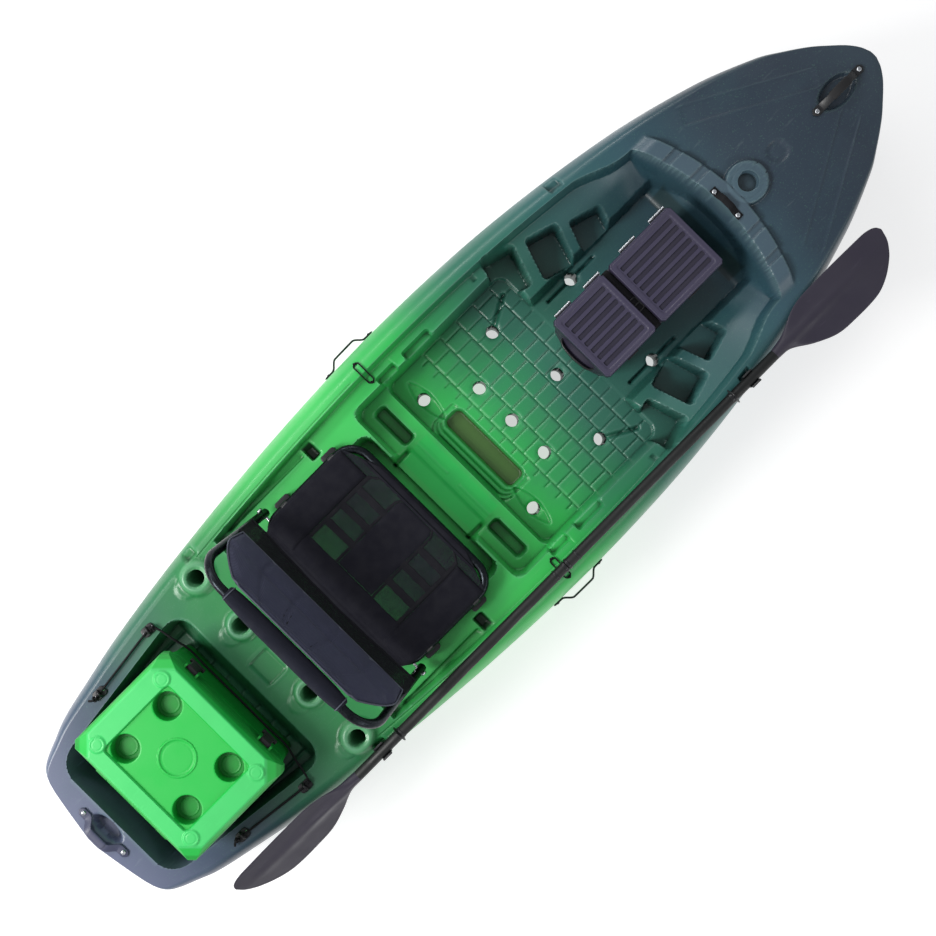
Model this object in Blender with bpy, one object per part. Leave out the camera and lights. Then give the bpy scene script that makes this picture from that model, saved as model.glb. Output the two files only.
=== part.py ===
"""Sit-on-top fishing kayak with a frame seat, a cool box, a tackle box and a paddle.

Units are metres. +X points to the bow, +Y to port and +Z up. The origin lies on the flat of
the keel, at half the length of the hull.
"""
import math

import bmesh
import bpy
from mathutils import Matrix, Vector

# Clearance between pieces that touch, and between pieces that slide past each other
GAP = 0.0003
SLIDE_GAP = 0.003
FIT_GAP = 0.0007

# How far cutters run past what they cut, and how deep raised parts are rooted
PAST = 0.010
ROOT = 0.020

# Hull zones along X, their sum the length of the mould
STERN_DECK = 0.096
TANK_WELL = 0.520
REAR_DECK = 0.209
SEAT_WELL = 0.495
PLATFORM = 0.130
TILE_FLOOR = 0.425
BOW_BASIN = 0.550
BOW_DECK = 0.625
LENGTH = STERN_DECK + TANK_WELL + REAR_DECK + SEAT_WELL + PLATFORM + TILE_FLOOR + BOW_BASIN + BOW_DECK

# How far the rounded ends stop short of the outer zones
STERN_TIP = 0.010
BOW_TIP = 0.0405

# Where each zone starts
X_TRANSOM = -LENGTH / 2
X_TANK_AFT = X_TRANSOM + STERN_DECK
X_TANK_FORE = X_TANK_AFT + TANK_WELL
X_SEAT_AFT = X_TANK_FORE + REAR_DECK
X_SEAT_FORE = X_SEAT_AFT + SEAT_WELL
X_FLOOR_AFT = X_SEAT_FORE + PLATFORM
X_BASIN_AFT = X_FLOOR_AFT + TILE_FLOOR
X_BASIN_FORE = X_BASIN_AFT + BOW_BASIN
X_STEM = X_BASIN_FORE + BOW_DECK

# Hull cross-section
HALF_BEAM = 0.450
DEPTH = 0.340
WALL = 0.0042
SHOULDER = 0.060
LIP = 0.012
BOW_RISE = 0.070
STERN_RISE = 0.025
BOW_KEEL_RISE = 0.200
STERN_KEEL_RISE = 0.080
BOW_CROWN = 0.022
TUNNEL_DEPTH = 0.022
WIDEST_HEIGHT = 0.74
CHINE_START = 0.66
KEEL_FLAT = 0.13
TUNNEL_INNER = 0.20
TUNNEL_OUTER = 0.42
RUNNER = 0.50
HULL_STATIONS = 26
CORNER_STEPS = 5

# Half beam along the hull: share of the length from the transom, share of the half beam
OUTLINE = (
    (0.0033, 0.03), (0.0056, 0.135), (0.0092, 0.296), (0.0128, 0.428), (0.0163, 0.499), (0.021, 0.545),
    (0.074, 0.70), (0.146, 0.80), (0.236, 0.886), (0.371, 0.970), (0.505, 1.0), (0.639, 0.957),
    (0.774, 0.823), (0.864, 0.657), (0.917, 0.500), (0.934, 0.422), (0.953, 0.322), (0.9657, 0.237),
    (0.9763, 0.1585), (0.9816, 0.106), (0.9842, 0.071), (0.9867, 0.02),
)

# Deck levels above the keel
SIDE_DECK_DROP = 0.040
BASIN_STEP = 0.001
PASS_STEP = 0.004
SIDE_DECK_Z = DEPTH - SIDE_DECK_DROP
FLOOR_Z = 0.150
PLATFORM_Z = 0.205
SEAT_FLOOR_Z = 0.175
TANK_FLOOR_Z = 0.200
SHELF_INNER_Z = 0.225
SHELF_OUTER_Z = 0.285
POCKET_Z = 0.165
ABOVE_DECK = 0.60

# Half widths of the wells
TANK_FORE_HALF = 0.282
TANK_AFT_HALF = 0.215
TANK_CORNER = 0.060
SEAT_WELL_HALF = 0.262
FLOOR_HALF = 0.325
CHANNEL_HALF = 0.190
CHANNEL_DRAFT = 0.015
WELL_CORNER = 0.030
SMALL_CORNER = 0.012

# How far neighbouring wells run into each other, and ledges between them
WELL_LAP = 0.040
SEAT_LEDGE = 0.020
PLATFORM_LEDGE = 0.012
PASS_AFT = 0.050
PASS_FORE = 0.060

# Breakwater across the bow end of the basin
BREAKWATER_HALF = 0.284
BREAKWATER_SWEEP = 0.046
BREAKWATER_WIDTH = 0.070
BREAKWATER_HEIGHT = 0.018
BREAKWATER_BACK = 0.004
BREAKWATER_BEVEL = 0.016
BREAKWATER_TAPER = 0.040

# Drain tubes through the hull: distance forward of the floor's aft end, half spacing
SCUPPER_RADIUS = 0.0195
SCUPPERS = (
    (0.053, 0.223), (0.190, 0.0), (0.190, 0.132), (0.3305, 0.2185), (0.375, 0.0), (0.598, 0.165),
)

# Rod holders in the rear deck: distance aft of the seat well, half spacing, collar radius
ROD_HOLDERS = ((0.105, 0.309, 0.050), (0.110, 0.131, 0.044))
ROD_RADIUS = 0.0235
ROD_DEPTH = 0.200
ROD_TILT = math.radians(14)
COLLAR_HEIGHT = 0.012
COLLAR_LIP = 0.010

# Heel pockets: distance forward of the basin's aft end, half spacing
HEEL_POCKETS = ((0.040, 0.300), (0.172, 0.255), (0.298, 0.205))
POCKET_LENGTH = 0.100
POCKET_WIDTH = 0.120
POCKET_TURN = math.radians(16)

# Cross slot in the floor and side pockets in the platform
SLOT_OFFSET = 0.066
SLOT_LENGTH = 0.052
SLOT_HALF = 0.138
SLOT_DEPTH = 0.030
SLOT_CORNER = 0.020
SIDE_POCKET_START = 0.050
SIDE_POCKET_LENGTH = 0.040
SIDE_POCKET_INNER = 0.162
SIDE_POCKET_OUTER = 0.290
SIDE_POCKET_DEPTH = 0.050

# Accessory boss on the bow deck
BOSS_OFFSET = 0.106
BOSS_RADIUS = 0.058
BOSS_BORE = 0.026
BOSS_BORE_DEPTH = 0.022
BOSS_HEIGHT = 0.014

# Finger recesses under the end handles
BOW_RECESS_LENGTH = 0.120
BOW_RECESS_WIDTH = 0.072
BOW_RECESS_DEPTH = 0.024
STERN_RECESS_X = 0.066
STERN_RECESS_LENGTH = 0.042
STERN_RECESS_WIDTH = 0.100
STERN_RECESS_DEPTH = 0.030

# Clip seats in the gunwale, fore and aft
CLIP_FORE_OFFSET = 0.290
CLIP_AFT_OFFSET = 0.079
CLIP_SEAT_DROP = 0.026
CLIP_LENGTH = 0.032
CLIP_WIDTH = 0.038
CLIP_FLARE = 0.007
CLIP_CLEARANCE = 0.002
CLIP_ARM = 0.010
CLIP_HORN = 0.003
CLIP_HORN_RISE = 0.004

# Paddle
PADDLE_Y = -0.382
PADDLE_CLEAR = 0.016
SHAFT_RADIUS = 0.015
SHAFT_WALL = 0.0022
SHAFT_HALF = 0.803
FERRULE_LENGTH = 0.160
BLADE_LENGTH = 0.445
BLADE_INBOARD = 0.062
BLADE_OUTBOARD = 0.088
BLADE_THICKNESS = 0.005
BLADE_SPINE = 0.011
BLADE_SPINE_WIDTH = 0.016
BLADE_SPIGOT = 0.050
BLADE_SIDES = 16
BLADE_STEPS = 15
BLADE_FEATHER = math.radians(45)
PADDLE_OFFSET = 0.003

# Blade edges: share of the blade's length, share of its inboard or outboard width
BLADE_INNER_EDGE = ((0.0, 0.24), (0.11, 0.38), (0.27, 0.86), (0.40, 1.0), (0.94, 0.97), (1.0, 0.70))
BLADE_OUTER_EDGE = (
    (0.0, 0.17), (0.09, 0.22), (0.22, 0.62), (0.36, 0.93), (0.50, 1.0), (0.70, 0.97),
    (0.81, 0.77), (0.91, 0.42), (0.97, 0.10), (1.0, -0.20),
)

# Seat
TUBE_RADIUS = 0.0125
SEAT_FORE_X = 0.036
SEAT_DEPTH = 0.345
SEAT_HALF = 0.272
SEAT_RISE = 0.047
SEAT_TUBE_Z = SIDE_DECK_Z + SEAT_RISE
SEAT_CORNER = 0.060
FRAME_GAP = 0.004
BACK_HALF = SEAT_HALF + 2 * TUBE_RADIUS + FRAME_GAP
BACK_LENGTH = 0.360
BACK_LEAN = math.radians(27)
BACK_CORNER = 0.085
PIVOT_FROM_REAR = 0.030
PIVOT_RADIUS = 0.004
BOLT_INSIDE = 0.018
BOLT_HEAD = 0.005
BOLT_HEAD_RADIUS = 0.009
BACK_TAIL = 0.014
FABRIC = 0.003
PAD_THICKNESS = 0.022
PAD_EDGE = 0.006
PAD_CHANNEL = 0.35
FOOT_LENGTH = 0.050
FOOT_WIDTH = 0.034
FOOT_OUT = 0.011
FOOT_CORNER = 0.008
FOOT_FORE = 0.075
FOOT_AFT = 0.255
SLING_SAG = 0.020
SLING_LAP = 0.006
SLING_TUBE = 0.12
SLING_WAIST = 0.028
SLING_CORNER = 0.115
SLING_ROWS = 8
LUMBAR_LOW = 0.070
LUMBAR_HIGH = 0.150
LUMBAR_DIP = 0.010
PAD_HIGH = 0.324
PAD_HALF = BACK_HALF + 0.003
PAD_CORNER = 0.112
PAD_DIAGONAL = 0.45
PAD_BOW = 0.008
SLEEVE_HALF = 0.205
SLEEVE_HEIGHT = 0.062
SLEEVE_DEPTH = 0.042
SLEEVE_DROP = 0.008

# Cool box
BOX_LENGTH = 0.335
BOX_HALF = 0.216
BOX_HEIGHT = 0.270
BOX_WALL = 0.032
BOX_CORNER = 0.030
BOX_FORE_GAP = 0.064
LID_HEIGHT = 0.055
LID_LIP = 0.007
LID_STEP = 0.008
LID_PLUG = 0.014
LID_SHOULDER = 0.62
LID_EDGE_CHAMFER = 0.012
LID_TOP_CHAMFER = 0.046
LID_TOP_INSET = 0.006
LID_RECESS_X = 0.121
LID_RECESS_Y = 0.154
LID_BUMP_X = 0.120
LID_BUMP_Y = 0.172
LID_BUMP_RADIUS = 0.023
LID_BUMP_HEIGHT = 0.004
LID_CORNER = 0.014
MEDALLION_RADIUS = 0.052
MEDALLION_RIM = 0.005
MEDALLION_HEIGHT = 0.0025
MEDALLION_FLOOR = 0.0005
BOX_TAPER = 0.007
BOX_HINGE_OUT = 0.012
BOX_HINGE_UP = 0.002
KNUCKLE_HALF = 0.090
KNUCKLE_LENGTH = 0.040
KNUCKLE_RADIUS = 0.009
HINGE_ROD_RADIUS = 0.004
LATCH_PIN_RADIUS = 0.0028
CUP_RADIUS = 0.038
CUP_DRAFT = 0.002
CUP_DEPTH = 0.036
CUP_SPREAD_X = 0.078
CUP_SPREAD_Y = 0.113
GASKET = 0.004
LATCH_Y = 0.135
LATCH_WIDTH = 0.034
LATCH_HEIGHT = 0.070
LATCH_THICKNESS = 0.012
LATCH_TOP = 0.005
LATCH_RISE = 0.014
LATCH_CLEARANCE = 0.002
LATCH_BAR_RADIUS = 0.0065
LATCH_BAR_END = 0.008
EAR_WIDTH = 0.006
KEEPER_HEIGHT = 0.020
KEEPER_RISE = 0.012

# Tackle box
POD_OFFSET = 0.024
POD_LENGTH = 0.443
POD_HALF = 0.104
POD_HEIGHT = 0.175
POD_WALL = 0.004
POD_LID = 0.026
POD_SPLIT = 0.199
POD_LID_GAP = 0.022
POD_HINGE_LENGTH = 0.060
POD_HINGE_RADIUS = 0.005
POD_LIP = 0.005
POD_BOW = 0.030
POD_LID_WALL = 0.0035
POD_GROOVE = 0.004
POD_FRAME = 0.022
POD_RIBS = 7
POD_STRAP = 0.002
POD_STRAP_WIDTH = 0.018
POD_STRAP_END = 0.030
POD_KNEE = 0.80
POD_TAPER = 0.94
POD_CORNER = 0.008
POD_LEAF = 0.0015
POD_LEAF_HEIGHT = 0.023
POD_HINGE_UP = 0.002
POD_HINGE_OUT = 0.0012

# Handles, cords and screws
STRAP_WIDTH = 0.024
STRAP_THICKNESS = 0.006
BOW_HANDLE_START = 0.351
BOW_HANDLE_LENGTH = 0.186
BOW_HANDLE_RISE = 0.028
STRAP_PAD = 0.030
STERN_HANDLE_X = 0.053
STERN_HANDLE_HALF = 0.076
STERN_HANDLE_REACH = 0.022
STERN_HANDLE_RISE = 0.012
SIDE_HANDLE_AFT = 0.103
SIDE_HANDLE_FORE = 0.086
SIDE_HANDLE_BULGE = 0.020
SIDE_HANDLE_PAD = 0.030
SIDE_HANDLE_WIDTH = 0.014
SIDE_HANDLE_THICKNESS = 0.005
LOOP_X = 0.026
LOOP_HALF = 0.045
LOOP_WIDTH = 0.020
LOOP_THICKNESS = 0.0025
LOOP_RISE = 0.014
LOOP_PAD = 0.020
SCREW_SIDES = 8
SCREW_RADIUS = 0.007
SCREW_HEAD = 0.004
SCREW_SHANK = 0.0028
SCREW_LENGTH = 0.018
GUNWALE_LOOP_OFFSET = 0.014
GUNWALE_LOOP_RADIUS = 0.002
GUNWALE_LOOP_HALF = 0.009
GUNWALE_LOOP_END = 0.005
GUNWALE_LOOP_INNER = 0.030
GUNWALE_LOOP_OUTER = 0.024
GUNWALE_LOOP_LIFT = 0.0016
GUNWALE_LOOP_KNOT = 1.3
BUNGEE_RADIUS = 0.0032
BUNGEE_LIFT = 0.0046
BUNGEE_CLEAR = 0.0012
BUNGEE_Z = 0.290
KNOT_RISE = 0.003
EYE_FORE_OFFSET = 0.091
EYE_AFT_OFFSET = 0.304
EYE_INSET = 0.031
EYE_LENGTH = 0.040
EYE_WIDTH = 0.028
EYE_NARROW = 0.80
EYE_CORNER = 0.006
EYE_BASE = 0.005
EYE_RADIUS = 0.0035
EYE_RISE = 0.018
PLUG_RADIUS = 0.020
PLUG_HEAD = 0.007
PLUG_SHANK = 0.0105
PLUG_LENGTH = 0.022
PLUG_SEAT_DEPTH = 0.008
PLUG_SEAT_CLEARANCE = 0.002
PLUG_GRIP = 0.006
PLUG_X = 0.040
PLUG_HEIGHT = 0.62
SEAL_THICKNESS = 0.0025


def clear_scene():
    """Remove every object that the file opened with."""
    for obj in list(bpy.data.objects):
        bpy.data.objects.remove(obj, do_unlink=True)


def finish(name, colour, roughness, metallic=0.0):
    """Principled material with one colour, a roughness and a metallic value."""
    material = bpy.data.materials.new(name)
    material.use_nodes = True
    shader = material.node_tree.nodes["Principled BSDF"]
    shader.inputs["Base Color"].default_value = (*colour, 1.0)
    shader.inputs["Roughness"].default_value = roughness
    shader.inputs["Metallic"].default_value = metallic
    return material


def smooth_through(points, x):
    """Value at x of the smooth curve through a list of (x, value) points."""
    last = len(points) - 1
    index = 0
    while index < last - 1 and points[index + 1][0] < x:
        index += 1

    def slope(i):
        low = points[max(i - 1, 0)]
        high = points[min(i + 1, last)]
        return (high[1] - low[1]) / (high[0] - low[0])

    (x0, y0), (x1, y1) = points[index], points[index + 1]
    span = x1 - x0
    t = min(max((x - x0) / span, 0.0), 1.0)
    return (
        (2 * t**3 - 3 * t**2 + 1) * y0
        + (t**3 - 2 * t**2 + t) * span * slope(index)
        + (3 * t**2 - 2 * t**3) * y1
        + (t**3 - t**2) * span * slope(index + 1)
    )


def ramp(x, low, high):
    """0 below low, 1 above high and a smooth step between them."""
    t = min(max((x - low) / (high - low), 0.0), 1.0)
    return t * t * (3 - 2 * t)


def share_of_length(x):
    """How far along the hull x lies, from 0 at the transom to 1 at the stem."""
    return (x - X_TRANSOM) / LENGTH


def half_beam(x):
    """Half width of the hull at its widest height."""
    return HALF_BEAM * smooth_through(OUTLINE, share_of_length(x))


def shoulder_width(x):
    """How far the rounded shoulder reaches in from the widest line."""
    return SHOULDER * (half_beam(x) / HALF_BEAM) ** 1.5


def gunwale_half(x):
    """Half width of the deck, where the shoulder ends."""
    return half_beam(x) - shoulder_width(x)


def cockpit_half(x):
    """Half width of the open cockpit, inside the gunwale lip."""
    return gunwale_half(x) - LIP


def gunwale_height(x):
    """Height of the gunwale, which sweeps up to both ends."""
    reach = x / (LENGTH / 2)
    rise = BOW_RISE if reach > 0 else STERN_RISE
    return DEPTH + rise * reach * reach


def keel_height(x):
    """Height of the keel, flat over the middle and rising to both ends."""
    share = share_of_length(x)
    bow = max(share - 0.80, 0.0) / 0.20
    stern = max(0.12 - share, 0.0) / 0.12
    return BOW_KEEL_RISE * bow**2.2 + STERN_KEEL_RISE * stern**2


def tunnel_height(x):
    """Depth of the two tunnels between the keel and the side runners."""
    share = share_of_length(x)
    return TUNNEL_DEPTH * ramp(share, 0.03, 0.18) * (1 - ramp(share, 0.72, 0.95))


def deck_crown(x):
    """How far the deck's middle stands above the gunwale."""
    narrow = min(1.0, gunwale_half(x) / 0.2)
    return BOW_CROWN * ramp(x, X_BASIN_FORE - 0.05, X_BASIN_FORE + 0.25) * narrow


def deck_height(x, y):
    """Height of the uncut deck."""
    edge = gunwale_half(x)
    return gunwale_height(x) + deck_crown(x) * (1 - (y / edge) ** 2)


def hull_section(x, inset=0.0):
    """Closed section of the hull at x, as (y, z) points from the keel round to port."""
    beam = half_beam(x) - inset
    keel = keel_height(x) + inset
    top = gunwale_height(x) - inset
    tunnel = keel + tunnel_height(x)
    widest = keel + WIDEST_HEIGHT * (top - keel)
    chine = CHINE_START * beam
    shoulder = min(shoulder_width(x), 0.8 * beam)
    edge = beam - shoulder
    half = [(0.0, keel), (KEEL_FLAT * beam, keel)]
    half += [(TUNNEL_INNER * beam, tunnel), (TUNNEL_OUTER * beam, tunnel), (RUNNER * beam, keel)]
    turns = [math.radians(90 * step / CORNER_STEPS) for step in range(CORNER_STEPS + 1)]
    for turn in turns:
        half.append((chine + (beam - chine) * math.sin(turn), widest - (widest - keel) * math.cos(turn)))
    for turn in turns[1:]:
        half.append((edge + shoulder * math.cos(turn), widest + (top - widest) * math.sin(turn)))
    for share in (0.66, 0.33, 0.0):
        half.append((edge * share, top + deck_crown(x) * (1 - share * share)))
    mirrored = [(-y, z) for y, z in reversed(half[1:-1])]
    return half + mirrored


def solid(name, bm, material=None, sharp=40):
    """Object from a bmesh, with triangles, outward faces and smooth shading."""
    bm.normal_update()
    bmesh.ops.triangulate(bm, faces=bm.faces[:], ngon_method="EAR_CLIP")
    bmesh.ops.recalc_face_normals(bm, faces=bm.faces[:])
    if bm.calc_volume(signed=True) < 0:
        bmesh.ops.reverse_faces(bm, faces=bm.faces[:])
    mesh = bpy.data.meshes.new(name)
    bm.to_mesh(mesh)
    bm.free()
    mesh.shade_smooth()
    mesh.set_sharp_from_angle(angle=math.radians(sharp))
    obj = bpy.data.objects.new(name, mesh)
    bpy.context.scene.collection.objects.link(obj)
    if material:
        mesh.materials.append(material)
    return obj


def loft(name, rings, material=None, closed=False):
    """Closed skin over rings of 3-D points, capped at both ends unless it closes on itself."""
    bm = bmesh.new()
    rows = [[bm.verts.new(point) for point in ring] for ring in rings]
    count = len(rows[0])
    pairs = list(zip(rows, rows[1:]))
    if closed:
        pairs.append((rows[-1], rows[0]))
    for low, high in pairs:
        for i in range(count):
            j = (i + 1) % count
            bm.faces.new((low[i], low[j], high[j], high[i]))
    if not closed:
        bm.faces.new(rows[0])
        bm.faces.new(rows[-1])
    return solid(name, bm, material)


def prism(name, outline, low, high, material=None):
    """Upright prism over an outline of (x, y) points."""
    return loft(name, [[(x, y, low) for x, y in outline], [(x, y, high) for x, y in outline]], material)


def offset_corners(corners, grow):
    """Corners of a counter-clockwise polygon with every side moved out by grow."""
    moved = []
    for before, here, after in zip(corners[-1:] + corners[:-1], corners, corners[1:] + corners[:1]):
        a = Vector(here) - Vector(before)
        b = Vector(after) - Vector(here)
        normal_a = Vector((a.y, -a.x)).normalized()
        normal_b = Vector((b.y, -b.x)).normalized()
        moved.append(Vector(here) + (normal_a + normal_b) * grow / (1 + normal_a.dot(normal_b)))
    return moved


def rounded(corners, radius, grow=0.0, steps=4):
    """Outline of a convex polygon moved out by grow, its corners rounded."""
    corners = offset_corners([tuple(corner) for corner in corners], grow)
    radius = radius + grow
    outline = []
    for before, here, after in zip(corners[-1:] + corners[:-1], corners, corners[1:] + corners[:1]):
        back = (before - here).normalized()
        ahead = (after - here).normalized()
        half_angle = back.angle(ahead) / 2
        start = here + back * (radius / math.tan(half_angle))
        centre = here + (back + ahead).normalized() * (radius / math.sin(half_angle))
        sweep = math.pi - 2 * half_angle
        arm = start - centre
        for step in range(steps + 1):
            outline.append(tuple(centre + Matrix.Rotation(sweep * step / steps, 2) @ arm))
    return outline


def rectangle(x0, x1, y0, y1):
    """Corners of an upright rectangle, counter-clockwise."""
    return [(x0, y0), (x1, y0), (x1, y1), (x0, y1)]


def rod(name, start, end, radius, end_radius=None, sides=16, material=None):
    """Round bar or cone between two points."""
    start, end = Vector(start), Vector(end)
    axis = (end - start).normalized()
    side = axis.orthogonal().normalized()
    other = axis.cross(side)
    rings = []
    for centre, r in ((start, radius), (end, radius if end_radius is None else end_radius)):
        ring = []
        for i in range(sides):
            angle = 2 * math.pi * i / sides
            ring.append(centre + r * (math.cos(angle) * side + math.sin(angle) * other))
        rings.append(ring)
    return loft(name, rings, material)


def tube(name, points, radius, material=None, closed=False, resolution=3):
    """Round bar along a line of points, as a curve with a bevel and filled caps."""
    curve = bpy.data.curves.new(name, "CURVE")
    curve.dimensions = "3D"
    curve.bevel_depth = radius
    curve.bevel_resolution = resolution
    curve.use_fill_caps = True
    spline = curve.splines.new("POLY")
    spline.points.add(len(points) - 1)
    for target, point in zip(spline.points, points):
        target.co = (*point, 1.0)
    spline.use_cyclic_u = closed
    obj = bpy.data.objects.new(name, curve)
    bpy.context.scene.collection.objects.link(obj)
    if material:
        curve.materials.append(material)
    return obj


def bake(obj):
    """Turn an object into the plain mesh that its curve and modifiers make."""
    bpy.context.view_layer.update()
    graph = bpy.context.evaluated_depsgraph_get()
    mesh = bpy.data.meshes.new_from_object(obj.evaluated_get(graph))
    name = obj.name
    collection = obj.users_collection[0]
    matrix = obj.matrix_world.copy()
    bpy.data.objects.remove(obj, do_unlink=True)
    mesh.name = name
    baked = bpy.data.objects.new(name, mesh)
    baked.matrix_world = matrix
    collection.objects.link(baked)
    return baked


def combine(target, cutter, operation="DIFFERENCE"):
    """Boolean of target with cutter, which is used up."""
    modifier = target.modifiers.new("boolean", "BOOLEAN")
    modifier.operation = operation
    modifier.solver = "EXACT"
    modifier.object = cutter
    result = bake(target)
    bpy.data.objects.remove(cutter, do_unlink=True)
    return result


def repaint(obj, material):
    """Merge the flat faces that cuts leave behind, then give the object its material."""
    bm = bmesh.new()
    bm.from_mesh(obj.data)
    bmesh.ops.dissolve_limit(bm, angle_limit=math.radians(0.2), verts=bm.verts[:], edges=bm.edges[:])
    bmesh.ops.triangulate(bm, faces=bm.faces[:], ngon_method="EAR_CLIP")
    bm.to_mesh(obj.data)
    bm.free()
    obj.data.materials.clear()
    obj.data.materials.append(material)
    obj.data.shade_smooth()
    obj.data.set_sharp_from_angle(angle=math.radians(35))
    return obj


def keep_largest(obj):
    """Drop every loose part of a mesh but the one with the most faces."""
    bm = bmesh.new()
    bm.from_mesh(obj.data)
    unseen = set(bm.faces)
    parts = []
    while unseen:
        stack = [unseen.pop()]
        part = []
        while stack:
            face = stack.pop()
            part.append(face)
            for edge in face.edges:
                for neighbour in edge.link_faces:
                    if neighbour in unseen:
                        unseen.discard(neighbour)
                        stack.append(neighbour)
        parts.append(part)
    parts.sort(key=len)
    extra = [face for part in parts[:-1] for face in part]
    bmesh.ops.delete(bm, geom=extra, context="FACES")
    bm.to_mesh(obj.data)
    bm.free()


def hull_body(name, inset=0.0):
    """Loft of the hull's sections, from the transom to the stem."""
    rings = []
    first = X_TRANSOM + STERN_TIP + inset
    last = X_STEM - BOW_TIP - 7 * inset
    for i in range(HULL_STATIONS + 1):
        x = (first + last) / 2 - (last - first) / 2 * math.cos(math.pi * i / HULL_STATIONS)
        rings.append([(x, y, z) for y, z in hull_section(x, inset)])
    return loft(name, rings)


def tank_well(grow):
    """Cargo well behind the seat."""
    corners = [
        (X_TANK_AFT, -TANK_AFT_HALF), (X_TANK_FORE, -TANK_FORE_HALF),
        (X_TANK_FORE, TANK_FORE_HALF), (X_TANK_AFT, TANK_AFT_HALF),
    ]
    return prism("tank_well", rounded(corners, TANK_CORNER, grow), TANK_FLOOR_Z - grow, ABOVE_DECK)


def side_deck_well(grow):
    """Shallow step that lowers the side decks from the seat well's rear to the basin."""
    steps = 9
    reach = X_BASIN_AFT + 2.5 * WELL_LAP - X_SEAT_AFT
    xs = [X_SEAT_AFT - grow + reach * i / steps for i in range(steps + 1)]
    starboard = [(x, -cockpit_half(x) - grow) for x in xs]
    port = [(x, cockpit_half(x) + grow) for x in reversed(xs)]
    return prism("side_deck_well", starboard + port, SIDE_DECK_Z - grow, ABOVE_DECK)


def seat_well(grow):
    """Deep well under the seat."""
    corners = rectangle(X_SEAT_AFT + SEAT_LEDGE, X_SEAT_FORE, -SEAT_WELL_HALF, SEAT_WELL_HALF)
    return prism("seat_well", rounded(corners, WELL_CORNER, grow), SEAT_FLOOR_Z - grow, ABOVE_DECK)


def platform_well(grow):
    """Step between the seat well and the tiled floor."""
    corners = rectangle(X_SEAT_FORE + PLATFORM_LEDGE, X_FLOOR_AFT + WELL_LAP, -FLOOR_HALF, FLOOR_HALF)
    return prism("platform_well", rounded(corners, WELL_CORNER, grow), PLATFORM_Z - grow, ABOVE_DECK)


def platform_pass(grow):
    """Low pass from the platform back into the seat well."""
    half = SIDE_POCKET_INNER
    corners = rectangle(X_SEAT_FORE - PASS_AFT, X_SEAT_FORE + PASS_FORE, -half, half)
    floor = PLATFORM_Z - PASS_STEP - grow
    return prism("platform_pass", rounded(corners, WELL_CORNER / 2, grow), floor, ABOVE_DECK)


def tile_floor(grow):
    """Flat floor of the footwell."""
    half = FLOOR_HALF - 2 * BASIN_STEP
    corners = rectangle(X_FLOOR_AFT, X_BASIN_AFT + WELL_LAP, -half, half)
    return prism("tile_floor", rounded(corners, WELL_CORNER, grow), FLOOR_Z - grow, ABOVE_DECK)


def basin_half(x):
    """Half width of the bow basin, which closes along the breakwater's inner edge."""
    side = cockpit_half(x)
    sweep = max(X_BASIN_FORE - x, 0.0) / BREAKWATER_SWEEP
    if sweep < 1:
        return min(side, BREAKWATER_HALF * math.sqrt(sweep))
    return min(side, BREAKWATER_HALF + (side - BREAKWATER_HALF) * ramp(sweep, 1, 4))


def bow_basin(grow):
    """Basin in the bow end of the footwell: a channel between two sloping shelves."""
    shares = (0.0, 0.25, 0.50, 0.70, 0.86, 0.92, 0.95, 0.975, 0.99)
    rings = []
    for share in shares:
        x = X_BASIN_AFT + BOW_BASIN * share
        half = basin_half(x) + grow
        front = ramp(share, 0.86, 1.0)
        channel = min(CHANNEL_HALF, 0.75 * basin_half(x)) + grow
        low = FLOOR_Z + BASIN_STEP - grow + 0.075 * front
        inner = SHELF_INNER_Z - grow + 0.02 * front
        outer = SHELF_OUTER_Z - grow + 0.01 * front
        if share == shares[-1]:
            x += grow
        if share == shares[0]:
            x -= grow
        ring = [
            (half, ABOVE_DECK), (half, outer), (channel + CHANNEL_DRAFT, inner), (channel, low),
            (-channel, low), (-channel - CHANNEL_DRAFT, inner), (-half, outer), (-half, ABOVE_DECK),
        ]
        rings.append([(x, y, z) for y, z in ring])
    return loft("bow_basin", rings)


def heel_pocket(offset, spacing, side, grow):
    """Stepped recess that a heel rests in."""
    corners = rectangle(-POCKET_LENGTH / 2, POCKET_LENGTH / 2, -POCKET_WIDTH / 2, POCKET_WIDTH / 2)
    turn = Matrix.Rotation(-side * POCKET_TURN, 2)
    centre = Vector((X_BASIN_AFT + offset, side * spacing))
    recess = rounded(corners, SMALL_CORNER, grow, steps=2)
    outline = [tuple(centre + turn @ Vector(point)) for point in recess]
    return prism("heel_pocket", outline, POCKET_Z - grow, ABOVE_DECK)


def cross_slot(grow):
    """Long rounded recess across the floor."""
    start = X_FLOOR_AFT + SLOT_OFFSET
    corners = rectangle(start, start + SLOT_LENGTH, -SLOT_HALF, SLOT_HALF)
    return prism("cross_slot", rounded(corners, SLOT_CORNER, grow), FLOOR_Z - SLOT_DEPTH - grow, ABOVE_DECK)


def side_pocket(side, grow):
    """Small storage pocket in the platform beside the seat well."""
    start = X_SEAT_FORE + SIDE_POCKET_START
    low, high = sorted((side * SIDE_POCKET_INNER, side * SIDE_POCKET_OUTER))
    outline = rounded(rectangle(start, start + SIDE_POCKET_LENGTH, low, high), SMALL_CORNER, grow, 2)
    return prism("side_pocket", outline, PLATFORM_Z - SIDE_POCKET_DEPTH - grow, ABOVE_DECK)


def scupper_places():
    """Axis of each drain tube as (x, y)."""
    places = []
    for offset, spacing in SCUPPERS:
        for side in (1, -1) if spacing else (1,):
            places.append((X_FLOOR_AFT + offset, side * spacing))
    return places


def rod_holder_line(offset, spacing):
    """Mouth centre and downward direction of a rod holder."""
    x = X_SEAT_AFT - offset
    mouth = Vector((x, spacing, deck_height(x, spacing)))
    return mouth, Vector((math.sin(ROD_TILT), 0.0, -math.cos(ROD_TILT)))


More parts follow.
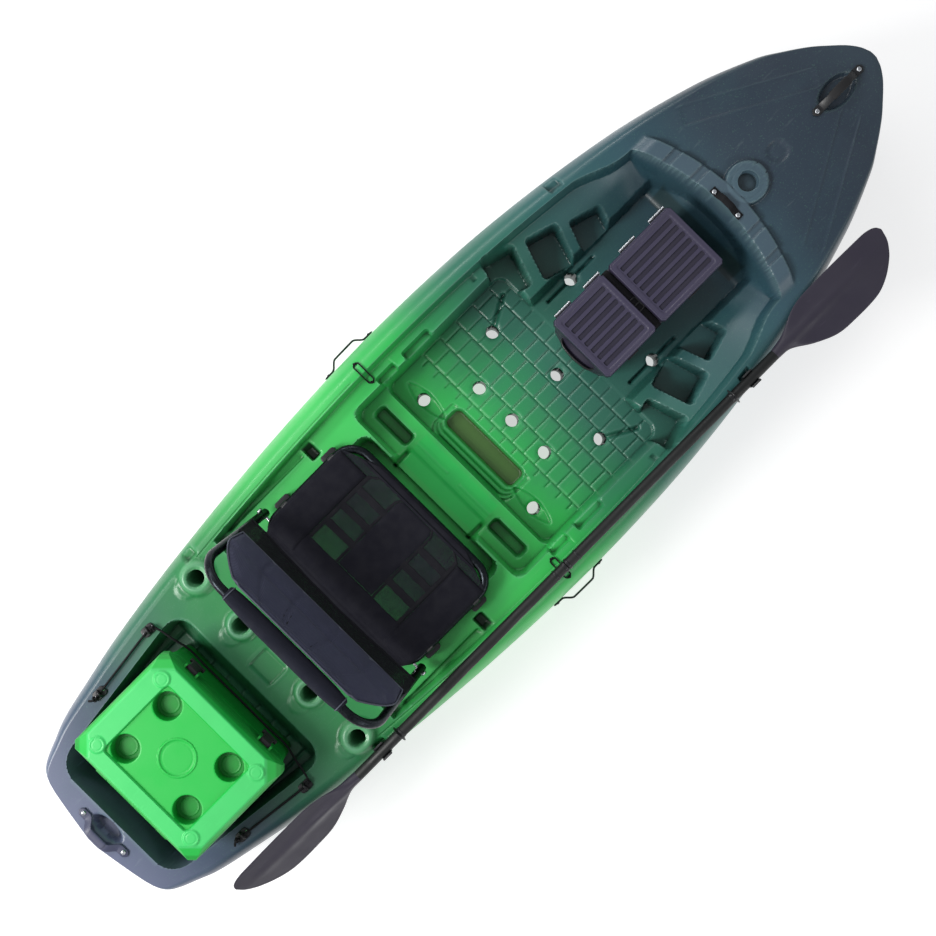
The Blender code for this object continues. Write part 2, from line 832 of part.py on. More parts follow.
def rod_holder_places():
    """Each rod holder as (offset, y, collar radius)."""
    return [(offset, side * spacing, collar) for offset, spacing, collar in ROD_HOLDERS for side in (1, -1)]


def clip_places():
    """Middle of each clip seat along X."""
    return (X_BASIN_AFT + CLIP_FORE_OFFSET, X_SEAT_AFT - CLIP_AFT_OFFSET)


def clip_seat_height(x):
    """Height of the flat floor of a clip seat."""
    return gunwale_height(x) - CLIP_SEAT_DROP


def clip_seat(x, side, grow):
    """Flat-bottomed recess in the gunwale for a paddle clip."""
    half_length = CLIP_LENGTH / 2 + CLIP_CLEARANCE + grow
    inner = abs(PADDLE_Y) - CLIP_WIDTH / 2 - CLIP_CLEARANCE - grow
    low, high = sorted((side * inner, side * (HALF_BEAM + WELL_LAP + grow)))
    corners = rectangle(x - half_length, x + half_length, low, high)
    return prism("clip_seat", corners, clip_seat_height(x) - grow, ABOVE_DECK)


def breakwater_edge(y):
    """X of the breakwater's edge on the basin's side."""
    return X_BASIN_FORE - BREAKWATER_BACK - BREAKWATER_SWEEP * (y / BREAKWATER_HALF) ** 2


def breakwater_top(x, y):
    """Height of the breakwater's flat top."""
    edge = breakwater_edge(y)
    share = (x - edge) / BREAKWATER_WIDTH
    aft, fore = deck_height(edge, y), deck_height(edge + BREAKWATER_WIDTH, y)
    return aft + (fore - aft) * share + BREAKWATER_HEIGHT


def breakwater():
    """Raised arch across the deck in front of the basin."""
    steps = 10
    rings = []
    for i in range(steps + 1):
        y = BREAKWATER_HALF * (2 * i / steps - 1)
        aft = breakwater_edge(y)
        fore = aft + BREAKWATER_WIDTH
        bevel = fore - BREAKWATER_BEVEL
        drop = BREAKWATER_HEIGHT * ramp(abs(y), BREAKWATER_HALF - BREAKWATER_TAPER, BREAKWATER_HALF) / 2
        rings.append([
            Vector((aft, y, deck_height(aft, y) - ROOT)),
            Vector((fore, y, deck_height(fore, y) - ROOT)),
            Vector((fore, y, deck_height(fore, y) + BREAKWATER_BACK)),
            Vector((bevel, y, breakwater_top(bevel, y) - drop)),
            Vector((aft, y, breakwater_top(aft, y) - drop)),
        ])
    return loft("breakwater", rings)


def boss_centre():
    """Centre of the accessory boss on the deck."""
    x = X_BASIN_FORE + BOSS_OFFSET
    return Vector((x, 0.0, deck_height(x, 0.0)))


def plug_frame():
    """Point on the hull's starboard quarter and the outward direction of the drain plug."""
    x = X_TRANSOM + PLUG_X
    outward = Vector((-0.70, -0.70, 0.12)).normalized()
    height = keel_height(x) + PLUG_HEIGHT * (gunwale_height(x) - keel_height(x))
    return Vector((x, -half_beam(x), height)), outward


def oval(name, x, y, half_x, half_y, low, high):
    """Upright oval prism."""
    outline = []
    for i in range(20):
        angle = 2 * math.pi * i / 20
        outline.append((x + half_x * math.cos(angle), y + half_y * math.sin(angle)))
    return prism(name, outline, low, high)


def finger_recesses(grow):
    """Oval hollows in the deck under the end handles."""
    bow_x = X_BASIN_FORE + BOW_HANDLE_START + BOW_HANDLE_LENGTH / 2
    stern_x = X_TRANSOM + STERN_RECESS_X
    recesses = []
    for x, length, width, depth in (
        (bow_x, BOW_RECESS_LENGTH, BOW_RECESS_WIDTH, BOW_RECESS_DEPTH),
        (stern_x, STERN_RECESS_LENGTH, STERN_RECESS_WIDTH, STERN_RECESS_DEPTH),
    ):
        floor = deck_height(x, 0) - depth - grow
        recesses.append(oval("recess", x, 0, length / 2 + grow, width / 2 + grow, floor, ABOVE_DECK))
    return recesses


def boss_bore(grow):
    """Round bore in the top of the accessory boss."""
    top = boss_centre() + Vector((0, 0, BOSS_HEIGHT))
    floor = top - Vector((0, 0, BOSS_BORE_DEPTH + grow))
    return rod("boss_bore", floor, top + Vector((0, 0, BOSS_BORE)), BOSS_BORE + grow, sides=20)


def plug_seat(grow):
    """Round recess that the drain plug's head sits in."""
    point, outward = plug_frame()
    floor = point - outward * (PLUG_SEAT_DEPTH + grow)
    radius = PLUG_RADIUS + PLUG_SEAT_CLEARANCE + grow
    return rod("plug_seat", floor, point + outward * WELL_LAP, radius)


def wells(grow):
    """Everything that is hollowed out of the deck; grow makes them larger by one wall."""
    cutters = [
        tank_well(grow), side_deck_well(grow), seat_well(grow), platform_well(grow), platform_pass(grow),
        tile_floor(grow), bow_basin(grow), cross_slot(grow), boss_bore(grow), plug_seat(grow),
    ]
    for side in (1, -1):
        cutters.append(side_pocket(side, grow))
        cutters += [heel_pocket(offset, spacing, side, grow) for offset, spacing in HEEL_POCKETS]
        cutters += [clip_seat(x, side, grow) for x in clip_places()]
    cutters += finger_recesses(grow)
    for x, y in scupper_places():
        cutters.append(rod("scupper", (x, y, -WELL_LAP), (x, y, ABOVE_DECK), SCUPPER_RADIUS + grow))
    for offset, y, _ in rod_holder_places():
        mouth, down = rod_holder_line(offset, y)
        start, end = mouth - down * WELL_LAP, mouth + down * (ROD_DEPTH + grow)
        cutters.append(rod("rod_bore", start, end, ROD_RADIUS + grow))
    return cutters


def raised_parts():
    """Everything that stands up from the deck: breakwater, boss and rod holder collars."""
    centre = boss_centre()
    low, high = centre - Vector((0, 0, ROOT)), centre + Vector((0, 0, BOSS_HEIGHT))
    parts = [breakwater(), rod("boss", low, high, BOSS_RADIUS, sides=24)]
    for offset, y, collar in rod_holder_places():
        mouth, down = rod_holder_line(offset, y)
        low, high = mouth + down * ROOT, mouth - down * COLLAR_HEIGHT
        parts.append(rod("collar", low, high, collar, ROD_RADIUS + COLLAR_LIP))
    return parts


def build_hull(material):
    """Double-skinned hull, hollow between the deck and the bottom."""
    hull = hull_body("hull")
    for part in raised_parts():
        hull = combine(hull, part, "UNION")
    for cutter in wells(0.0):
        hull = combine(hull, cutter)
    cavity = hull_body("cavity", WALL)
    for cutter in wells(WALL):
        cavity = combine(cavity, cutter)
    keep_largest(cavity)
    hull = combine(hull, cavity)
    point, outward = plug_frame()
    reach = outward * (PLUG_LENGTH + PLUG_SEAT_DEPTH)
    hull = combine(hull, rod("drain", point - reach, point + reach, PLUG_SHANK + FIT_GAP))
    for matrix in bow_screw_frames() + stern_screw_frames() + loop_screw_frames():
        hull = combine(hull, screw_clearance(matrix))
    repaint(hull, material)


def bore_radius(radius, sides):
    """Radius of a many-sided bore whose flats clear a round bar by one gap."""
    return (radius + GAP) / math.cos(math.pi / sides)


def deck_matrix(x, y, lift=GAP):
    """Frame on the deck at (x, y): Z along the deck's normal, X towards the bow."""
    step = ROOT
    inner = min(abs(y), gunwale_half(x) - step)
    ahead = deck_height(x + step, y) - deck_height(x - step, y)
    aside = deck_height(x, inner + step) - deck_height(x, inner - step)
    if y < 0:
        aside = -aside
    normal = Vector((-ahead, -aside, 2 * step)).normalized()
    side = normal.cross(Vector((1, 0, 0))).normalized()
    matrix = Matrix((side.cross(normal), side, normal)).transposed().to_4x4()
    matrix.translation = Vector((x, y, deck_height(x, y))) + normal * lift
    return matrix


def arch_points(rise, narrow, steps):
    """Points of an arch across Y: a half circle of the given rise, made narrower."""
    turns = [math.pi * i / steps for i in range(steps + 1)]
    return [Vector((0, rise * math.cos(turn) * narrow, rise * math.sin(turn))) for turn in turns]


def strap(name, points, width, thickness, across, material):
    """Flat strap along points; across is the direction of its width."""
    rings = []
    for i, point in enumerate(points):
        before = points[max(i - 1, 0)]
        after = points[min(i + 1, len(points) - 1)]
        along = (Vector(after) - Vector(before)).normalized()
        side = Vector(across).normalized()
        up = along.cross(side).normalized()
        a, b = side * width / 2, up * thickness / 2
        centre = Vector(point)
        rings.append([centre + a + b, centre - a + b, centre - a - b, centre + a - b])
    return loft(name, rings, material)


def build_screw(name, matrix, material):
    """Pan head screw whose head stands on the local XY plane."""
    rings = []
    sides = 12
    for radius, height in (
        (SCREW_SHANK, -SCREW_LENGTH), (SCREW_SHANK, 0.0), (SCREW_RADIUS, 0.0),
        (SCREW_RADIUS, SCREW_HEAD * 0.4), (SCREW_RADIUS * 0.55, SCREW_HEAD),
    ):
        turns = [2 * math.pi * i / sides for i in range(sides)]
        rings.append([matrix @ Vector((radius * math.cos(a), radius * math.sin(a), height)) for a in turns])
    return loft(name, rings, material)


def screw_clearance(matrix):
    """Bore that a screw's shank passes through, one gap wider all round."""
    low = matrix @ Vector((0, 0, -SCREW_LENGTH - GAP))
    high = matrix @ Vector((0, 0, SCREW_HEAD))
    return rod("screw_bore", low, high, bore_radius(SCREW_SHANK, SCREW_SIDES), sides=SCREW_SIDES)


def tank_half(x):
    """Half width of the tank well at x."""
    share = (x - X_TANK_AFT) / TANK_WELL
    return TANK_AFT_HALF + (TANK_FORE_HALF - TANK_AFT_HALF) * share


def eye_places():
    """Each tank well pad eye as (name, x, y)."""
    places = []
    for end, offset in (("fore", EYE_FORE_OFFSET), ("aft", EYE_AFT_OFFSET)):
        x = X_TANK_FORE - offset
        for side, label in ((1, "port"), (-1, "starboard")):
            places.append((f"pad_eye_{end}_{label}", x, side * (tank_half(x) + EYE_INSET)))
    return places


def build_pad_eyes(material):
    """Pad eyes on the tank well's rim: a base plate with an arch."""
    for name, x, y in eye_places():
        corners = rectangle(-EYE_LENGTH / 2, EYE_LENGTH / 2, -EYE_WIDTH / 2, EYE_WIDTH / 2)
        plate = prism(name, rounded(corners, EYE_CORNER, steps=3), 0.0, EYE_BASE, material)
        lift = Vector((0, 0, EYE_BASE * 0.8))
        arch = [point + lift for point in arch_points(EYE_RISE - EYE_BASE, EYE_NARROW, 10)]
        ring = bake(tube("arch", arch, EYE_RADIUS, resolution=1))
        eye = repaint(combine(plate, ring, "UNION"), material)
        eye.data.transform(deck_matrix(x, y))


def pad_stations(length, pad, steps):
    """Stations of a handle as (distance, share of its arch) with a flat pad at both ends."""
    arch = [(pad + (length - 2 * pad) * i / steps, i / steps) for i in range(steps + 1)]
    return [(0.0, 0.0)] + arch + [(length, 0.0)]


def build_bow_handle(material, screw_material):
    """Carry handle arched between two screwed pads over the bow's finger recess."""
    start = X_BASIN_FORE + BOW_HANDLE_START
    base = STRAP_THICKNESS / 2 + FIT_GAP
    grip = []
    for along, arch in pad_stations(BOW_HANDLE_LENGTH, STRAP_PAD, 10):
        x = start + along
        rise = BOW_HANDLE_RISE * math.sin(math.pi * arch) ** 0.8
        grip.append(Vector((x, 0.0, deck_height(x, 0.0) + base + rise)))
    handle = strap("bow_handle", grip, STRAP_WIDTH, STRAP_THICKNESS, (0, 1, 0), material)
    for label, matrix in zip(("aft", "fore"), bow_screw_frames()):
        build_screw(f"bow_handle_screw_{label}", matrix, screw_material)
        handle = combine(handle, screw_clearance(matrix))
    repaint(handle, material)


def bow_screw_frames():
    """Frames of the bow handle's screws."""
    start = X_BASIN_FORE + BOW_HANDLE_START
    pad = STRAP_PAD / 2
    lift = STRAP_THICKNESS + FIT_GAP + GAP
    return [deck_matrix(x, 0.0, lift=lift) for x in (start + pad, start + BOW_HANDLE_LENGTH - pad)]


def stern_screw_frames():
    """Frames of the stern handle's screws."""
    lift = STRAP_THICKNESS + FIT_GAP + GAP
    x = X_TRANSOM + STERN_HANDLE_X
    return [deck_matrix(x, side * STERN_HANDLE_HALF, lift=lift) for side in (1, -1)]


def loop_frame(y):
    """Frame on the breakwater's sloping top under the loop, at y."""
    x, step = X_BASIN_FORE + LOOP_X, PAST
    ahead = Vector((2 * step, 0, breakwater_top(x + step, y) - breakwater_top(x - step, y)))
    aside = Vector((0, 2 * step, breakwater_top(x, y + step) - breakwater_top(x, y - step)))
    normal = ahead.cross(aside).normalized()
    ahead.normalize()
    matrix = Matrix((ahead, normal.cross(ahead), normal)).transposed().to_4x4()
    matrix.translation = Vector((x, y, breakwater_top(x, y)))
    return matrix


def loop_screw_frames():
    """Frames of the breakwater loop's screws, flat on the webbing."""
    lift = Matrix.Translation((0, 0, LOOP_THICKNESS + FIT_GAP + GAP))
    return [loop_frame(side * LOOP_HALF) @ lift for side in (1, -1)]


def build_stern_handle(material, screw_material):
    """Carry handle across the stern, bowed aft of its finger recess."""
    x = X_TRANSOM + STERN_HANDLE_X
    reach = STERN_HANDLE_HALF + STRAP_PAD / 2
    points = []
    for along, arch in pad_stations(2 * reach, STRAP_PAD, 12):
        y = along - reach
        bow = ramp(min(arch, 1 - arch), 0.0, 0.25)
        px = x - STERN_HANDLE_REACH * bow
        z = deck_height(px, y) + STRAP_THICKNESS / 2 + FIT_GAP + STERN_HANDLE_RISE * bow
        points.append(Vector((px, y, z)))
    handle = strap("stern_handle", points, STRAP_WIDTH, STRAP_THICKNESS, (1, 0, 0), material)
    for label, matrix in zip(("port", "starboard"), stern_screw_frames()):
        build_screw(f"stern_handle_screw_{label}", matrix, screw_material)
        handle = combine(handle, screw_clearance(matrix))
    repaint(handle, material)


def build_breakwater_loop(material, screw_material):
    """Webbing loop screwed across the breakwater."""
    reach = LOOP_HALF + LOOP_PAD / 2
    points = []
    for along, arch in pad_stations(2 * reach, LOOP_PAD, 10):
        frame = loop_frame(along - reach)
        lift = LOOP_THICKNESS / 2 + FIT_GAP + LOOP_RISE * ramp(min(arch, 1 - arch), 0.0, 0.3)
        points.append(frame @ Vector((0, 0, lift)))
    across = loop_frame(0.0).col[0].to_3d()
    loop = strap("breakwater_loop", points, LOOP_WIDTH, LOOP_THICKNESS, across, material)
    for label, matrix in zip(("port", "starboard"), loop_screw_frames()):
        build_screw(f"loop_screw_{label}", matrix, screw_material)
        loop = combine(loop, screw_clearance(matrix))
    repaint(loop, material)


def build_side_handles(material):
    """Bowed carry handles on both sides, their pads flat on the hull's widest line."""
    start = X_FLOOR_AFT - SIDE_HANDLE_AFT
    end = X_FLOOR_AFT + SIDE_HANDLE_FORE
    for side, label in ((1, "port"), (-1, "starboard")):
        points = []
        for i in range(17):
            x = start + (end - start) * i / 16
            inner = (min(x - start, end - x) - SIDE_HANDLE_PAD) / 0.030
            bulge = SIDE_HANDLE_BULGE * ramp(inner, 0.0, 1.0)
            y = half_beam(x) + SIDE_HANDLE_THICKNESS / 2 + FIT_GAP + bulge
            points.append(Vector((x, side * y, WIDEST_HEIGHT * gunwale_height(x))))
        strap(f"side_handle_{label}", points, SIDE_HANDLE_WIDTH, SIDE_HANDLE_THICKNESS, (0, 0, 1), material)


def build_drain(plug_material, seal_material):
    """Threaded drain plug with its sealing ring."""
    point, outward = plug_frame()
    seal_low = point - outward * (PLUG_SEAT_DEPTH - GAP)
    seal_high = seal_low + outward * SEAL_THICKNESS
    ring = rod("drain_seal", seal_low, seal_high, PLUG_RADIUS - SEAL_THICKNESS, material=seal_material)
    bore = rod("bore", seal_low - outward * PAST, seal_high + outward * PAST, PLUG_SHANK + GAP)
    repaint(combine(ring, bore), seal_material)
    head = seal_high + outward * GAP
    top = head + outward * PLUG_HEAD
    plug = rod("drain_plug", head, top, PLUG_RADIUS, PLUG_RADIUS * 0.9, material=plug_material)
    shank = rod("shank", head - outward * PLUG_LENGTH, head + outward * PLUG_HEAD / 2, PLUG_SHANK)
    plug = combine(plug, shank, "UNION")
    grip_low, grip_high = top - outward * PLUG_HEAD / 2, top + outward * PLUG_GRIP
    grip = rod("grip", grip_low, grip_high, PLUG_RADIUS * 0.45, PLUG_RADIUS * 0.35, sides=6)
    repaint(combine(plug, grip, "UNION"), plug_material)


def bungee_route():
    """Points of the cord from the aft eyes through the fore eyes and across the box's front."""
    places = {name: Vector((x, y, deck_height(x, y) + EYE_BASE + BUNGEE_LIFT)) for name, x, y in eye_places()}
    aft, fore = places["pad_eye_aft_port"], places["pad_eye_fore_port"]
    taper = BOX_TAPER * (1 - (BUNGEE_Z - TANK_FLOOR_Z) / BOX_HEIGHT)
    front = box_front() - taper + BUNGEE_RADIUS + BUNGEE_CLEAR
    rim = DEPTH + STERN_RISE * 0.25
    half = [
        aft + Vector((-0.012, -0.0015, 0.0005)), aft, aft + Vector((0.016, 0.002, 0.0)),
        fore + Vector((-0.016, -0.002, 0.0)), fore + Vector((0.004, -0.0006, 0.0)),
        fore + Vector((0.020, -0.010, 0.001)),
        Vector((front + 0.002, BOX_HALF + 0.022, rim)),
        Vector((front + 0.003, BOX_HALF - 0.030, BUNGEE_Z + 0.012)),
        Vector((front, BOX_HALF - 0.090, BUNGEE_Z + 0.002)), Vector((front, 0.0, BUNGEE_Z)),
    ]
    mirrored = [Vector((p.x, -p.y, p.z)) for p in reversed(half[:-1])]
    return half + mirrored


def smooth_route(points, count):
    """Evenly many points on the smooth curve through the given points."""
    spans = [0.0]
    for a, b in zip(points, points[1:]):
        spans.append(spans[-1] + (b - a).length)
    axes = [[(s, p[k]) for s, p in zip(spans, points)] for k in range(3)]
    route = []
    for i in range(count):
        s = spans[-1] * i / (count - 1)
        route.append(Vector([smooth_through(axis, s) for axis in axes]))
    return route


def build_bungee(material):
    """Bungee cord that holds the cool box in the tank well, a knot at each end."""
    route = smooth_route(bungee_route(), 62)
    outward = (route[0] - route[1]).normalized()
    knots = ((0.0025, 1.9), (0.007, 2.2), (0.012, 2.2), (0.0165, 1.9), (0.019, 0.8))
    points, swells = list(route), [1.0] * len(route)
    for distance, swell in knots:
        rise = Vector((0, 0, KNOT_RISE))
        port = route[0] + outward * distance + rise
        points.insert(0, port)
        points.append(Vector((port.x, -port.y, port.z)))
        swells.insert(0, swell)
        swells.append(swell)
    obj = tube("tank_bungee", points, BUNGEE_RADIUS, material, resolution=2)
    for point, swell in zip(obj.data.splines[0].points, swells):
        point.radius = swell


def gunwale_loop_strand(x, side):
    """Line of one strand from the side deck over the gunwale to the shoulder."""
    clear = GUNWALE_LOOP_RADIUS + GUNWALE_LOOP_LIFT
    wall, edge, top = cockpit_half(x), gunwale_half(x), gunwale_height(x)
    widest = keel_height(x) + WIDEST_HEIGHT * (top - keel_height(x))

    def shoulder_z(out):
        share = out / shoulder_width(x)
        return widest + (top - widest) * math.sqrt(1 - share * share) + clear

    half, last = GUNWALE_LOOP_OUTER / 2, GUNWALE_LOOP_OUTER
    line = [
        (wall - GUNWALE_LOOP_INNER, SIDE_DECK_Z + GUNWALE_LOOP_KNOT * GUNWALE_LOOP_RADIUS + GAP),
        (wall - 3 * clear, SIDE_DECK_Z + 1.5 * clear),
        (wall - 1.3 * clear, (SIDE_DECK_Z + top) / 2), (wall - clear, top + clear / 2),
        (wall + clear / 2, top + 1.1 * clear), (edge, top + clear),
        (edge + half, shoulder_z(half)), (edge + last, shoulder_z(last)),
    ]
    return [Vector((x, side * y, z)) for y, z in line]


def build_gunwale_loops(material):
    """Shock cord loops over both gunwales, knotted at their two ends."""
    x = X_FLOOR_AFT - GUNWALE_LOOP_OFFSET
    for side, label in ((1, "port"), (-1, "starboard")):
        line = smooth_route(gunwale_loop_strand(x, side), 18)
        spread = [GUNWALE_LOOP_HALF] * len(line)
        spread[0] = spread[-1] = GUNWALE_LOOP_END
        aft = [point - Vector((out, 0, 0)) for point, out in zip(line, spread)]
        fore = [point + Vector((out, 0, 0)) for point, out in zip(line, spread)]
        points = aft + fore[::-1]
        obj = tube(f"gunwale_loop_{label}", points, GUNWALE_LOOP_RADIUS, material, closed=True, resolution=1)
        for end in (0, len(aft) - 1, len(aft), -1):
            obj.data.splines[0].points[end].radius = GUNWALE_LOOP_KNOT


def paddle_axis(x):
    """Point on the paddle's axis."""
    return Vector((x, PADDLE_Y, DEPTH + PADDLE_CLEAR + SHAFT_RADIUS))


def paddle_middle():
    """Where the two half shafts meet."""
    return X_FLOOR_AFT + PADDLE_OFFSET


def build_shaft(name, direction, material):
    """Half of the paddle's tubular shaft, from the middle joint to its blade."""
    start = paddle_middle() + direction * GAP / 2
    end = paddle_middle() + direction * SHAFT_HALF
    shaft = rod(name, paddle_axis(start), paddle_axis(end), SHAFT_RADIUS, sides=20)
    low, high = paddle_axis(start - direction * PAST), paddle_axis(end + direction * PAST)
    repaint(combine(shaft, rod("bore", low, high, SHAFT_RADIUS - SHAFT_WALL, sides=20)), material)


def build_ferrule(material):
    """Sleeve inside the shaft's middle joint."""
    low = paddle_axis(paddle_middle() - FERRULE_LENGTH / 2)
    high = paddle_axis(paddle_middle() + FERRULE_LENGTH / 2)
    rod("paddle_ferrule", low, high, SHAFT_RADIUS - SHAFT_WALL - GAP, sides=20, material=material)


def blade_offset(share, turn):
    """Offset of a blade's skin from the paddle's axis, at a share of the blade's length."""
    inner = BLADE_INBOARD * smooth_through(BLADE_INNER_EDGE, share)
    outer = BLADE_OUTBOARD * smooth_through(BLADE_OUTER_EDGE, share)
    flat = ramp(share, 0.0, 0.30)
    half_thick = SHAFT_RADIUS + (BLADE_THICKNESS / 2 - SHAFT_RADIUS) * flat
    y = (inner - outer) / 2 + (inner + outer) / 2 * math.cos(turn)
    spine = BLADE_SPINE * flat * (1 - share) * math.exp(-((y / BLADE_SPINE_WIDTH) ** 2))
    return Vector((0, y, (half_thick + spine) * math.sin(turn)))


def build_blade(name, direction, material):
    """Asymmetric blade with a spine and a spigot inside the shaft's end, the aft one feathered."""
    root = paddle_middle() + direction * (SHAFT_HALF + GAP)
    spigot = SHAFT_RADIUS - SHAFT_WALL - GAP
    turns = [2 * math.pi * i / BLADE_SIDES for i in range(BLADE_SIDES)]
    feather = Matrix.Rotation(BLADE_FEATHER if direction < 0 else 0.0, 3, "X")
    rings = []
    for along in (-BLADE_SPIGOT, 0.0):
        centre = paddle_axis(root + direction * along)
        offsets = [Vector((0, spigot * math.cos(a), spigot * math.sin(a))) for a in turns]
        rings.append([centre + feather @ offset for offset in offsets])
    for step in range(BLADE_STEPS + 1):
        share = step / BLADE_STEPS
        centre = paddle_axis(root + direction * BLADE_LENGTH * share)
        rings.append([centre + feather @ blade_offset(share, a) for a in turns])
    loft(name, rings, material)


def build_clip(name, x, material):
    """Open-topped clip that cradles the paddle shaft in its seat on the gunwale."""
    centre = paddle_axis(x)
    low = clip_seat_height(x) + GAP
    inner = bore_radius(SHAFT_RADIUS, 16)
    half = CLIP_WIDTH / 2
    high = centre.z + CLIP_ARM
    foot = half - CLIP_FLARE
    arm = [(half, centre.z - inner), (half, high), (half + CLIP_HORN, high + CLIP_HORN_RISE), (inner, high)]
    section = [(-foot, low), (foot, low)] + arm
    for step in range(9):
        angle = -math.pi * step / 8
        section.append((inner * math.cos(angle), centre.z + inner * math.sin(angle)))
    section += [(-y, z) for y, z in reversed(arm)]
    rings = [[(x + dx, centre.y + y, z) for y, z in section] for dx in (-CLIP_LENGTH / 2, CLIP_LENGTH / 2)]
    loft(name, rings, material)


def seat_front():
    """X of the base frame's front tube."""
    return X_SEAT_FORE - SEAT_FORE_X


def pivot_point(side):
    """Point on the backrest's pivot axis."""
    return Vector((seat_front() - SEAT_DEPTH + PIVOT_FROM_REAR, side * BACK_HALF, SEAT_TUBE_Z))


def back_point(along, y, out):
    """Point on the backrest: along it from the pivot, across, and out of its front."""
    up = Vector((-math.sin(BACK_LEAN), 0, math.cos(BACK_LEAN)))
    front = Vector((math.cos(BACK_LEAN), 0, math.sin(BACK_LEAN)))
    origin = pivot_point(0)
    return Vector((origin.x, y, origin.z)) + up * along + front * out


def pivot_bore():
    """Bore of the backrest's pivot through both frames."""
    reach = Vector((0, BACK_HALF + 2 * TUBE_RADIUS, 0))
    centre = pivot_point(0)
    return rod("pivot_bore", centre - reach, centre + reach, bore_radius(PIVOT_RADIUS, 12), sides=12)


def build_seat_frames(material):
    """Tube frames of the seat's base and backrest, bored for the pivot bolts."""
    rear = seat_front() - SEAT_DEPTH
    corners = rectangle(rear, seat_front(), -SEAT_HALF, SEAT_HALF)
    loop = [Vector((x, y, SEAT_TUBE_Z)) for x, y in rounded(corners, SEAT_CORNER, steps=5)]
    base = bake(tube("seat_base_frame", loop, TUBE_RADIUS, closed=True, resolution=4))
    repaint(combine(base, pivot_bore()), material)
    path = [(-BACK_TAIL, BACK_HALF)]
    for step in range(7):
        angle = math.radians(90 * step / 6)
        path.append((
            BACK_LENGTH - BACK_CORNER * (1 - math.sin(angle)),
            BACK_HALF - BACK_CORNER * (1 - math.cos(angle)),
        ))
    path += [(along, -y) for along, y in reversed(path)]
    hoop = [back_point(along, y, 0.0) for along, y in path]
    back = bake(tube("seat_back_frame", hoop, TUBE_RADIUS, resolution=4))
    repaint(combine(back, pivot_bore()), material)


def build_pivot_bolts(material):
    """Bolts that carry the backrest on the base frame."""
    turns = [2 * math.pi * i / 12 for i in range(12)]
    for side, label in ((1, "port"), (-1, "starboard")):
        centre = pivot_point(side)
        inner = centre - Vector((0, side * (BACK_HALF - SEAT_HALF + BOLT_INSIDE), 0))
        outer = centre + Vector((0, side * (TUBE_RADIUS + GAP), 0))
        top = outer + Vector((0, side * BOLT_HEAD, 0))
        rings = []
        for point, radius in (
            (inner, PIVOT_RADIUS), (outer, PIVOT_RADIUS),
            (outer, BOLT_HEAD_RADIUS), (top, BOLT_HEAD_RADIUS * 0.8),
        ):
            rings.append([point + radius * Vector((math.cos(a), 0, math.sin(a))) for a in turns])
        loft(f"seat_pivot_bolt_{label}", rings, material)


def build_seat_feet(material):
    """Feet between the base frame and the side decks."""
    top = SEAT_TUBE_Z - TUBE_RADIUS - GAP
    half_x, half_y = FOOT_LENGTH / 2, FOOT_WIDTH / 2
    for offset, end in ((FOOT_FORE, "fore"), (FOOT_AFT, "aft")):
        for side, label in ((1, "port"), (-1, "starboard")):
            x = seat_front() - offset
            y = side * (SEAT_HALF + FOOT_OUT)
            outline = rounded(rectangle(x - half_x, x + half_x, y - half_y, y + half_y), FOOT_CORNER, steps=2)
            prism(f"seat_foot_{end}_{label}", outline, SIDE_DECK_Z + GAP, top, material)


def sheet_solid(name, point, thick, columns, rows, material):
    """Thin closed solid: point(share along, across, offset) places its corners."""
    bm = bmesh.new()
    layers = []
    for side in (0, 1):
        grid = []
        for i in range(rows + 1):
            share = i / rows
            places = [2 * j / columns - 1 for j in range(columns + 1)]
            corners = [point(share, across, side * thick(share, across)) for across in places]
            grid.append([bm.verts.new(corner) for corner in corners])
        for low, high in zip(grid, grid[1:]):
            for j in range(columns):
                bm.faces.new((low[j], low[j + 1], high[j + 1], high[j]))
        layers.append(grid)
    border = [(0, j) for j in range(columns)] + [(i, columns) for i in range(rows)]
    border += [(rows, j) for j in range(columns, 0, -1)] + [(i, 0) for i in range(rows, 0, -1)]
    for (i0, j0), (i1, j1) in zip(border, border[1:] + border[:1]):
        bm.faces.new((layers[0][i0][j0], layers[0][i1][j1], layers[1][i1][j1], layers[1][i0][j0]))
    return solid(name, bm, material)


def build_sling(material):
    """Mesh sling over the base frame, cut off at its two front corners."""
    rest = SEAT_TUBE_Z + TUBE_RADIUS + GAP
    front, rear = seat_front() + SLING_LAP, seat_front() - SEAT_DEPTH - SLING_LAP
    tube_share = 1 - SLING_TUBE

    def point(share, across, offset):
        corner = SLING_CORNER * (1 - share * SLING_ROWS)
        waist = max(SLING_WAIST * (1 - math.sin(math.pi * share)) ** 4, corner)
        over_x = max(1 - ((2 * share - 1) / tube_share) ** 2, 0.0)
        over_y = max(1 - (across / tube_share) ** 2, 0.0)
        sag = SLING_SAG * (over_x * over_y) ** 2
        half = SEAT_HALF + SLING_LAP - waist
        return Vector((front + (rear - front) * share, across * half, rest - sag + offset))

    sheet_solid("seat_sling", point, lambda share, across: FABRIC, 10, SLING_ROWS, material)


def build_lumbar(material):
    """Mesh band across the lower backrest."""

    def point(share, across, offset):
        along = LUMBAR_LOW + (LUMBAR_HIGH - LUMBAR_LOW) * share
        out = TUBE_RADIUS + GAP - LUMBAR_DIP * (1 - across * across) ** 2 + offset
        return back_point(along, across * (BACK_HALF + SLING_LAP), out)

    sheet_solid("seat_lumbar", point, lambda share, across: FABRIC, 10, 3, material)


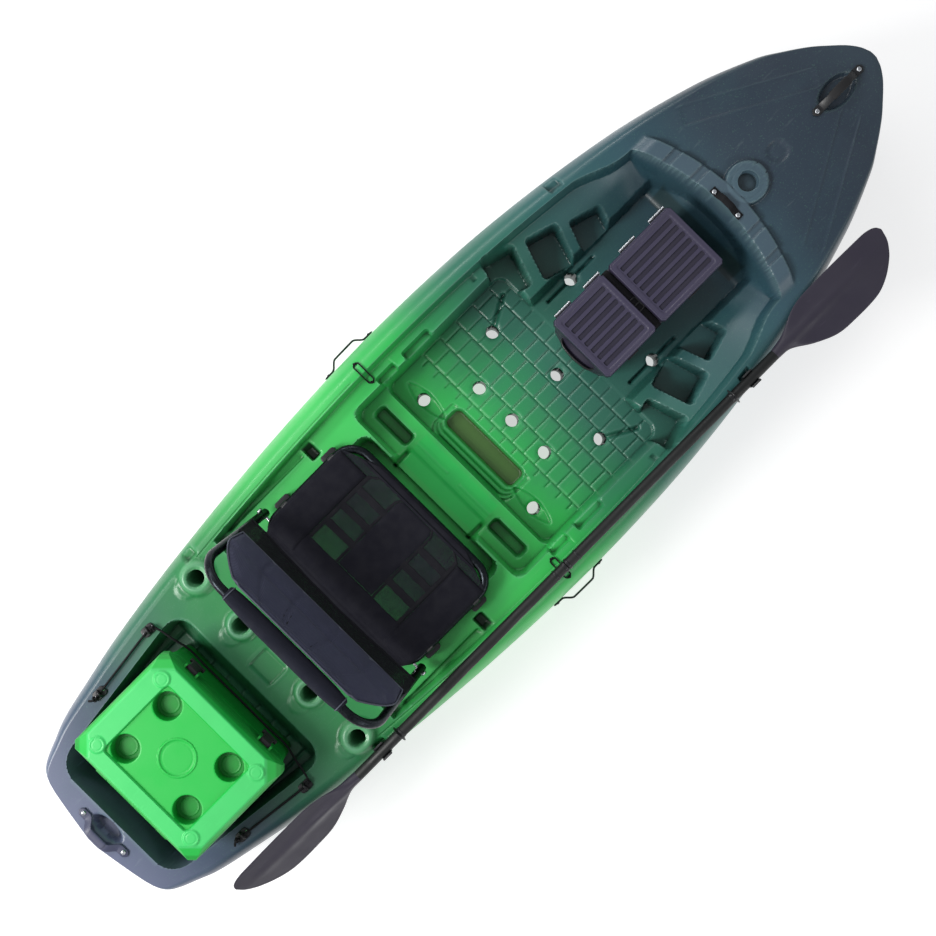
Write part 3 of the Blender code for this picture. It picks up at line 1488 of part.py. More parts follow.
def build_pad(material):
    """Padded panel on the upper backrest: crowned, cut off at its upper corners, with a channel across it."""

    def point(share, across, offset):
        corner = PAD_CORNER * max(0.0, share - PAD_DIAGONAL) / (1 - PAD_DIAGONAL)
        half = PAD_HALF - PAD_BOW * (1 - math.sin(math.pi * share)) - corner
        low = LUMBAR_HIGH + GAP
        return back_point(low + (PAD_HIGH - low) * share, across * half, TUBE_RADIUS + GAP + offset)

    def thick(share, across):
        crown = math.sin(math.pi * (0.06 + 0.88 * share)) ** 0.5 * (1 - across**6 * 0.75)
        channel = 1 - PAD_CHANNEL * math.exp(-(((share - 0.5) / 0.05) ** 2))
        return PAD_EDGE + (PAD_THICKNESS - PAD_EDGE) * crown * channel

    sheet_solid("seat_back_pad", point, thick, 12, 12, material)


def build_sleeve(material):
    """Soft sleeve round the backrest's top tube."""
    sides, stations = 14, 9
    rings = []
    for i in range(stations):
        across = 2 * i / (stations - 1) - 1
        swell = (1 - 0.28 * across**6) / 2
        ring = []
        for k in range(sides):
            angle = 2 * math.pi * k / sides
            along = BACK_LENGTH - SLEEVE_DROP + SLEEVE_HEIGHT * swell * math.cos(angle)
            ring.append(back_point(along, SLEEVE_HALF * across, SLEEVE_DEPTH * swell * math.sin(angle)))
        rings.append(ring)
    reach = SLEEVE_HALF + PAST
    start, end = back_point(BACK_LENGTH, -reach, 0), back_point(BACK_LENGTH, reach, 0)
    bore = rod("bore", start, end, bore_radius(TUBE_RADIUS, sides), sides=sides)
    repaint(combine(loft("seat_back_sleeve", rings), bore), material)


def box_front():
    """X of the cool box's front face at its rim."""
    return X_TANK_FORE - BOX_FORE_GAP


def box_corners(grow=0.0):
    """Corners of the cool box at its rim."""
    return rectangle(box_front() - BOX_LENGTH - grow, box_front() + grow, -BOX_HALF - grow, BOX_HALF + grow)


def box_rim_z():
    """Height of the cool box's rim."""
    return TANK_FLOOR_Z + GAP + BOX_HEIGHT


def box_hinge():
    """Point on the axis of the cool box's lid hinge."""
    return Vector((box_front() - BOX_LENGTH - BOX_HINGE_OUT, 0.0, box_rim_z() + BOX_HINGE_UP))


def block(name, x0, x1, y0, y1, z0, z1, material=None):
    """Upright block."""
    return prism(name, rectangle(x0, x1, y0, y1), z0, z1, material)


def knuckle(name, low, high):
    """Length of the cool box's hinge barrel between two places along Y."""
    hinge = box_hinge()
    return rod(name, hinge + Vector((0, low, 0)), hinge + Vector((0, high, 0)), KNUCKLE_RADIUS, sides=12)


def build_box_body(material):
    """Thick-walled body of the cool box with the fixed half of the lid hinge."""
    bottom = rounded(box_corners(-BOX_TAPER), BOX_CORNER - BOX_TAPER, steps=3)
    top = rounded(box_corners(), BOX_CORNER, steps=3)
    inner = rounded(box_corners(-BOX_WALL), BOX_CORNER, steps=3)
    low, rim = TANK_FLOOR_Z + GAP, box_rim_z()
    levels = ((bottom, low), (top, rim), (inner, rim), (inner, low + BOX_WALL))
    body = loft("cooler_body", [[(x, y, z) for x, y in outline] for outline, z in levels])
    hinge = box_hinge()
    rear = box_front() - BOX_LENGTH
    half = KNUCKLE_HALF - KNUCKLE_RADIUS / 2
    web_x = hinge.x - KNUCKLE_RADIUS / 4
    web_low = hinge.z - 3 * KNUCKLE_RADIUS
    web = block("web", web_x, rear + BOX_TAPER, -half, half, web_low, hinge.z - GAP)
    body = combine(body, web, "UNION")
    body = combine(body, knuckle("barrel", -KNUCKLE_HALF, KNUCKLE_HALF), "UNION")
    body = combine(body, hinge_bore())
    for side in (1, -1):
        body = combine(body, keeper(side), "UNION")
    repaint(body, material)


def keeper(side):
    """Block on the body's front that a latch grips."""
    pin = latch_pin_point(side)
    half = LATCH_WIDTH / 2 - LATCH_BAR_END / 2
    face = pin.x - LATCH_THICKNESS / 2 - GAP
    root = box_front() - BOX_TAPER
    low = pin.z - LATCH_HEIGHT + KEEPER_RISE
    return block("keeper", root, face, pin.y - half, pin.y + half, low, low + KEEPER_HEIGHT)


def hinge_bore():
    """Bore of the lid hinge through all knuckles."""
    hinge = box_hinge()
    reach = Vector((0, BOX_HALF, 0))
    return rod("hinge_bore", hinge - reach, hinge + reach, bore_radius(HINGE_ROD_RADIUS, 12), sides=12)


def build_gasket(material):
    """Sealing ring on the cool box's rim."""
    inset = BOX_WALL * 0.35
    low, high = box_rim_z() + GAP, box_rim_z() + GAP + GASKET
    ring = prism("cooler_gasket", rounded(box_corners(-inset), BOX_CORNER, steps=3), low, high)
    inner = rounded(box_corners(-inset - 2 * GASKET), BOX_CORNER - GASKET, steps=3)
    repaint(combine(ring, prism("hole", inner, low - PAST, high + PAST)), material)


def latch_pin_point(side):
    """Point on the axis that a latch turns on."""
    x = box_front() + LID_LIP + LATCH_THICKNESS / 2 + LATCH_CLEARANCE
    return Vector((x, side * LATCH_Y, box_lid_z() + LATCH_RISE))


def box_lid_z():
    """Underside of the cool box's lid."""
    return box_rim_z() + GASKET + 2 * GAP


def chamfered(grow, chamfer):
    """Outline of the lid with chamfered corners."""
    x0, x1 = box_front() - BOX_LENGTH - grow, box_front() + grow
    y = BOX_HALF + grow
    c = chamfer
    return [
        (x0 + c, -y), (x1 - c, -y), (x1, -y + c), (x1, y - c),
        (x1 - c, y), (x0 + c, y), (x0, y - c), (x0, -y + c),
    ]


def lid_shell():
    """Chamfered slab of the lid with the plug below it."""
    z = box_lid_z()
    shoulder = chamfered(LID_LIP, LID_EDGE_CHAMFER + 0.004)
    outlines = (
        (chamfered(LID_LIP, LID_EDGE_CHAMFER), z), (shoulder, z + LID_HEIGHT * LID_SHOULDER),
        (chamfered(-LID_TOP_INSET, LID_TOP_CHAMFER), z + LID_HEIGHT),
    )
    lid = loft("cooler_lid", [[(x, y, height) for x, y in outline] for outline, height in outlines])
    plug = rounded(box_corners(-BOX_WALL - SLIDE_GAP), BOX_CORNER, steps=2)
    return combine(lid, prism("plug", plug, z - LID_PLUG, z + PAST), "UNION")


def lid_lugs(side):
    """Moving hinge knuckle and the latch's two ears on one side of the lid."""
    hinge, pin = box_hinge(), latch_pin_point(side)
    rear = box_front() - BOX_LENGTH - LID_LIP
    inner, outer = sorted((side * (KNUCKLE_HALF + GAP), side * (KNUCKLE_HALF + KNUCKLE_LENGTH)))
    web_top = box_lid_z() + 2 * KNUCKLE_RADIUS
    web_x = hinge.x - KNUCKLE_RADIUS / 3
    web = block("web", web_x, rear + LID_LIP, inner, outer, hinge.z + HINGE_ROD_RADIUS / 2, web_top)
    lugs = [web, knuckle("barrel", inner, outer)]
    for edge in (-1, 1):
        y = pin.y + edge * (LATCH_WIDTH / 2 + GAP)
        low, high = sorted((y, y + edge * EAR_WIDTH))
        bottom, top = pin.z - LATCH_THICKNESS * 0.6, pin.z + LATCH_THICKNESS * 0.8
        lugs.append(block("ear", box_front(), pin.x + LATCH_THICKNESS * 0.4, low, high, bottom, top))
    return lugs


def cup_holder(dx, side):
    """Round cutter of one cup holder in the lid's top."""
    floor_z = box_lid_z() + LID_HEIGHT - LID_STEP - CUP_DEPTH
    floor = Vector((lid_middle() + dx, side * CUP_SPREAD_Y, floor_z))
    slope = CUP_DRAFT / CUP_DEPTH
    reach = CUP_DEPTH + LID_HEIGHT
    mouth = floor + Vector((0, 0, reach))
    return rod("cup", floor, mouth, CUP_RADIUS - CUP_DRAFT, CUP_RADIUS - CUP_DRAFT + slope * reach, sides=20)


def lid_middle():
    """X of the lid's middle."""
    return box_front() - BOX_LENGTH / 2


def lid_top(lid):
    """Lid with its corner bumps, its recessed top, the cup holders and the round medallion."""
    top = box_lid_z() + LID_HEIGHT
    places = [(share, side) for share in (-1, 1) for side in (1, -1)]
    for share, side in places:
        base = Vector((lid_middle() + share * LID_BUMP_X, side * LID_BUMP_Y, top - LID_BUMP_HEIGHT))
        crown = base + Vector((0, 0, 2 * LID_BUMP_HEIGHT))
        bump = rod("bump", base, crown, LID_BUMP_RADIUS, LID_BUMP_RADIUS * 0.9, sides=12)
        lid = combine(lid, bump, "UNION")
    recess = rectangle(lid_middle() - LID_RECESS_X, lid_middle() + LID_RECESS_X, -LID_RECESS_Y, LID_RECESS_Y)
    lid = combine(lid, prism("recess", rounded(recess, LID_CORNER, steps=2), top - LID_STEP, top + PAST))
    for share, side in places:
        lid = combine(lid, cup_holder(share * CUP_SPREAD_X, side))
    floor = Vector((lid_middle(), 0, top - LID_STEP))
    base, crown = floor - Vector((0, 0, MEDALLION_RIM)), floor + Vector((0, 0, MEDALLION_HEIGHT))
    lid = combine(lid, rod("ring", base, crown, MEDALLION_RADIUS, sides=24), "UNION")
    base = floor + Vector((0, 0, MEDALLION_FLOOR))
    disc = rod("disc", base, base + Vector((0, 0, PAST)), MEDALLION_RADIUS - MEDALLION_RIM, sides=24)
    return combine(lid, disc)


def build_box_lid(material):
    """Lid of the cool box."""
    lid = lid_shell()
    hinge = box_hinge()
    for side in (1, -1):
        for lug in lid_lugs(side):
            lid = combine(lid, lug, "UNION")
        lid = combine(lid, latch_pin_rod("pin_bore", side, GAP))
    lid = combine(lid, hinge_bore())
    clear = KNUCKLE_RADIUS + 3 * GAP
    half = KNUCKLE_HALF + GAP
    z0, z1 = box_lid_z() - PAST, hinge.z + clear
    lid = combine(lid, block("notch", hinge.x - 5 * clear, hinge.x + clear, -half, half, z0, z1))
    repaint(lid_top(lid), material)


def latch_pin_rod(name, side, grow, material=None):
    """Pin across a latch's two ears, or with grow the bore that it runs in."""
    pin = latch_pin_point(side)
    length = LATCH_WIDTH / 2 + EAR_WIDTH + (PAST / 2 if grow else 0.0)
    reach = Vector((0, length, 0))
    return rod(name, pin - reach, pin + reach, LATCH_PIN_RADIUS + grow, sides=10, material=material)


def build_latches(material, pin_material):
    """T-handled latches that hang from the lid over the body's front."""
    half = LATCH_WIDTH / 2
    for side, label in ((1, "port"), (-1, "starboard")):
        pin = latch_pin_point(side)
        inner, outer = pin.x - LATCH_THICKNESS / 2, pin.x + LATCH_THICKNESS / 2
        low = pin.z - LATCH_HEIGHT
        name = f"cooler_latch_{label}"
        latch = block(name, inner, outer, pin.y - half, pin.y + half, low, pin.z + LATCH_TOP)
        centre = Vector((outer - LATCH_BAR_RADIUS * 0.6, pin.y, low + LATCH_BAR_RADIUS))
        reach = Vector((0, half + LATCH_BAR_END, 0))
        bar = rod("bar", centre - reach, centre + reach, LATCH_BAR_RADIUS, sides=10)
        latch = combine(combine(latch, bar, "UNION"), latch_pin_rod("bore", side, GAP))
        repaint(latch, material)
        latch_pin_rod(f"cooler_latch_pin_{label}", side, 0.0, pin_material)


def build_hinge_rod(material):
    """Rod of the cool box's lid hinge."""
    hinge = box_hinge()
    reach = Vector((0, KNUCKLE_HALF + KNUCKLE_LENGTH, 0))
    rod("cooler_hinge_rod", hinge - reach, hinge + reach, HINGE_ROD_RADIUS, sides=12, material=material)


def pod_aft():
    """X of the tackle box's aft end."""
    return X_BASIN_AFT + POD_OFFSET


def pod_floor_z():
    """Height of the tackle box's underside."""
    return FLOOR_Z + BASIN_STEP + GAP


def pod_rim_z():
    """Height of the tackle box's rim."""
    return pod_floor_z() + POD_HEIGHT


def build_pod_body(material):
    """Tackle box body with two compartments and a bowed aft end."""
    x0, x1 = pod_aft(), pod_aft() + POD_LENGTH
    inset = POD_CORNER
    half = POD_HALF - inset
    outline = [(x1, -half), (x1, half), (x1 - inset, POD_HALF), (x0 + inset, POD_HALF)]
    steps = 6
    for step in range(steps + 1):
        share = step / steps
        outline.append((x0 - POD_BOW * math.sin(math.pi * share), half * (1 - 2 * share)))
    outline += [(x0 + inset, -POD_HALF), (x1 - inset, -POD_HALF)]
    low = pod_floor_z()
    taper = [(x0 + (x - x0) * 0.985 + POD_WALL, y * POD_TAPER) for x, y in outline]
    shelf = [(max(x, x0 - (x0 - x) * 0.1), y) for x, y in outline]
    body = loft("pod_body", [
        [(x, y, low) for x, y in taper],
        [(x, y, low + POD_HEIGHT * POD_KNEE) for x, y in outline],
        [(x, y, pod_rim_z()) for x, y in shelf],
    ])
    split = x0 + POD_SPLIT
    half = POD_HALF * POD_TAPER - POD_WALL
    for a, b in ((x0 + 2 * POD_WALL, split - POD_WALL / 2), (split + POD_WALL / 2, x1 - POD_WALL)):
        room = rounded(rectangle(a, b, -half, half), POD_CORNER, steps=2)
        body = combine(body, prism("room", room, low + POD_WALL, pod_rim_z() + PAST))
    repaint(body, material)


def pod_lid_spans():
    """Each lid as (name, aft end, fore end)."""
    x0, split = pod_aft(), pod_aft() + POD_SPLIT
    return (
        ("pod_lid_aft", x0 - POD_LIP, split - POD_LID_GAP / 2),
        ("pod_lid_fore", split + POD_LID_GAP / 2, x0 + POD_LENGTH + POD_LIP),
    )


def build_pod_lids(material):
    """Ribbed lids of the tackle box, hollow below."""
    z = pod_rim_z() + GAP
    top = z + POD_LID
    half = POD_HALF + POD_LIP
    pitch = 2 * (half - POD_FRAME) / POD_RIBS
    for name, a, b in pod_lid_spans():
        corners = rectangle(a, b, -half, half)
        low = rounded(corners, 2 * POD_LIP, steps=2)
        high = rounded(corners, 2 * POD_LIP - POD_CORNER / 4, -POD_CORNER / 2, steps=2)
        levels = ((low, z), (low, z + POD_LID * 0.7), (high, top))
        lid = loft(name, [[(x, y, height) for x, y in outline] for outline, height in levels])
        inside = rounded(corners, POD_CORNER, -POD_LID_WALL, steps=1)
        lid = combine(lid, prism("inside", inside, z - PAST, top - POD_GROOVE - POD_LID_WALL))
        for i in range(POD_RIBS):
            y = -half + POD_FRAME + pitch * (i + 0.5)
            spread = (a + POD_FRAME, b - POD_FRAME, y - pitch * 0.28, y + pitch * 0.28)
            lid = combine(lid, block("groove", *spread, top - POD_GROOVE, top + PAST))
        repaint(lid, material)


def pod_hinge_line():
    """Height and half width of the tackle box's hinge axis."""
    return pod_rim_z() + POD_HINGE_UP, POD_HALF + POD_LIP + POD_HINGE_RADIUS + POD_HINGE_OUT


def pod_hinge_places():
    """Middle of each hinge along X."""
    shares = ((0.26, 0.84), (0.36, 0.84))
    return [a + (b - a) * share for (_, a, b), pair in zip(pod_lid_spans(), shares) for share in pair]


def build_pod_hinges(material):
    """Metal hinge barrels with their leaves along the port side of the tackle box."""
    z, y = pod_hinge_line()
    half = POD_HINGE_LENGTH / 2
    face = POD_HALF + GAP
    leaf_top = z - POD_HINGE_RADIUS * 0.6
    for number, x in enumerate(pod_hinge_places(), 1):
        barrel = rod(f"pod_hinge_{number}", (x - half, y, z), (x + half, y, z), POD_HINGE_RADIUS, sides=10)
        ends = x - half + POD_LEAF, x + half - POD_LEAF
        leaf = block("leaf", *ends, face, face + POD_LEAF, leaf_top - POD_LEAF_HEIGHT, leaf_top)
        bridge = block("bridge", *ends, face, y, leaf_top - POD_LEAF, leaf_top)
        repaint(combine(combine(barrel, leaf, "UNION"), bridge, "UNION"), material)


def build_pod_strap(material):
    """Strap over the bridge between the lids, its ends on the tackle box's sides."""
    rim = pod_rim_z()
    offset = POD_STRAP / 2 + FIT_GAP
    half = POD_HALF + offset
    low, knee = pod_floor_z() + POD_STRAP_END, pod_floor_z() + POD_HEIGHT * POD_KNEE
    foot = POD_HALF * (POD_TAPER + (1 - POD_TAPER) * POD_STRAP_END / (POD_HEIGHT * POD_KNEE)) + offset
    side = [(foot, low), (half, knee), (half, rim + offset)]
    path = side + [(half * share, rim + offset) for share in (0.5, 0.0, -0.5)]
    path += [(-y, z) for y, z in reversed(side)]
    x = pod_aft() + POD_SPLIT
    points = [Vector((x, y, z)) for y, z in path]
    strap("pod_strap", points, POD_STRAP_WIDTH, POD_STRAP, (1, 0, 0), material)


def build_all():
    """Model every piece."""
    clear_scene()
    hull_plastic = finish("hull_plastic", (0.07, 0.42, 0.16), 0.42)
    box_green = finish("cool_box_plastic", (0.05, 0.62, 0.14), 0.45)
    black_plastic = finish("black_plastic", (0.02, 0.02, 0.024), 0.5)
    pod_plastic = finish("tackle_box_plastic", (0.035, 0.03, 0.04), 0.5)
    rubber = finish("rubber", (0.015, 0.015, 0.016), 0.8)
    steel = finish("steel", (0.62, 0.62, 0.64), 0.3, 1.0)
    frame_tube = finish("frame_tube", (0.03, 0.03, 0.035), 0.35, 0.6)
    fabric = finish("mesh_fabric", (0.02, 0.02, 0.025), 0.9)
    pad_fabric = finish("pad_fabric", (0.045, 0.04, 0.06), 0.85)
    cord = finish("cord", (0.01, 0.01, 0.012), 0.8)
    paddle_plastic = finish("paddle_plastic", (0.055, 0.04, 0.05), 0.5)
    build_hull(hull_plastic)
    build_drain(black_plastic, rubber)
    build_bow_handle(black_plastic, steel)
    build_stern_handle(black_plastic, steel)
    build_side_handles(black_plastic)
    build_breakwater_loop(cord, steel)
    build_pad_eyes(black_plastic)
    build_bungee(cord)
    build_gunwale_loops(cord)
    build_shaft("paddle_shaft_fore", 1, paddle_plastic)
    build_shaft("paddle_shaft_aft", -1, paddle_plastic)
    build_ferrule(black_plastic)
    build_blade("paddle_blade_fore", 1, paddle_plastic)
    build_blade("paddle_blade_aft", -1, paddle_plastic)
    for name, x in zip(("paddle_clip_fore", "paddle_clip_aft"), clip_places()):
        build_clip(name, x, rubber)
    build_seat_frames(frame_tube)
    build_pivot_bolts(steel)
    build_seat_feet(black_plastic)
    build_sling(fabric)
    build_lumbar(fabric)
    build_pad(pad_fabric)
    build_sleeve(pad_fabric)
    build_box_body(box_green)
    build_gasket(rubber)
    build_box_lid(box_green)
    build_latches(rubber, steel)
    build_hinge_rod(steel)
    build_pod_body(pod_plastic)
    build_pod_lids(pod_plastic)
    build_pod_hinges(steel)
    build_pod_strap(cord)


build_all()
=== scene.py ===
import math

import bmesh
import bpy
import numpy as np
from mathutils import Matrix, Vector


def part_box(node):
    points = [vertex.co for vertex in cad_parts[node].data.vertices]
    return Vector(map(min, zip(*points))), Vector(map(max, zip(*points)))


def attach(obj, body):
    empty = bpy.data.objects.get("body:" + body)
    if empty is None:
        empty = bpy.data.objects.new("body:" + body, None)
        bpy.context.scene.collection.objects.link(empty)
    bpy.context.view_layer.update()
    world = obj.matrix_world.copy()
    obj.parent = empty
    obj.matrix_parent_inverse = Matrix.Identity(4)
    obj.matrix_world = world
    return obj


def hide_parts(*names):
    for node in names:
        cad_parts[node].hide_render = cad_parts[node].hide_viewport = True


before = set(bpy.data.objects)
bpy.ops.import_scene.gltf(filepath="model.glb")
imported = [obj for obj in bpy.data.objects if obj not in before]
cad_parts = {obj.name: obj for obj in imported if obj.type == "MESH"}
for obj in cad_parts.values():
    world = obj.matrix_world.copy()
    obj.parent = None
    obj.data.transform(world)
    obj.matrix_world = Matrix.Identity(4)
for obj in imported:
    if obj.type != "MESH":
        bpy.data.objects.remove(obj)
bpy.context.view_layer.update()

# The hull's length and beam; its rounded ends stop short of the mould's length
LENGTH = 3.05
HALF_BEAM = 0.450
X_TRANSOM = -LENGTH / 2
STERN_END = X_TRANSOM + 0.010
BOW_END = LENGTH / 2 - 0.0405

# Camera, from the photograph's perspective
CAMERA_PLACE = (-0.0725, -0.007, 4.04)
CAMERA_TURN = math.radians(-45.3)
FOCAL = 52.03

# Hull zones along X
X_TANK_AFT = -1.429
X_TANK_FORE = -0.909
X_SEAT_AFT = -0.700
X_SEAT_FORE = -0.205
X_FLOOR_AFT = -0.075
X_BASIN_AFT = 0.350
X_BASIN_FORE = 0.914
BOW_BASIN = X_BASIN_FORE - X_BASIN_AFT

# Hull section
DEPTH = 0.340
SHOULDER = 0.060
LIP = 0.012
BOW_RISE = 0.070
STERN_RISE = 0.025
BOW_KEEL_RISE = 0.200
STERN_KEEL_RISE = 0.080
BOW_CROWN = 0.022
TUNNEL_DEPTH = 0.022
WIDEST_HEIGHT = 0.74
CHINE_START = 0.66

# Bottom from the chine to the keel: share of the half beam, share of the tunnel's depth
TUNNEL_SECTION = (
    (0.58, 0), (0.50, 0), (0.47, 0.35), (0.42, 1), (0.31, 1), (0.20, 1), (0.165, 0.5), (0.13, 0), (0.06, 0),
)

# Half beam along the hull: share of the length from the transom, share of the half beam
OUTLINE = (
    (0.0033, 0.03), (0.0056, 0.135), (0.0092, 0.302), (0.0128, 0.442), (0.0163, 0.513), (0.0199, 0.548),
    (0.0234, 0.566), (0.0306, 0.592), (0.0377, 0.612), (0.0591, 0.672), (0.0948, 0.729), (0.146, 0.80),
    (0.236, 0.886), (0.371, 0.970), (0.505, 1.0), (0.639, 0.957),
    (0.774, 0.823), (0.864, 0.657), (0.917, 0.500), (0.934, 0.422), (0.953, 0.322), (0.9657, 0.237),
    (0.9763, 0.1585), (0.9816, 0.106), (0.9842, 0.071), (0.9867, 0.02),
)

# The two sides of the boat, with the sign that Y has there
SIDES = ((1, "port"), (-1, "starboard"))

# Where the drain plug's axis meets the hull, on the starboard quarter
PLUG_X = X_TRANSOM + 0.040
PLUG_Y = -0.1965

# Deck levels
SIDE_DECK_Z = 0.300
FLOOR_Z = 0.150
PLATFORM_Z = 0.205
SEAT_FLOOR_Z = 0.175
TANK_FLOOR_Z = 0.200
SHELF_INNER_Z = 0.225
SHELF_OUTER_Z = 0.285
POCKET_Z = 0.165

# Wells
TANK_FORE_HALF = 0.282
TANK_AFT_HALF = 0.215
SEAT_WELL_HALF = 0.262
FLOOR_HALF = 0.325
CHANNEL_HALF = 0.190
SIDE_POCKET_INNER = 0.162
SIDE_POCKET_OUTER = 0.290
SIDE_POCKET_AFT = X_SEAT_FORE + 0.050
SIDE_POCKET_LENGTH = 0.040
SLOT_PLACE = (0.002, 0.0)
SLOT_REACH = 0.033
SLOT_CORNER = 0.022
SLOT_HALF = 0.138
SLOT_DEPTH = 0.030
HEEL_POCKETS = ((0.390, 0.300), (0.522, 0.255), (0.648, 0.205))
POCKET_LENGTH = 0.100
POCKET_WIDTH = 0.120
POCKET_TURN = math.radians(16)

# Deck fittings
SCUPPER_RADIUS = 0.0195
SCUPPERS = (
    (-0.022, 0.223), (0.115, 0.0), (0.115, 0.132), (0.2555, 0.2185), (0.300, 0.0), (0.523, 0.165),
)
ROD_HOLDERS = ((-0.805, 0.309, 0.050), (-0.810, 0.131, 0.044))
ROD_RADIUS = 0.0235
ROD_DEPTH = 0.200
ROD_TILT = math.radians(14)
COLLAR_HEIGHT = 0.012
BREAKWATER_HALF = 0.284
BREAKWATER_SWEEP = 0.060
BREAKWATER_WIDTH = 0.062
BREAKWATER_HEIGHT = 0.018
BREAKWATER_BACK = 0.004
NOTCHES = ((0.107, 0.012), (0.193, 0.011))
BOSS_X = 1.006
BOSS_RADIUS = 0.058
BOSS_BORE = 0.026
BOSS_BORE_DEPTH = 0.022
BOSS_HEIGHT = 0.014
BOSS_RING = 0.016
BOW_SCOOP = (1.344, (0.060, 0.036))
STERN_SCOOP = (X_TRANSOM + 0.066, (0.021, 0.050))
SCOOP_EDGES = (0.002, -0.006)
SIDE_SLOTS = ((-0.045, 0.033), (0.071, 0.049))
SIDE_SLOT_Y, SIDE_SLOT_HALF, SIDE_SLOT_CORNER = 0.331, 0.016, 0.006
SIDE_SLOT_FLOOR = 0.262
HATCH = ((-0.842, 0.0), (0.033, 0.041), 0.008)
HATCH_FLOOR = 0.3415
BOW_SCOOP_DEPTH, STERN_SCOOP_DEPTH = 0.024, 0.030
BREAKWATER_NECK = ((0.965, 0.0), (0.040, 0.050), 0.010)
BOW_DISC = ((1.120, 0.0), 0.029)
BOW_PANEL = ((1.170, 0.160), (0.186, 0.027), 0.006, -math.atan2(0.192, 0.328))
SEAT_CHANNEL = ((-0.515, 0.3445), (0.147, 0.0075), 0.006)
SEAT_NOTCH = ((-0.345, 0.334), (0.014, 0.022), 0.005)
DECK_STUD = ((0.310, 0.352), 0.009)
GUNWALE_LINE = (-0.445, 0.312)
PLATFORM_RIB = ((-0.123, 0.085), (0.003, 0.062), 0.003)
PLATFORM_TROUGH = ((-0.186, 0.147), (0.028, 0.007), 0.005)
TANK_RIB_PITCH = 0.060
SIDE_POCKET_FLOOR = 0.155
CLIP_SEATS = (0.640, -0.779)
CLIP_SEAT_DROP = 0.026
PADDLE_Y = -0.382

# A moulded wall starts this far outside its outline and ends this far inside it
WALL_OUT, WALL_IN = 0.003, 0.007

# Grooves that drain to the scuppers on either side: start, end, half width
DRAIN_GROOVES = (
    ((0.2555, 0.2185), (0.352, 0.272), 0.010), ((0.523, 0.165), (0.523, 0.205), 0.010),
    ((0.523, 0.165), (0.430, 0.165), 0.007), ((0.523, 0.165), (0.610, 0.165), 0.007),
)
DRAIN_DEPTH = 0.012

# Tiles of the footwell floor
TILE_ROWS = (-0.062, 0.002, 0.069, 0.136, 0.203, 0.270, 0.337)
TILE_PITCH = 0.045
TILE_LOW, TILE_HIGH = 0.0013, 0.0031
TILE_GROOVE = 0.0026


def curve(points, x):
    """Values at x of the smooth curve through a list of (x, value) points."""
    xs, ys = np.array(points).T
    x = np.asarray(x, float)
    slopes = np.empty_like(ys)
    slopes[1:-1] = (ys[2:] - ys[:-2]) / (xs[2:] - xs[:-2])
    slopes[0] = (ys[1] - ys[0]) / (xs[1] - xs[0])
    slopes[-1] = (ys[-1] - ys[-2]) / (xs[-1] - xs[-2])
    i = np.clip(np.searchsorted(xs, x) - 1, 0, len(xs) - 2)
    span = xs[i + 1] - xs[i]
    t = np.clip((x - xs[i]) / span, 0, 1)
    return (
        (2 * t**3 - 3 * t**2 + 1) * ys[i]
        + (t**3 - 2 * t**2 + t) * span * slopes[i]
        + (3 * t**2 - 2 * t**3) * ys[i + 1]
        + (t**3 - t**2) * span * slopes[i + 1]
    )


def ramp(x, low, high):
    """0 below low, 1 above high and a smooth step between them."""
    t = np.clip((np.asarray(x, float) - low) / (high - low), 0, 1)
    return t * t * (3 - 2 * t)


def half_beam(x):
    """Half width of the hull at its widest height."""
    return HALF_BEAM * curve(OUTLINE, (x - X_TRANSOM) / LENGTH)


def shoulder_width(x):
    """How far the rounded shoulder reaches in from the widest line."""
    return SHOULDER * (half_beam(x) / HALF_BEAM) ** 1.5


def gunwale_half(x):
    """Half width of the deck, where the shoulder starts."""
    return half_beam(x) - shoulder_width(x)


def cockpit_half(x):
    """Half width of the open cockpit."""
    return gunwale_half(x) - LIP


def gunwale_height(x):
    """Height of the gunwale, which sweeps up to both ends."""
    reach = np.asarray(x, float) / (LENGTH / 2)
    return DEPTH + np.where(reach > 0, BOW_RISE, STERN_RISE) * reach * reach


def keel_height(x):
    """Height of the keel, flat over the middle and rising to both ends."""
    share = (np.asarray(x, float) - X_TRANSOM) / LENGTH
    bow = np.maximum(share - 0.80, 0.0) / 0.20
    stern = np.maximum(0.12 - share, 0.0) / 0.12
    return BOW_KEEL_RISE * bow**2.2 + STERN_KEEL_RISE * stern**2


def tunnel_height(x):
    """Depth of the two tunnels between the keel and the side runners."""
    share = (np.asarray(x, float) - X_TRANSOM) / LENGTH
    return TUNNEL_DEPTH * ramp(share, 0.03, 0.18) * (1 - ramp(share, 0.72, 0.95))


def deck_crown(x):
    """How far the deck's middle stands above the gunwale."""
    narrow = np.minimum(1.0, gunwale_half(x) / 0.2)
    return BOW_CROWN * ramp(x, X_BASIN_FORE - 0.05, X_BASIN_FORE + 0.25) * narrow


def deck_height(x, y):
    """Height of the plain deck."""
    return gunwale_height(x) + deck_crown(x) * (1 - (y / gunwale_half(x)) ** 2)


def box_distance(x, y, centre, half, radius, turn=0.0):
    """Signed distance to a rounded rectangle, negative inside it."""
    dx, dy = x - centre[0], y - centre[1]
    c, s = math.cos(turn), math.sin(turn)
    qx = np.abs(c * dx + s * dy) - half[0] + radius
    qy = np.abs(c * dy - s * dx) - half[1] + radius
    outside = np.hypot(np.maximum(qx, 0), np.maximum(qy, 0))
    return outside + np.minimum(np.maximum(qx, qy), 0) - radius


def span_distance(x, y, low, high, half, radius):
    """Signed distance to a rounded shape between two places along X, half(x) wide."""
    qx = np.abs(x - (low + high) / 2) - (high - low) / 2 + radius
    qy = np.abs(y) - half + radius
    outside = np.hypot(np.maximum(qx, 0), np.maximum(qy, 0))
    return outside + np.minimum(np.maximum(qx, qy), 0) - radius


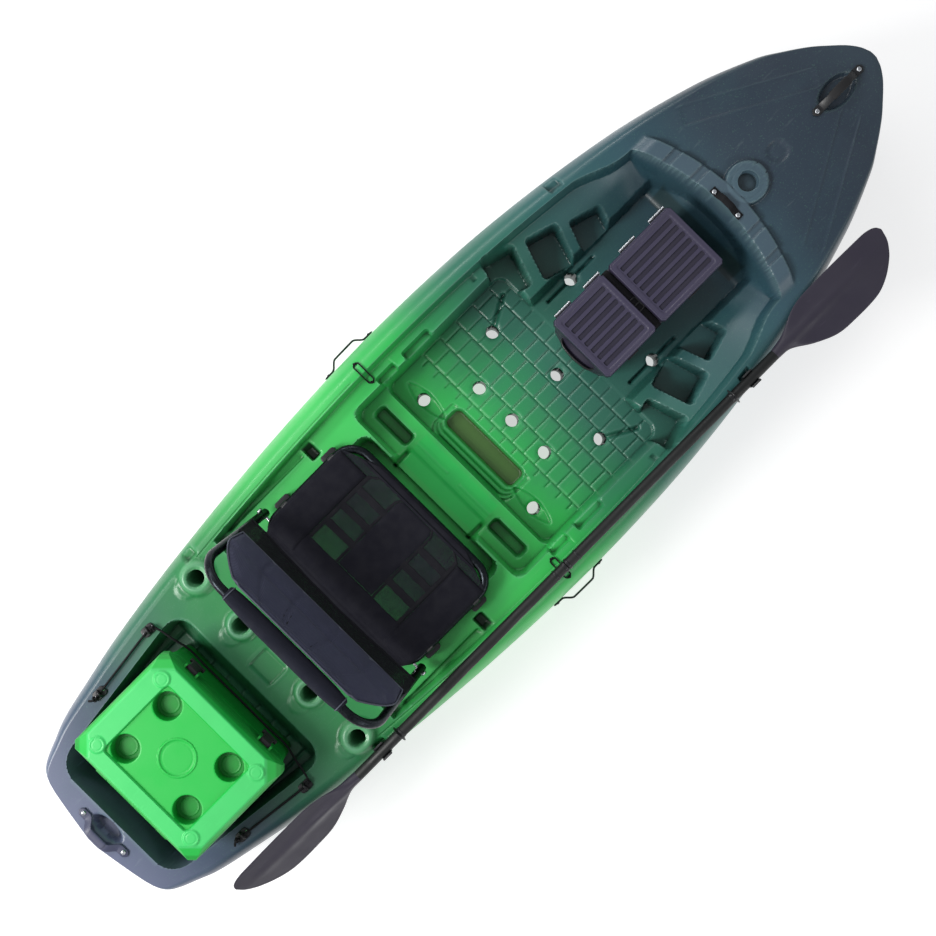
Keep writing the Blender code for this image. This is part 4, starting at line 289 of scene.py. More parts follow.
def round_distance(x, y, centre, radius):
    """Signed distance to a circle."""
    return np.hypot(x - centre[0], y - centre[1]) - radius


def line_distance(x, y, start, end):
    """Distance to a straight line between two points."""
    ax, ay = start
    bx, by = end[0] - ax, end[1] - ay
    t = np.clip(((x - ax) * bx + (y - ay) * by) / (bx * bx + by * by), 0, 1)
    return np.hypot(x - ax - t * bx, y - ay - t * by)


def inside(distance, edge):
    """1 inside a shape, 0 outside and a soft edge of the given width between."""
    return ramp(-distance, -edge / 2, edge / 2)


def press(z, distance, depth, edge=0.006):
    """Press a shape into the surface by a depth, or raise it with a negative one."""
    return z - depth * inside(distance, edge)


def press_line(z, distance, half, depth):
    """Press a round-bottomed groove of a half width into the surface."""
    share = np.clip(1 - distance / half, 0, 1)
    return z - depth * np.sin(share * math.pi / 2) ** 1.5


def well(z, distance, floor, out=WALL_OUT, draft=WALL_IN):
    """Hollow with a drafted wall: from out beyond the shape's edge to draft inside it."""
    share = np.clip((out - distance) / (out + draft), 0, 1)
    share = share + 0.35 * share * (1 - share) * (2 * share - 1)
    return np.where(share > 0, z + (np.minimum(z, floor) - z) * share, z)


def tank_distance(x, y):
    """Signed distance to the tank well's outline, a rounded trapezoid."""
    slope = (TANK_FORE_HALF - TANK_AFT_HALF) / (X_TANK_FORE - X_TANK_AFT)
    half = TANK_AFT_HALF + slope * (x - X_TANK_AFT)
    return span_distance(x, y, X_TANK_AFT, X_TANK_FORE, half, 0.060)


def seat_distance(x, y):
    """Signed distance to the seat well's outline."""
    return span_distance(x, y, X_SEAT_AFT + 0.020, X_SEAT_FORE, SEAT_WELL_HALF, 0.030)


def platform_distance(x, y):
    """Signed distance to the platform's outline."""
    return span_distance(x, y, X_SEAT_FORE + 0.012, X_FLOOR_AFT + 0.040, FLOOR_HALF, 0.030)


def pass_distance(x, y):
    """Signed distance to the low pass from the platform into the seat well."""
    return span_distance(x, y, X_SEAT_FORE - 0.050, X_SEAT_FORE + 0.060, SIDE_POCKET_INNER, 0.015)


def floor_distance(x, y):
    """Signed distance to the tiled floor's outline."""
    return span_distance(x, y, X_FLOOR_AFT, X_BASIN_AFT + 0.040, FLOOR_HALF - 0.002, 0.030)


def deck_step_distance(x, y):
    """Signed distance to the lowered side decks' outline."""
    return span_distance(x, y, X_SEAT_AFT, X_BASIN_AFT + 0.100, cockpit_half(x), 0.001)


def basin_half(x):
    """Half width of the bow basin, which closes along the breakwater."""
    side = cockpit_half(x)
    sweep = np.maximum(X_BASIN_FORE - x, 0.0) / BREAKWATER_SWEEP
    wide = BREAKWATER_HALF + (side - BREAKWATER_HALF) * ramp(sweep, 1, 4)
    return np.minimum(side, np.where(sweep < 1, BREAKWATER_HALF * np.sqrt(sweep), wide))


def basin_distance(x, y):
    """Roughly signed distance to the bow basin's outline."""
    y = np.abs(y)
    across = y - basin_half(x)
    edge = X_BASIN_FORE - BREAKWATER_SWEEP * (y / BREAKWATER_HALF) ** 2
    along = (x - edge) / np.sqrt(1 + (2 * BREAKWATER_SWEEP * y / BREAKWATER_HALF**2) ** 2)
    inner = np.where(y < BREAKWATER_HALF, along, across)
    return np.maximum(np.where(x > X_BASIN_FORE - BREAKWATER_SWEEP, inner, across), X_BASIN_AFT - x)


def basin_floor(x, y):
    """Height of the basin: a channel between two sloping shelves."""
    share = (x - X_BASIN_AFT) / BOW_BASIN
    front = ramp(share, 0.86, 1.0)
    half = basin_half(x)
    channel = np.minimum(CHANNEL_HALF, 0.75 * half)
    low = FLOOR_Z + 0.001 + 0.075 * front
    inner = SHELF_INNER_Z + 0.02 * front
    outer = SHELF_OUTER_Z + 0.01 * front
    y = np.abs(y)
    rise = np.clip((y - channel + 0.003) / 0.015, 0, 1)
    slope = np.clip((y - channel - 0.012) / np.maximum(half - channel - 0.012, 0.01), 0, 1)
    return low + (inner - low) * rise + (outer - inner) * slope


def pocket_distance(x, y, index):
    """Signed distance to a heel pocket's outline on either side."""
    offset, spacing = HEEL_POCKETS[index]
    half = (POCKET_LENGTH / 2, POCKET_WIDTH / 2)
    return box_distance(x, np.abs(y), (offset, spacing), half, 0.012, -POCKET_TURN)


def slot_distance(x, y):
    """Signed distance to the cross slot's outline."""
    return box_distance(x, y, SLOT_PLACE, (SLOT_REACH, SLOT_HALF), SLOT_CORNER)


def side_pocket_distance(x, y):
    """Signed distance to a side pocket's outline on either side."""
    middle = (SIDE_POCKET_INNER + SIDE_POCKET_OUTER) / 2
    half = (SIDE_POCKET_LENGTH / 2, (SIDE_POCKET_OUTER - SIDE_POCKET_INNER) / 2)
    return box_distance(x, np.abs(y), (SIDE_POCKET_AFT + SIDE_POCKET_LENGTH / 2, middle), half, 0.012)


def clip_distance(x, y, centre):
    """Signed distance to a paddle clip's seat on either side."""
    inner = abs(PADDLE_Y) - 0.021
    return box_distance(x, np.abs(y), (centre, inner + 0.1), (0.018, 0.1), 0.001)


def breakwater_edge(y):
    """X of the breakwater's edge on the basin's side."""
    return X_BASIN_FORE - BREAKWATER_BACK - BREAKWATER_SWEEP * (y / BREAKWATER_HALF) ** 2


def notch_distance(x, y):
    """Signed distance to the nearest of the notches across the breakwater."""
    along = x - breakwater_edge(y)
    middle, half = BREAKWATER_WIDTH / 2, BREAKWATER_WIDTH / 2 + 0.006
    notches = []
    for place, width in NOTCHES:
        notches.append(box_distance(along, np.abs(y), (middle, place), (half, width), 0.002))
    return np.minimum(*notches)


def oval_distance(x, y, centre, half):
    """Roughly signed distance to an oval."""
    share = np.hypot((x - centre) / half[0], y / half[1])
    return (share - 1) * min(half)


def wall_slot_distance(x, y, middle, half):
    """Signed distance to a slot in the side deck beside the footwell."""
    return box_distance(x, np.abs(y), (middle, SIDE_SLOT_Y), (half, SIDE_SLOT_HALF), SIDE_SLOT_CORNER)


# Outlines whose upper and lower wall edges the surface's points are drawn onto
WALLED = [
    tank_distance, seat_distance, platform_distance, floor_distance, deck_step_distance, basin_distance,
    slot_distance, side_pocket_distance, pass_distance,
]
WALLED += [lambda x, y, i=i: pocket_distance(x, y, i) for i in range(len(HEEL_POCKETS))]
EDGES = [(distance, WALL_OUT, -WALL_IN) for distance in WALLED]
EDGES += [(lambda x, y, c=c: clip_distance(x, y, c), WALL_OUT, 0.0) for c in CLIP_SEATS]
EDGES += [(lambda x, y, m=m, h=h: wall_slot_distance(x, y, m, h), 0.002, -0.004) for m, h in SIDE_SLOTS]
EDGES += [
    (lambda x, y: round_distance(x, y, (BOSS_X, 0.0), BOSS_RADIUS), 0.004, -0.002),
    (lambda x, y: oval_distance(x, y, *BOW_SCOOP), *SCOOP_EDGES),
    (lambda x, y: oval_distance(x, y, *STERN_SCOOP), *SCOOP_EDGES),
    (lambda x, y: box_distance(x, y, *HATCH), 0.002, -0.003),
    (lambda x, y: breakwater_edge(y) + BREAKWATER_WIDTH - x, 0.001, -0.007),
    (notch_distance, 0.0015, -0.0015),
]


def collars(x, y, z):
    """Raise the rod holders' collars on their teardrop flanges."""
    for place, spacing, radius in ROD_HOLDERS:
        away = np.hypot(x - place, np.abs(y) - spacing)
        base = radius + 0.004
        tail = box_distance(x, np.abs(y), (place - 0.035, spacing), (0.035, 0.030), 0.030)
        flange = np.minimum(away - base, tail)
        z = z + 0.0035 * ramp(-flange, -0.003, 0.003)
        top = ROD_RADIUS + 0.010
        cone = np.clip((radius - away) / (radius - top), 0, 1)
        z = z + (COLLAR_HEIGHT - 0.001) * np.sin(cone * math.pi / 2)
        z = z - 0.005 * ramp(top - 0.003 - away, 0, 0.006)
    return z


def breakwater_relief(x, y, z):
    """Raise the arched breakwater with its notches, the accessory boss and its neck."""
    aft = breakwater_edge(y)
    along = x - aft
    ends = 1 - ramp(np.abs(y), BREAKWATER_HALF - 0.040, BREAKWATER_HALF + 0.012)
    body = ramp(along, -0.003, 0.007) * (1 - ramp(along, BREAKWATER_WIDTH - 0.007, BREAKWATER_WIDTH + 0.001))
    rise = BREAKWATER_HEIGHT * ends * body * (1 - 0.45 * inside(notch_distance(x, y), 0.003))
    neck = box_distance(x, y, *BREAKWATER_NECK)
    rise = np.maximum(rise, 0.010 * inside(neck, 0.010))
    boss = round_distance(x, y, (BOSS_X, 0.0), BOSS_RADIUS)
    rise = np.maximum(rise, BOSS_HEIGHT * np.clip((0.004 - boss) / 0.006, 0, 1))
    ring = np.abs(boss + BOSS_RING)
    return z + rise - 0.002 * np.clip(1 - ring / 0.003, 0, 1)


def tiles(x, y, z):
    """Cut the tiled floor's grooves: rows across it and staggered short grooves between them."""
    on_floor = inside(floor_distance(x, y) + 0.010, 0.006) * ramp(x, 0.040, 0.048) * (z < FLOOR_Z + 0.004)
    depth = np.zeros_like(z)
    for row in TILE_ROWS:
        depth = np.maximum(depth, np.clip((TILE_HIGH - np.abs(x - row)) / 0.0018, 0, 1))
    rows = np.array((-1.0,) + TILE_ROWS)
    index = np.searchsorted(rows, x)
    stagger = np.where(index % 2 == 0, 0.0, TILE_PITCH / 2)
    across = np.abs((y + stagger + TILE_PITCH / 2) % TILE_PITCH - TILE_PITCH / 2)
    depth = np.maximum(depth, np.clip((TILE_HIGH - across) / 0.0018, 0, 1))
    return z - TILE_GROOVE * depth * on_floor


def floor_details(x, y, z):
    """Press the drain troughs, slot rims, ribs and grooves into the floor and the platform."""
    flat_y = np.abs(y)
    low = z < FLOOR_Z + 0.004
    for reach in (0.012, 0.024, 0.036):
        half = (SLOT_REACH + reach, SLOT_HALF + reach * 0.45)
        ring = box_distance(x, y, (SLOT_PLACE[0] - reach * 0.35, 0.0), half, SLOT_CORNER + reach / 2)
        aft = ramp(-x, -0.035, -0.025)
        z = np.where(low, press_line(z, np.abs(ring) / np.maximum(aft, 1e-3), 0.0044, 0.0052), z)
    share = np.clip((flat_y - 0.140) / 0.148, 0, 1)
    leaf = np.abs(x + 0.019) - 0.021 * np.sin(math.pi * share) ** 0.7
    z = np.where(low, press(z, np.maximum(leaf, np.abs(flat_y - 0.214) - 0.074), 0.008, 0.008), z)
    for start, end, half in DRAIN_GROOVES:
        z = press_line(z, line_distance(x, flat_y, start, end), half, DRAIN_DEPTH)
    for px, py in SCUPPERS:
        away = np.hypot(x - px, flat_y - py)
        z = z - 0.004 * np.clip((SCUPPER_RADIUS + 0.009 - away) / 0.009, 0, 1)
    rib = box_distance(x, flat_y, *PLATFORM_RIB)
    z = np.where(z < PLATFORM_Z + 0.004, press(z, rib, -0.004, 0.004), z)
    return press(z, box_distance(x, flat_y, *PLATFORM_TROUGH), 0.012, 0.004)


def deck_details(x, y, z):
    """Press the slots, channels and recesses into the decks."""
    flat_y = np.abs(y)
    z = press(z, box_distance(x, flat_y, *SEAT_CHANNEL), 0.012, 0.004)
    z = press(z, box_distance(x, flat_y, *SEAT_NOTCH), 0.030, 0.005)
    for middle, half in SIDE_SLOTS:
        z = well(z, wall_slot_distance(x, y, middle, half), SIDE_SLOT_FLOOR, 0.002, 0.004)
    z = press(z, round_distance(x, flat_y, *DECK_STUD), 0.006, 0.004)
    square = box_distance(x, y, *HATCH)
    z = press(z, np.abs(square - 0.006) - 0.002, -0.0015, 0.003)
    z = well(z, square, HATCH_FLOOR, 0.002, 0.003)
    disc = round_distance(x, y, *BOW_DISC)
    z = press(z, disc, 0.004, 0.004)
    z = press_line(z, np.abs(disc + 0.010), 0.003, 0.0015)
    panel = box_distance(x, flat_y, *BOW_PANEL)
    z = press(z, panel, 0.0012, 0.004)
    z = press_line(z, np.abs(panel - 0.001), 0.0045, -0.0016)
    past = np.maximum(np.abs(x - GUNWALE_LINE[0]) - GUNWALE_LINE[1], 0.0)
    line = np.hypot(past, flat_y - gunwale_half(x) + 0.0040)
    z = press_line(z, line, 0.0030, 0.0024)
    for scoop, depth in ((BOW_SCOOP, BOW_SCOOP_DEPTH), (STERN_SCOOP, STERN_SCOOP_DEPTH)):
        z = well(z, oval_distance(x, y, *scoop), deck_height(x, y) - depth, 0.002, 0.006)
    return z


def relief(x, y, z):
    """Height of the moulded deck over its plain height z."""
    z = breakwater_relief(x, y, collars(x, y, z))
    tank = tank_distance(x, y)
    slope = np.clip((X_TANK_FORE + 0.006 - x) / 0.060, 0, 1)
    z = well(z, tank, np.maximum(TANK_FLOOR_Z, z + (TANK_FLOOR_Z - z) * slope))
    rib = np.abs((y + TANK_RIB_PITCH / 2) % TANK_RIB_PITCH - TANK_RIB_PITCH / 2)
    z = np.where(z < TANK_FLOOR_Z + 0.001, press_line(z, rib, 0.006, 0.004), z)
    z = well(z, deck_step_distance(x, y), SIDE_DECK_Z)
    z = well(z, seat_distance(x, y), SEAT_FLOOR_Z)
    z = well(z, platform_distance(x, y), PLATFORM_Z)
    z = well(z, pass_distance(x, y), PLATFORM_Z - 0.004)
    z = well(z, floor_distance(x, y), FLOOR_Z)
    z = well(z, basin_distance(x, y), basin_floor(x, y))
    z = floor_details(x, y, tiles(x, y, z))
    z = well(z, slot_distance(x, y), FLOOR_Z - SLOT_DEPTH)
    z = well(z, side_pocket_distance(x, y), SIDE_POCKET_FLOOR)
    for index in range(len(HEEL_POCKETS)):
        z = well(z, pocket_distance(x, y, index), POCKET_Z)
    for centre in CLIP_SEATS:
        z = well(z, clip_distance(x, y, centre), gunwale_height(centre) - CLIP_SEAT_DROP, 0.003, 0.0)
    return deck_details(x, y, z)


# How far from a hull end its first stations lie
END_STEPS = (0.0008, 0.002, 0.0036, 0.0056, 0.0080, 0.011, 0.015, 0.020, 0.026, 0.033)


def stations():
    """Places along the hull, closer together at its ends and where the deck has fine detail."""
    coarse = [STERN_END + step for step in END_STEPS] + [BOW_END - step for step in END_STEPS]
    coarse += list(np.arange(STERN_END + 0.039, -0.950, 0.006))
    coarse += list(np.arange(-0.950, -0.078, 0.006)) + list(np.arange(-0.078, 0.054, 0.0030))
    coarse += list(np.arange(0.054, 0.345, 0.006)) + list(np.arange(0.345, 0.990, 0.0036))
    coarse += list(np.arange(0.990, BOW_END - 0.038, 0.008))
    fine = [row + step for row in TILE_ROWS for step in (-TILE_HIGH, -TILE_LOW, TILE_LOW, TILE_HIGH)]
    kept = [x for x in coarse if all(abs(x - place) > 0.0024 for place in fine)]
    return np.array(sorted(kept + fine))


def across_lines():
    """Share of the inner deck's half width, and the distances of the lines near its edge."""
    inner = []
    for step in range(16):
        middle = step * TILE_PITCH / 2
        steps = (-0.0075, -TILE_HIGH, -TILE_LOW, TILE_LOW, TILE_HIGH, 0.0075, 0.01125)
        inner += [middle + d for d in steps]
    inner = [y for y in inner if 0.001 < y < 0.3460]
    edge = (0.0220, 0.0190, 0.0165, 0.0140, 0.0115, 0.0090, 0.0070, 0.0055, 0.0040, 0.0025, 0.0010, 0.0)
    return np.array([0.0] + inner), np.array(edge)


def draw_on(x, y, distance, level, locked):
    """Draw the grid's nearest points onto a level line of a distance function."""
    value = distance(x, y) - level
    marked = np.zeros_like(value, bool)
    for axis in (0, 1):
        a, b = (value[:-1], value[1:]) if axis == 0 else (value[:, :-1], value[:, 1:])
        cross = (a < 0) != (b < 0)
        first = np.abs(a) <= np.abs(b)
        if axis == 0:
            marked[:-1] |= cross & first
            marked[1:] |= cross & ~first
        else:
            marked[:, :-1] |= cross & first
            marked[:, 1:] |= cross & ~first
    step = 1e-5
    gx = (distance(x + step, y) - distance(x - step, y)) / (2 * step)
    gy = (distance(x, y + step) - distance(x, y - step)) / (2 * step)
    size = np.maximum(gx * gx + gy * gy, 0.25)
    marked &= ~locked & (np.abs(value) < 0.0045)
    move_x = np.where(marked, -value * gx / size, 0.0)
    move_y = np.where(marked, -value * gy / size, 0.0)
    return x + move_x, y + move_y, locked | marked


def hull_surface():
    """Closed hull surface: the moulded deck, shoulders, sides and bottom, as rings along X."""
    xs = stations()
    inner, edge = across_lines()
    limit = gunwale_half(xs) - edge[0] - 0.003
    scale = np.minimum(1.0, limit / inner[-1])
    rim = gunwale_half(xs)[:, None] - edge[None, :]
    half = np.concatenate([inner[None, :] * scale[:, None], rim], axis=1)
    y = np.concatenate([half[:, ::-1], -half[:, 1:]], axis=1)
    x = np.repeat(xs[:, None], y.shape[1], axis=1)
    locked = np.zeros_like(y, bool)
    locked[:, :1] = locked[:, -1:] = True
    locked[:1] = locked[-1:] = True
    for distance, top, bottom in EDGES:
        for level in (top, bottom):
            x, y, locked = draw_on(x, y, distance, level, locked)
    z = relief(x, y, deck_height(x, y))
    rings = []
    for i, place in enumerate(xs):
        deck = np.stack([x[i], y[i], z[i]], axis=1)
        rings.append(np.concatenate([deck, under_points(place, 0.0)]))
    return rings


def under_points(x, inset):
    """Points of a section below the deck, from the starboard edge round the keel to port."""
    beam = float(half_beam(x)) - inset
    keel = float(keel_height(x)) + inset
    top = float(gunwale_height(x)) - inset
    tunnel = keel + float(tunnel_height(x))
    widest = keel + WIDEST_HEIGHT * (top - keel)
    chine = CHINE_START * beam
    shoulder = min(float(shoulder_width(x)), 0.8 * beam)
    side = []
    for turn in np.linspace(0, math.pi / 2, 10)[1:]:
        y = beam - shoulder + shoulder * math.sin(turn)
        z = widest + (top - widest) * math.cos(turn)
        for centre in CLIP_SEATS:
            share = inside(float(box_distance(x, y, (centre, 0.45), (0.018, 0.09), 0.001)) - 0.002, 0.003)
            z = z + (min(z, float(gunwale_height(centre)) - CLIP_SEAT_DROP) - z) * float(share)
        side.append((y, z))
    for turn in np.linspace(0, math.pi / 2, 11)[1:]:
        side.append((chine + (beam - chine) * math.cos(turn), widest - (widest - keel) * math.sin(turn)))
    for share, rise in TUNNEL_SECTION:
        side.append((share * beam, keel + rise * (tunnel - keel)))
    starboard = [(x, -y, z) for y, z in side]
    port = [(x, y, z) for y, z in reversed(side)]
    return np.array(starboard + [(x, 0.0, keel)] + port)


def end_ring(ring, x, place, inset):
    """Ring at a hull end drawn in by an inset and moved to x."""
    inner = ring.copy()
    count = len(ring) - len(under_points(place, 0.0))
    deck_half = float(gunwale_half(place))
    inner[:count, 1] *= max(deck_half - inset, 0.002) / deck_half
    inner[:count, 2] -= inset
    inner[count:] = under_points(place, inset)
    inner[:, 0] = x
    return inner


def mesh_object(name, vertices, faces, material, sharp=35):
    """Object from points and faces, smooth where its faces meet at less than an angle."""
    mesh = bpy.data.meshes.new(name)
    mesh.from_pydata([tuple(map(float, v)) for v in vertices], [], [tuple(f) for f in faces])
    mesh.update()
    mesh.shade_smooth()
    mesh.set_sharp_from_angle(angle=math.radians(sharp))
    obj = bpy.data.objects.new(name, mesh)
    bpy.context.scene.collection.objects.link(obj)
    if material:
        mesh.materials.append(material)
    return obj


def skin(name, rings, material, sharp=35, closed=False):
    """Surface over rings of points, capped at both ends or closed in a loop."""
    rings = [np.asarray(ring, float) for ring in rings]
    n = len(rings[0])
    vertices = np.concatenate(rings)
    faces = []
    pairs = list(range(len(rings) - 1)) + ([-1] if closed else [])
    for i in pairs:
        low = (i % len(rings)) * n
        high = ((i + 1) % len(rings)) * n
        faces += [(low + j, low + (j + 1) % n, high + (j + 1) % n, high + j) for j in range(n)]
    if not closed:
        last = (len(rings) - 1) * n
        faces.append(tuple(range(n))[::-1])
        faces.append(tuple(last + j for j in range(n)))
    obj = mesh_object(name, vertices, faces, material, sharp)
    outward(obj, sharp)
    return obj


def outward(obj, sharp=35):
    """Turn all faces outward and mark the sharp edges again."""
    bm = bmesh.new()
    bm.from_mesh(obj.data)
    bmesh.ops.recalc_face_normals(bm, faces=bm.faces[:])
    if bm.calc_volume(signed=True) < 0:
        bmesh.ops.reverse_faces(bm, faces=bm.faces[:])
    bm.to_mesh(obj.data)
    bm.free()
    obj.data.shade_smooth()
    obj.data.set_sharp_from_angle(angle=math.radians(sharp))


def bake(obj):
    """Apply an object's modifiers to its mesh."""
    bpy.context.view_layer.update()
    graph = bpy.context.evaluated_depsgraph_get()
    mesh = bpy.data.meshes.new_from_object(obj.evaluated_get(graph))
    materials = [slot.material for slot in obj.material_slots]
    old = obj.data
    if obj.type == "CURVE":
        name, collection = obj.name, obj.users_collection[0]
        bpy.data.objects.remove(obj, do_unlink=True)
        obj = bpy.data.objects.new(name, mesh)
        collection.objects.link(obj)
    else:
        obj.modifiers.clear()
        obj.data = mesh
        if old.users == 0:
            bpy.data.meshes.remove(old)
    mesh.materials.clear()
    for material in materials:
        mesh.materials.append(material)
    return obj


def join(name, objects):
    """One object from several meshes, which are used up."""
    bm = bmesh.new()
    for obj in objects:
        obj.data.transform(obj.matrix_world)
        bm.from_mesh(obj.data)
    materials = [slot.material for slot in objects[0].material_slots]
    for obj in objects:
        bpy.data.objects.remove(obj, do_unlink=True)
    mesh = bpy.data.meshes.new(name)
    bm.to_mesh(mesh)
    bm.free()
    joined = bpy.data.objects.new(name, mesh)
    bpy.context.scene.collection.objects.link(joined)
    for material in materials:
        mesh.materials.append(material)
    return joined


def cut(target, cutters, sharp=40):
    """Take a list of cutters, which don't touch each other, out of a target."""
    cutter = join("cutter", cutters) if len(cutters) > 1 else cutters[0]
    modifier = target.modifiers.new("cut", "BOOLEAN")
    modifier.operation = "DIFFERENCE"
    modifier.solver = "MANIFOLD"
    modifier.object = cutter
    bake(target)
    bpy.data.objects.remove(cutter, do_unlink=True)
    target.data.shade_smooth()
    target.data.set_sharp_from_angle(angle=math.radians(sharp))
    return target


def frame_of(axis):
    """Two directions square to an axis."""
    axis = Vector(axis).normalized()
    side = axis.orthogonal().normalized()
    return side, axis.cross(side)


def turned(name, start, axis, profile, sides=32, material=None):
    """Solid turned round an axis from (radius, height) points along it."""
    side, other = frame_of(axis)
    axis = Vector(axis).normalized()
    start = Vector(start)
    rings = []
    for radius, height in profile:
        ring = []
        for i in range(sides):
            turn = 2 * math.pi * i / sides
            ring.append(start + axis * height + radius * (math.cos(turn) * side + math.sin(turn) * other))
        rings.append(ring)
    return skin(name, rings, material)


def rod(name, start, end, radius, sides=32):
    """Plain round bar between two points, for cutters."""
    start, end = Vector(start), Vector(end)
    length = (end - start).length
    return turned(name, start, end - start, ((radius, 0.0), (radius, length)), sides)


def plug_frame():
    """Point on the hull's starboard quarter and the drain plug's outward direction."""
    outward_way = Vector((-0.70, -0.70, 0.12)).normalized()
    low, high = float(keel_height(PLUG_X)), float(gunwale_height(PLUG_X))
    return Vector((PLUG_X, PLUG_Y, low + 0.62 * (high - low))), outward_way


# Turned profile of the drain plug's seat in the hull: radius, height
PLUG_SEAT_PROFILE = (
    (0.0112, 0.0), (0.0112, 0.0219), (0.022, 0.022), (0.022, 0.029), (0.026, 0.034), (0.026, 0.07),
)


def build_hull(material):
    """Hull with its moulded deck, and the holes through and into it."""
    rings = hull_surface()
    first, last = STERN_END + END_STEPS[0], BOW_END - END_STEPS[0]
    stern, bow = [], []
    for share in (0.0, 0.35, 0.75):
        inset = 0.0030 * (1 - share) ** 2
        stern.append(end_ring(rings[0], STERN_END + share * END_STEPS[0], first, inset))
        bow.append(end_ring(rings[-1], BOW_END - share * END_STEPS[0], last, inset))
    hull = skin("hull_shell", stern + rings + bow[::-1], material, 75)
    cutters = []
    for px, py in SCUPPERS:
        for side in (1, -1) if py else (1,):
            cutters.append(rod("hole", (px, side * py, -0.02), (px, side * py, 0.5), SCUPPER_RADIUS, 28))
    for px, py, _ in ROD_HOLDERS:
        for side in (1, -1):
            down = Vector((math.sin(ROD_TILT), 0.0, -math.cos(ROD_TILT)))
            mouth = Vector((px, side * py, float(deck_height(px, py))))
            cutters.append(rod("bore", mouth - down * 0.05, mouth + down * ROD_DEPTH, ROD_RADIUS, 32))
    top = float(deck_height(BOSS_X, 0.0)) + BOSS_HEIGHT
    wide = BOSS_BORE + 0.004
    profile = (
        (BOSS_BORE, 0.0), (BOSS_BORE, BOSS_BORE_DEPTH - 0.003), (wide, BOSS_BORE_DEPTH + 0.001), (wide, 0.06),
    )
    cutters.append(turned("boss_bore", (BOSS_X, 0, top - BOSS_BORE_DEPTH), (0, 0, 1), profile, 36))
    point, way = plug_frame()
    cutters.append(turned("plug_seat", point - way * 0.030, way, PLUG_SEAT_PROFILE))
    return cut(hull, cutters, 75)


def shade(red, green, blue):
    """Linear colour of an 8-bit screen colour."""
    return tuple(((c / 255 + 0.055) / 1.055) ** 2.4 for c in (red, green, blue)) + (1.0,)


# Painted shade that recesses and creases are multiplied by, and how much fuzz cloth has
PAINTED_SHADE = (0.10, 0.13, 0.13, 1.0)
CLOTH_SHEEN = 0.02


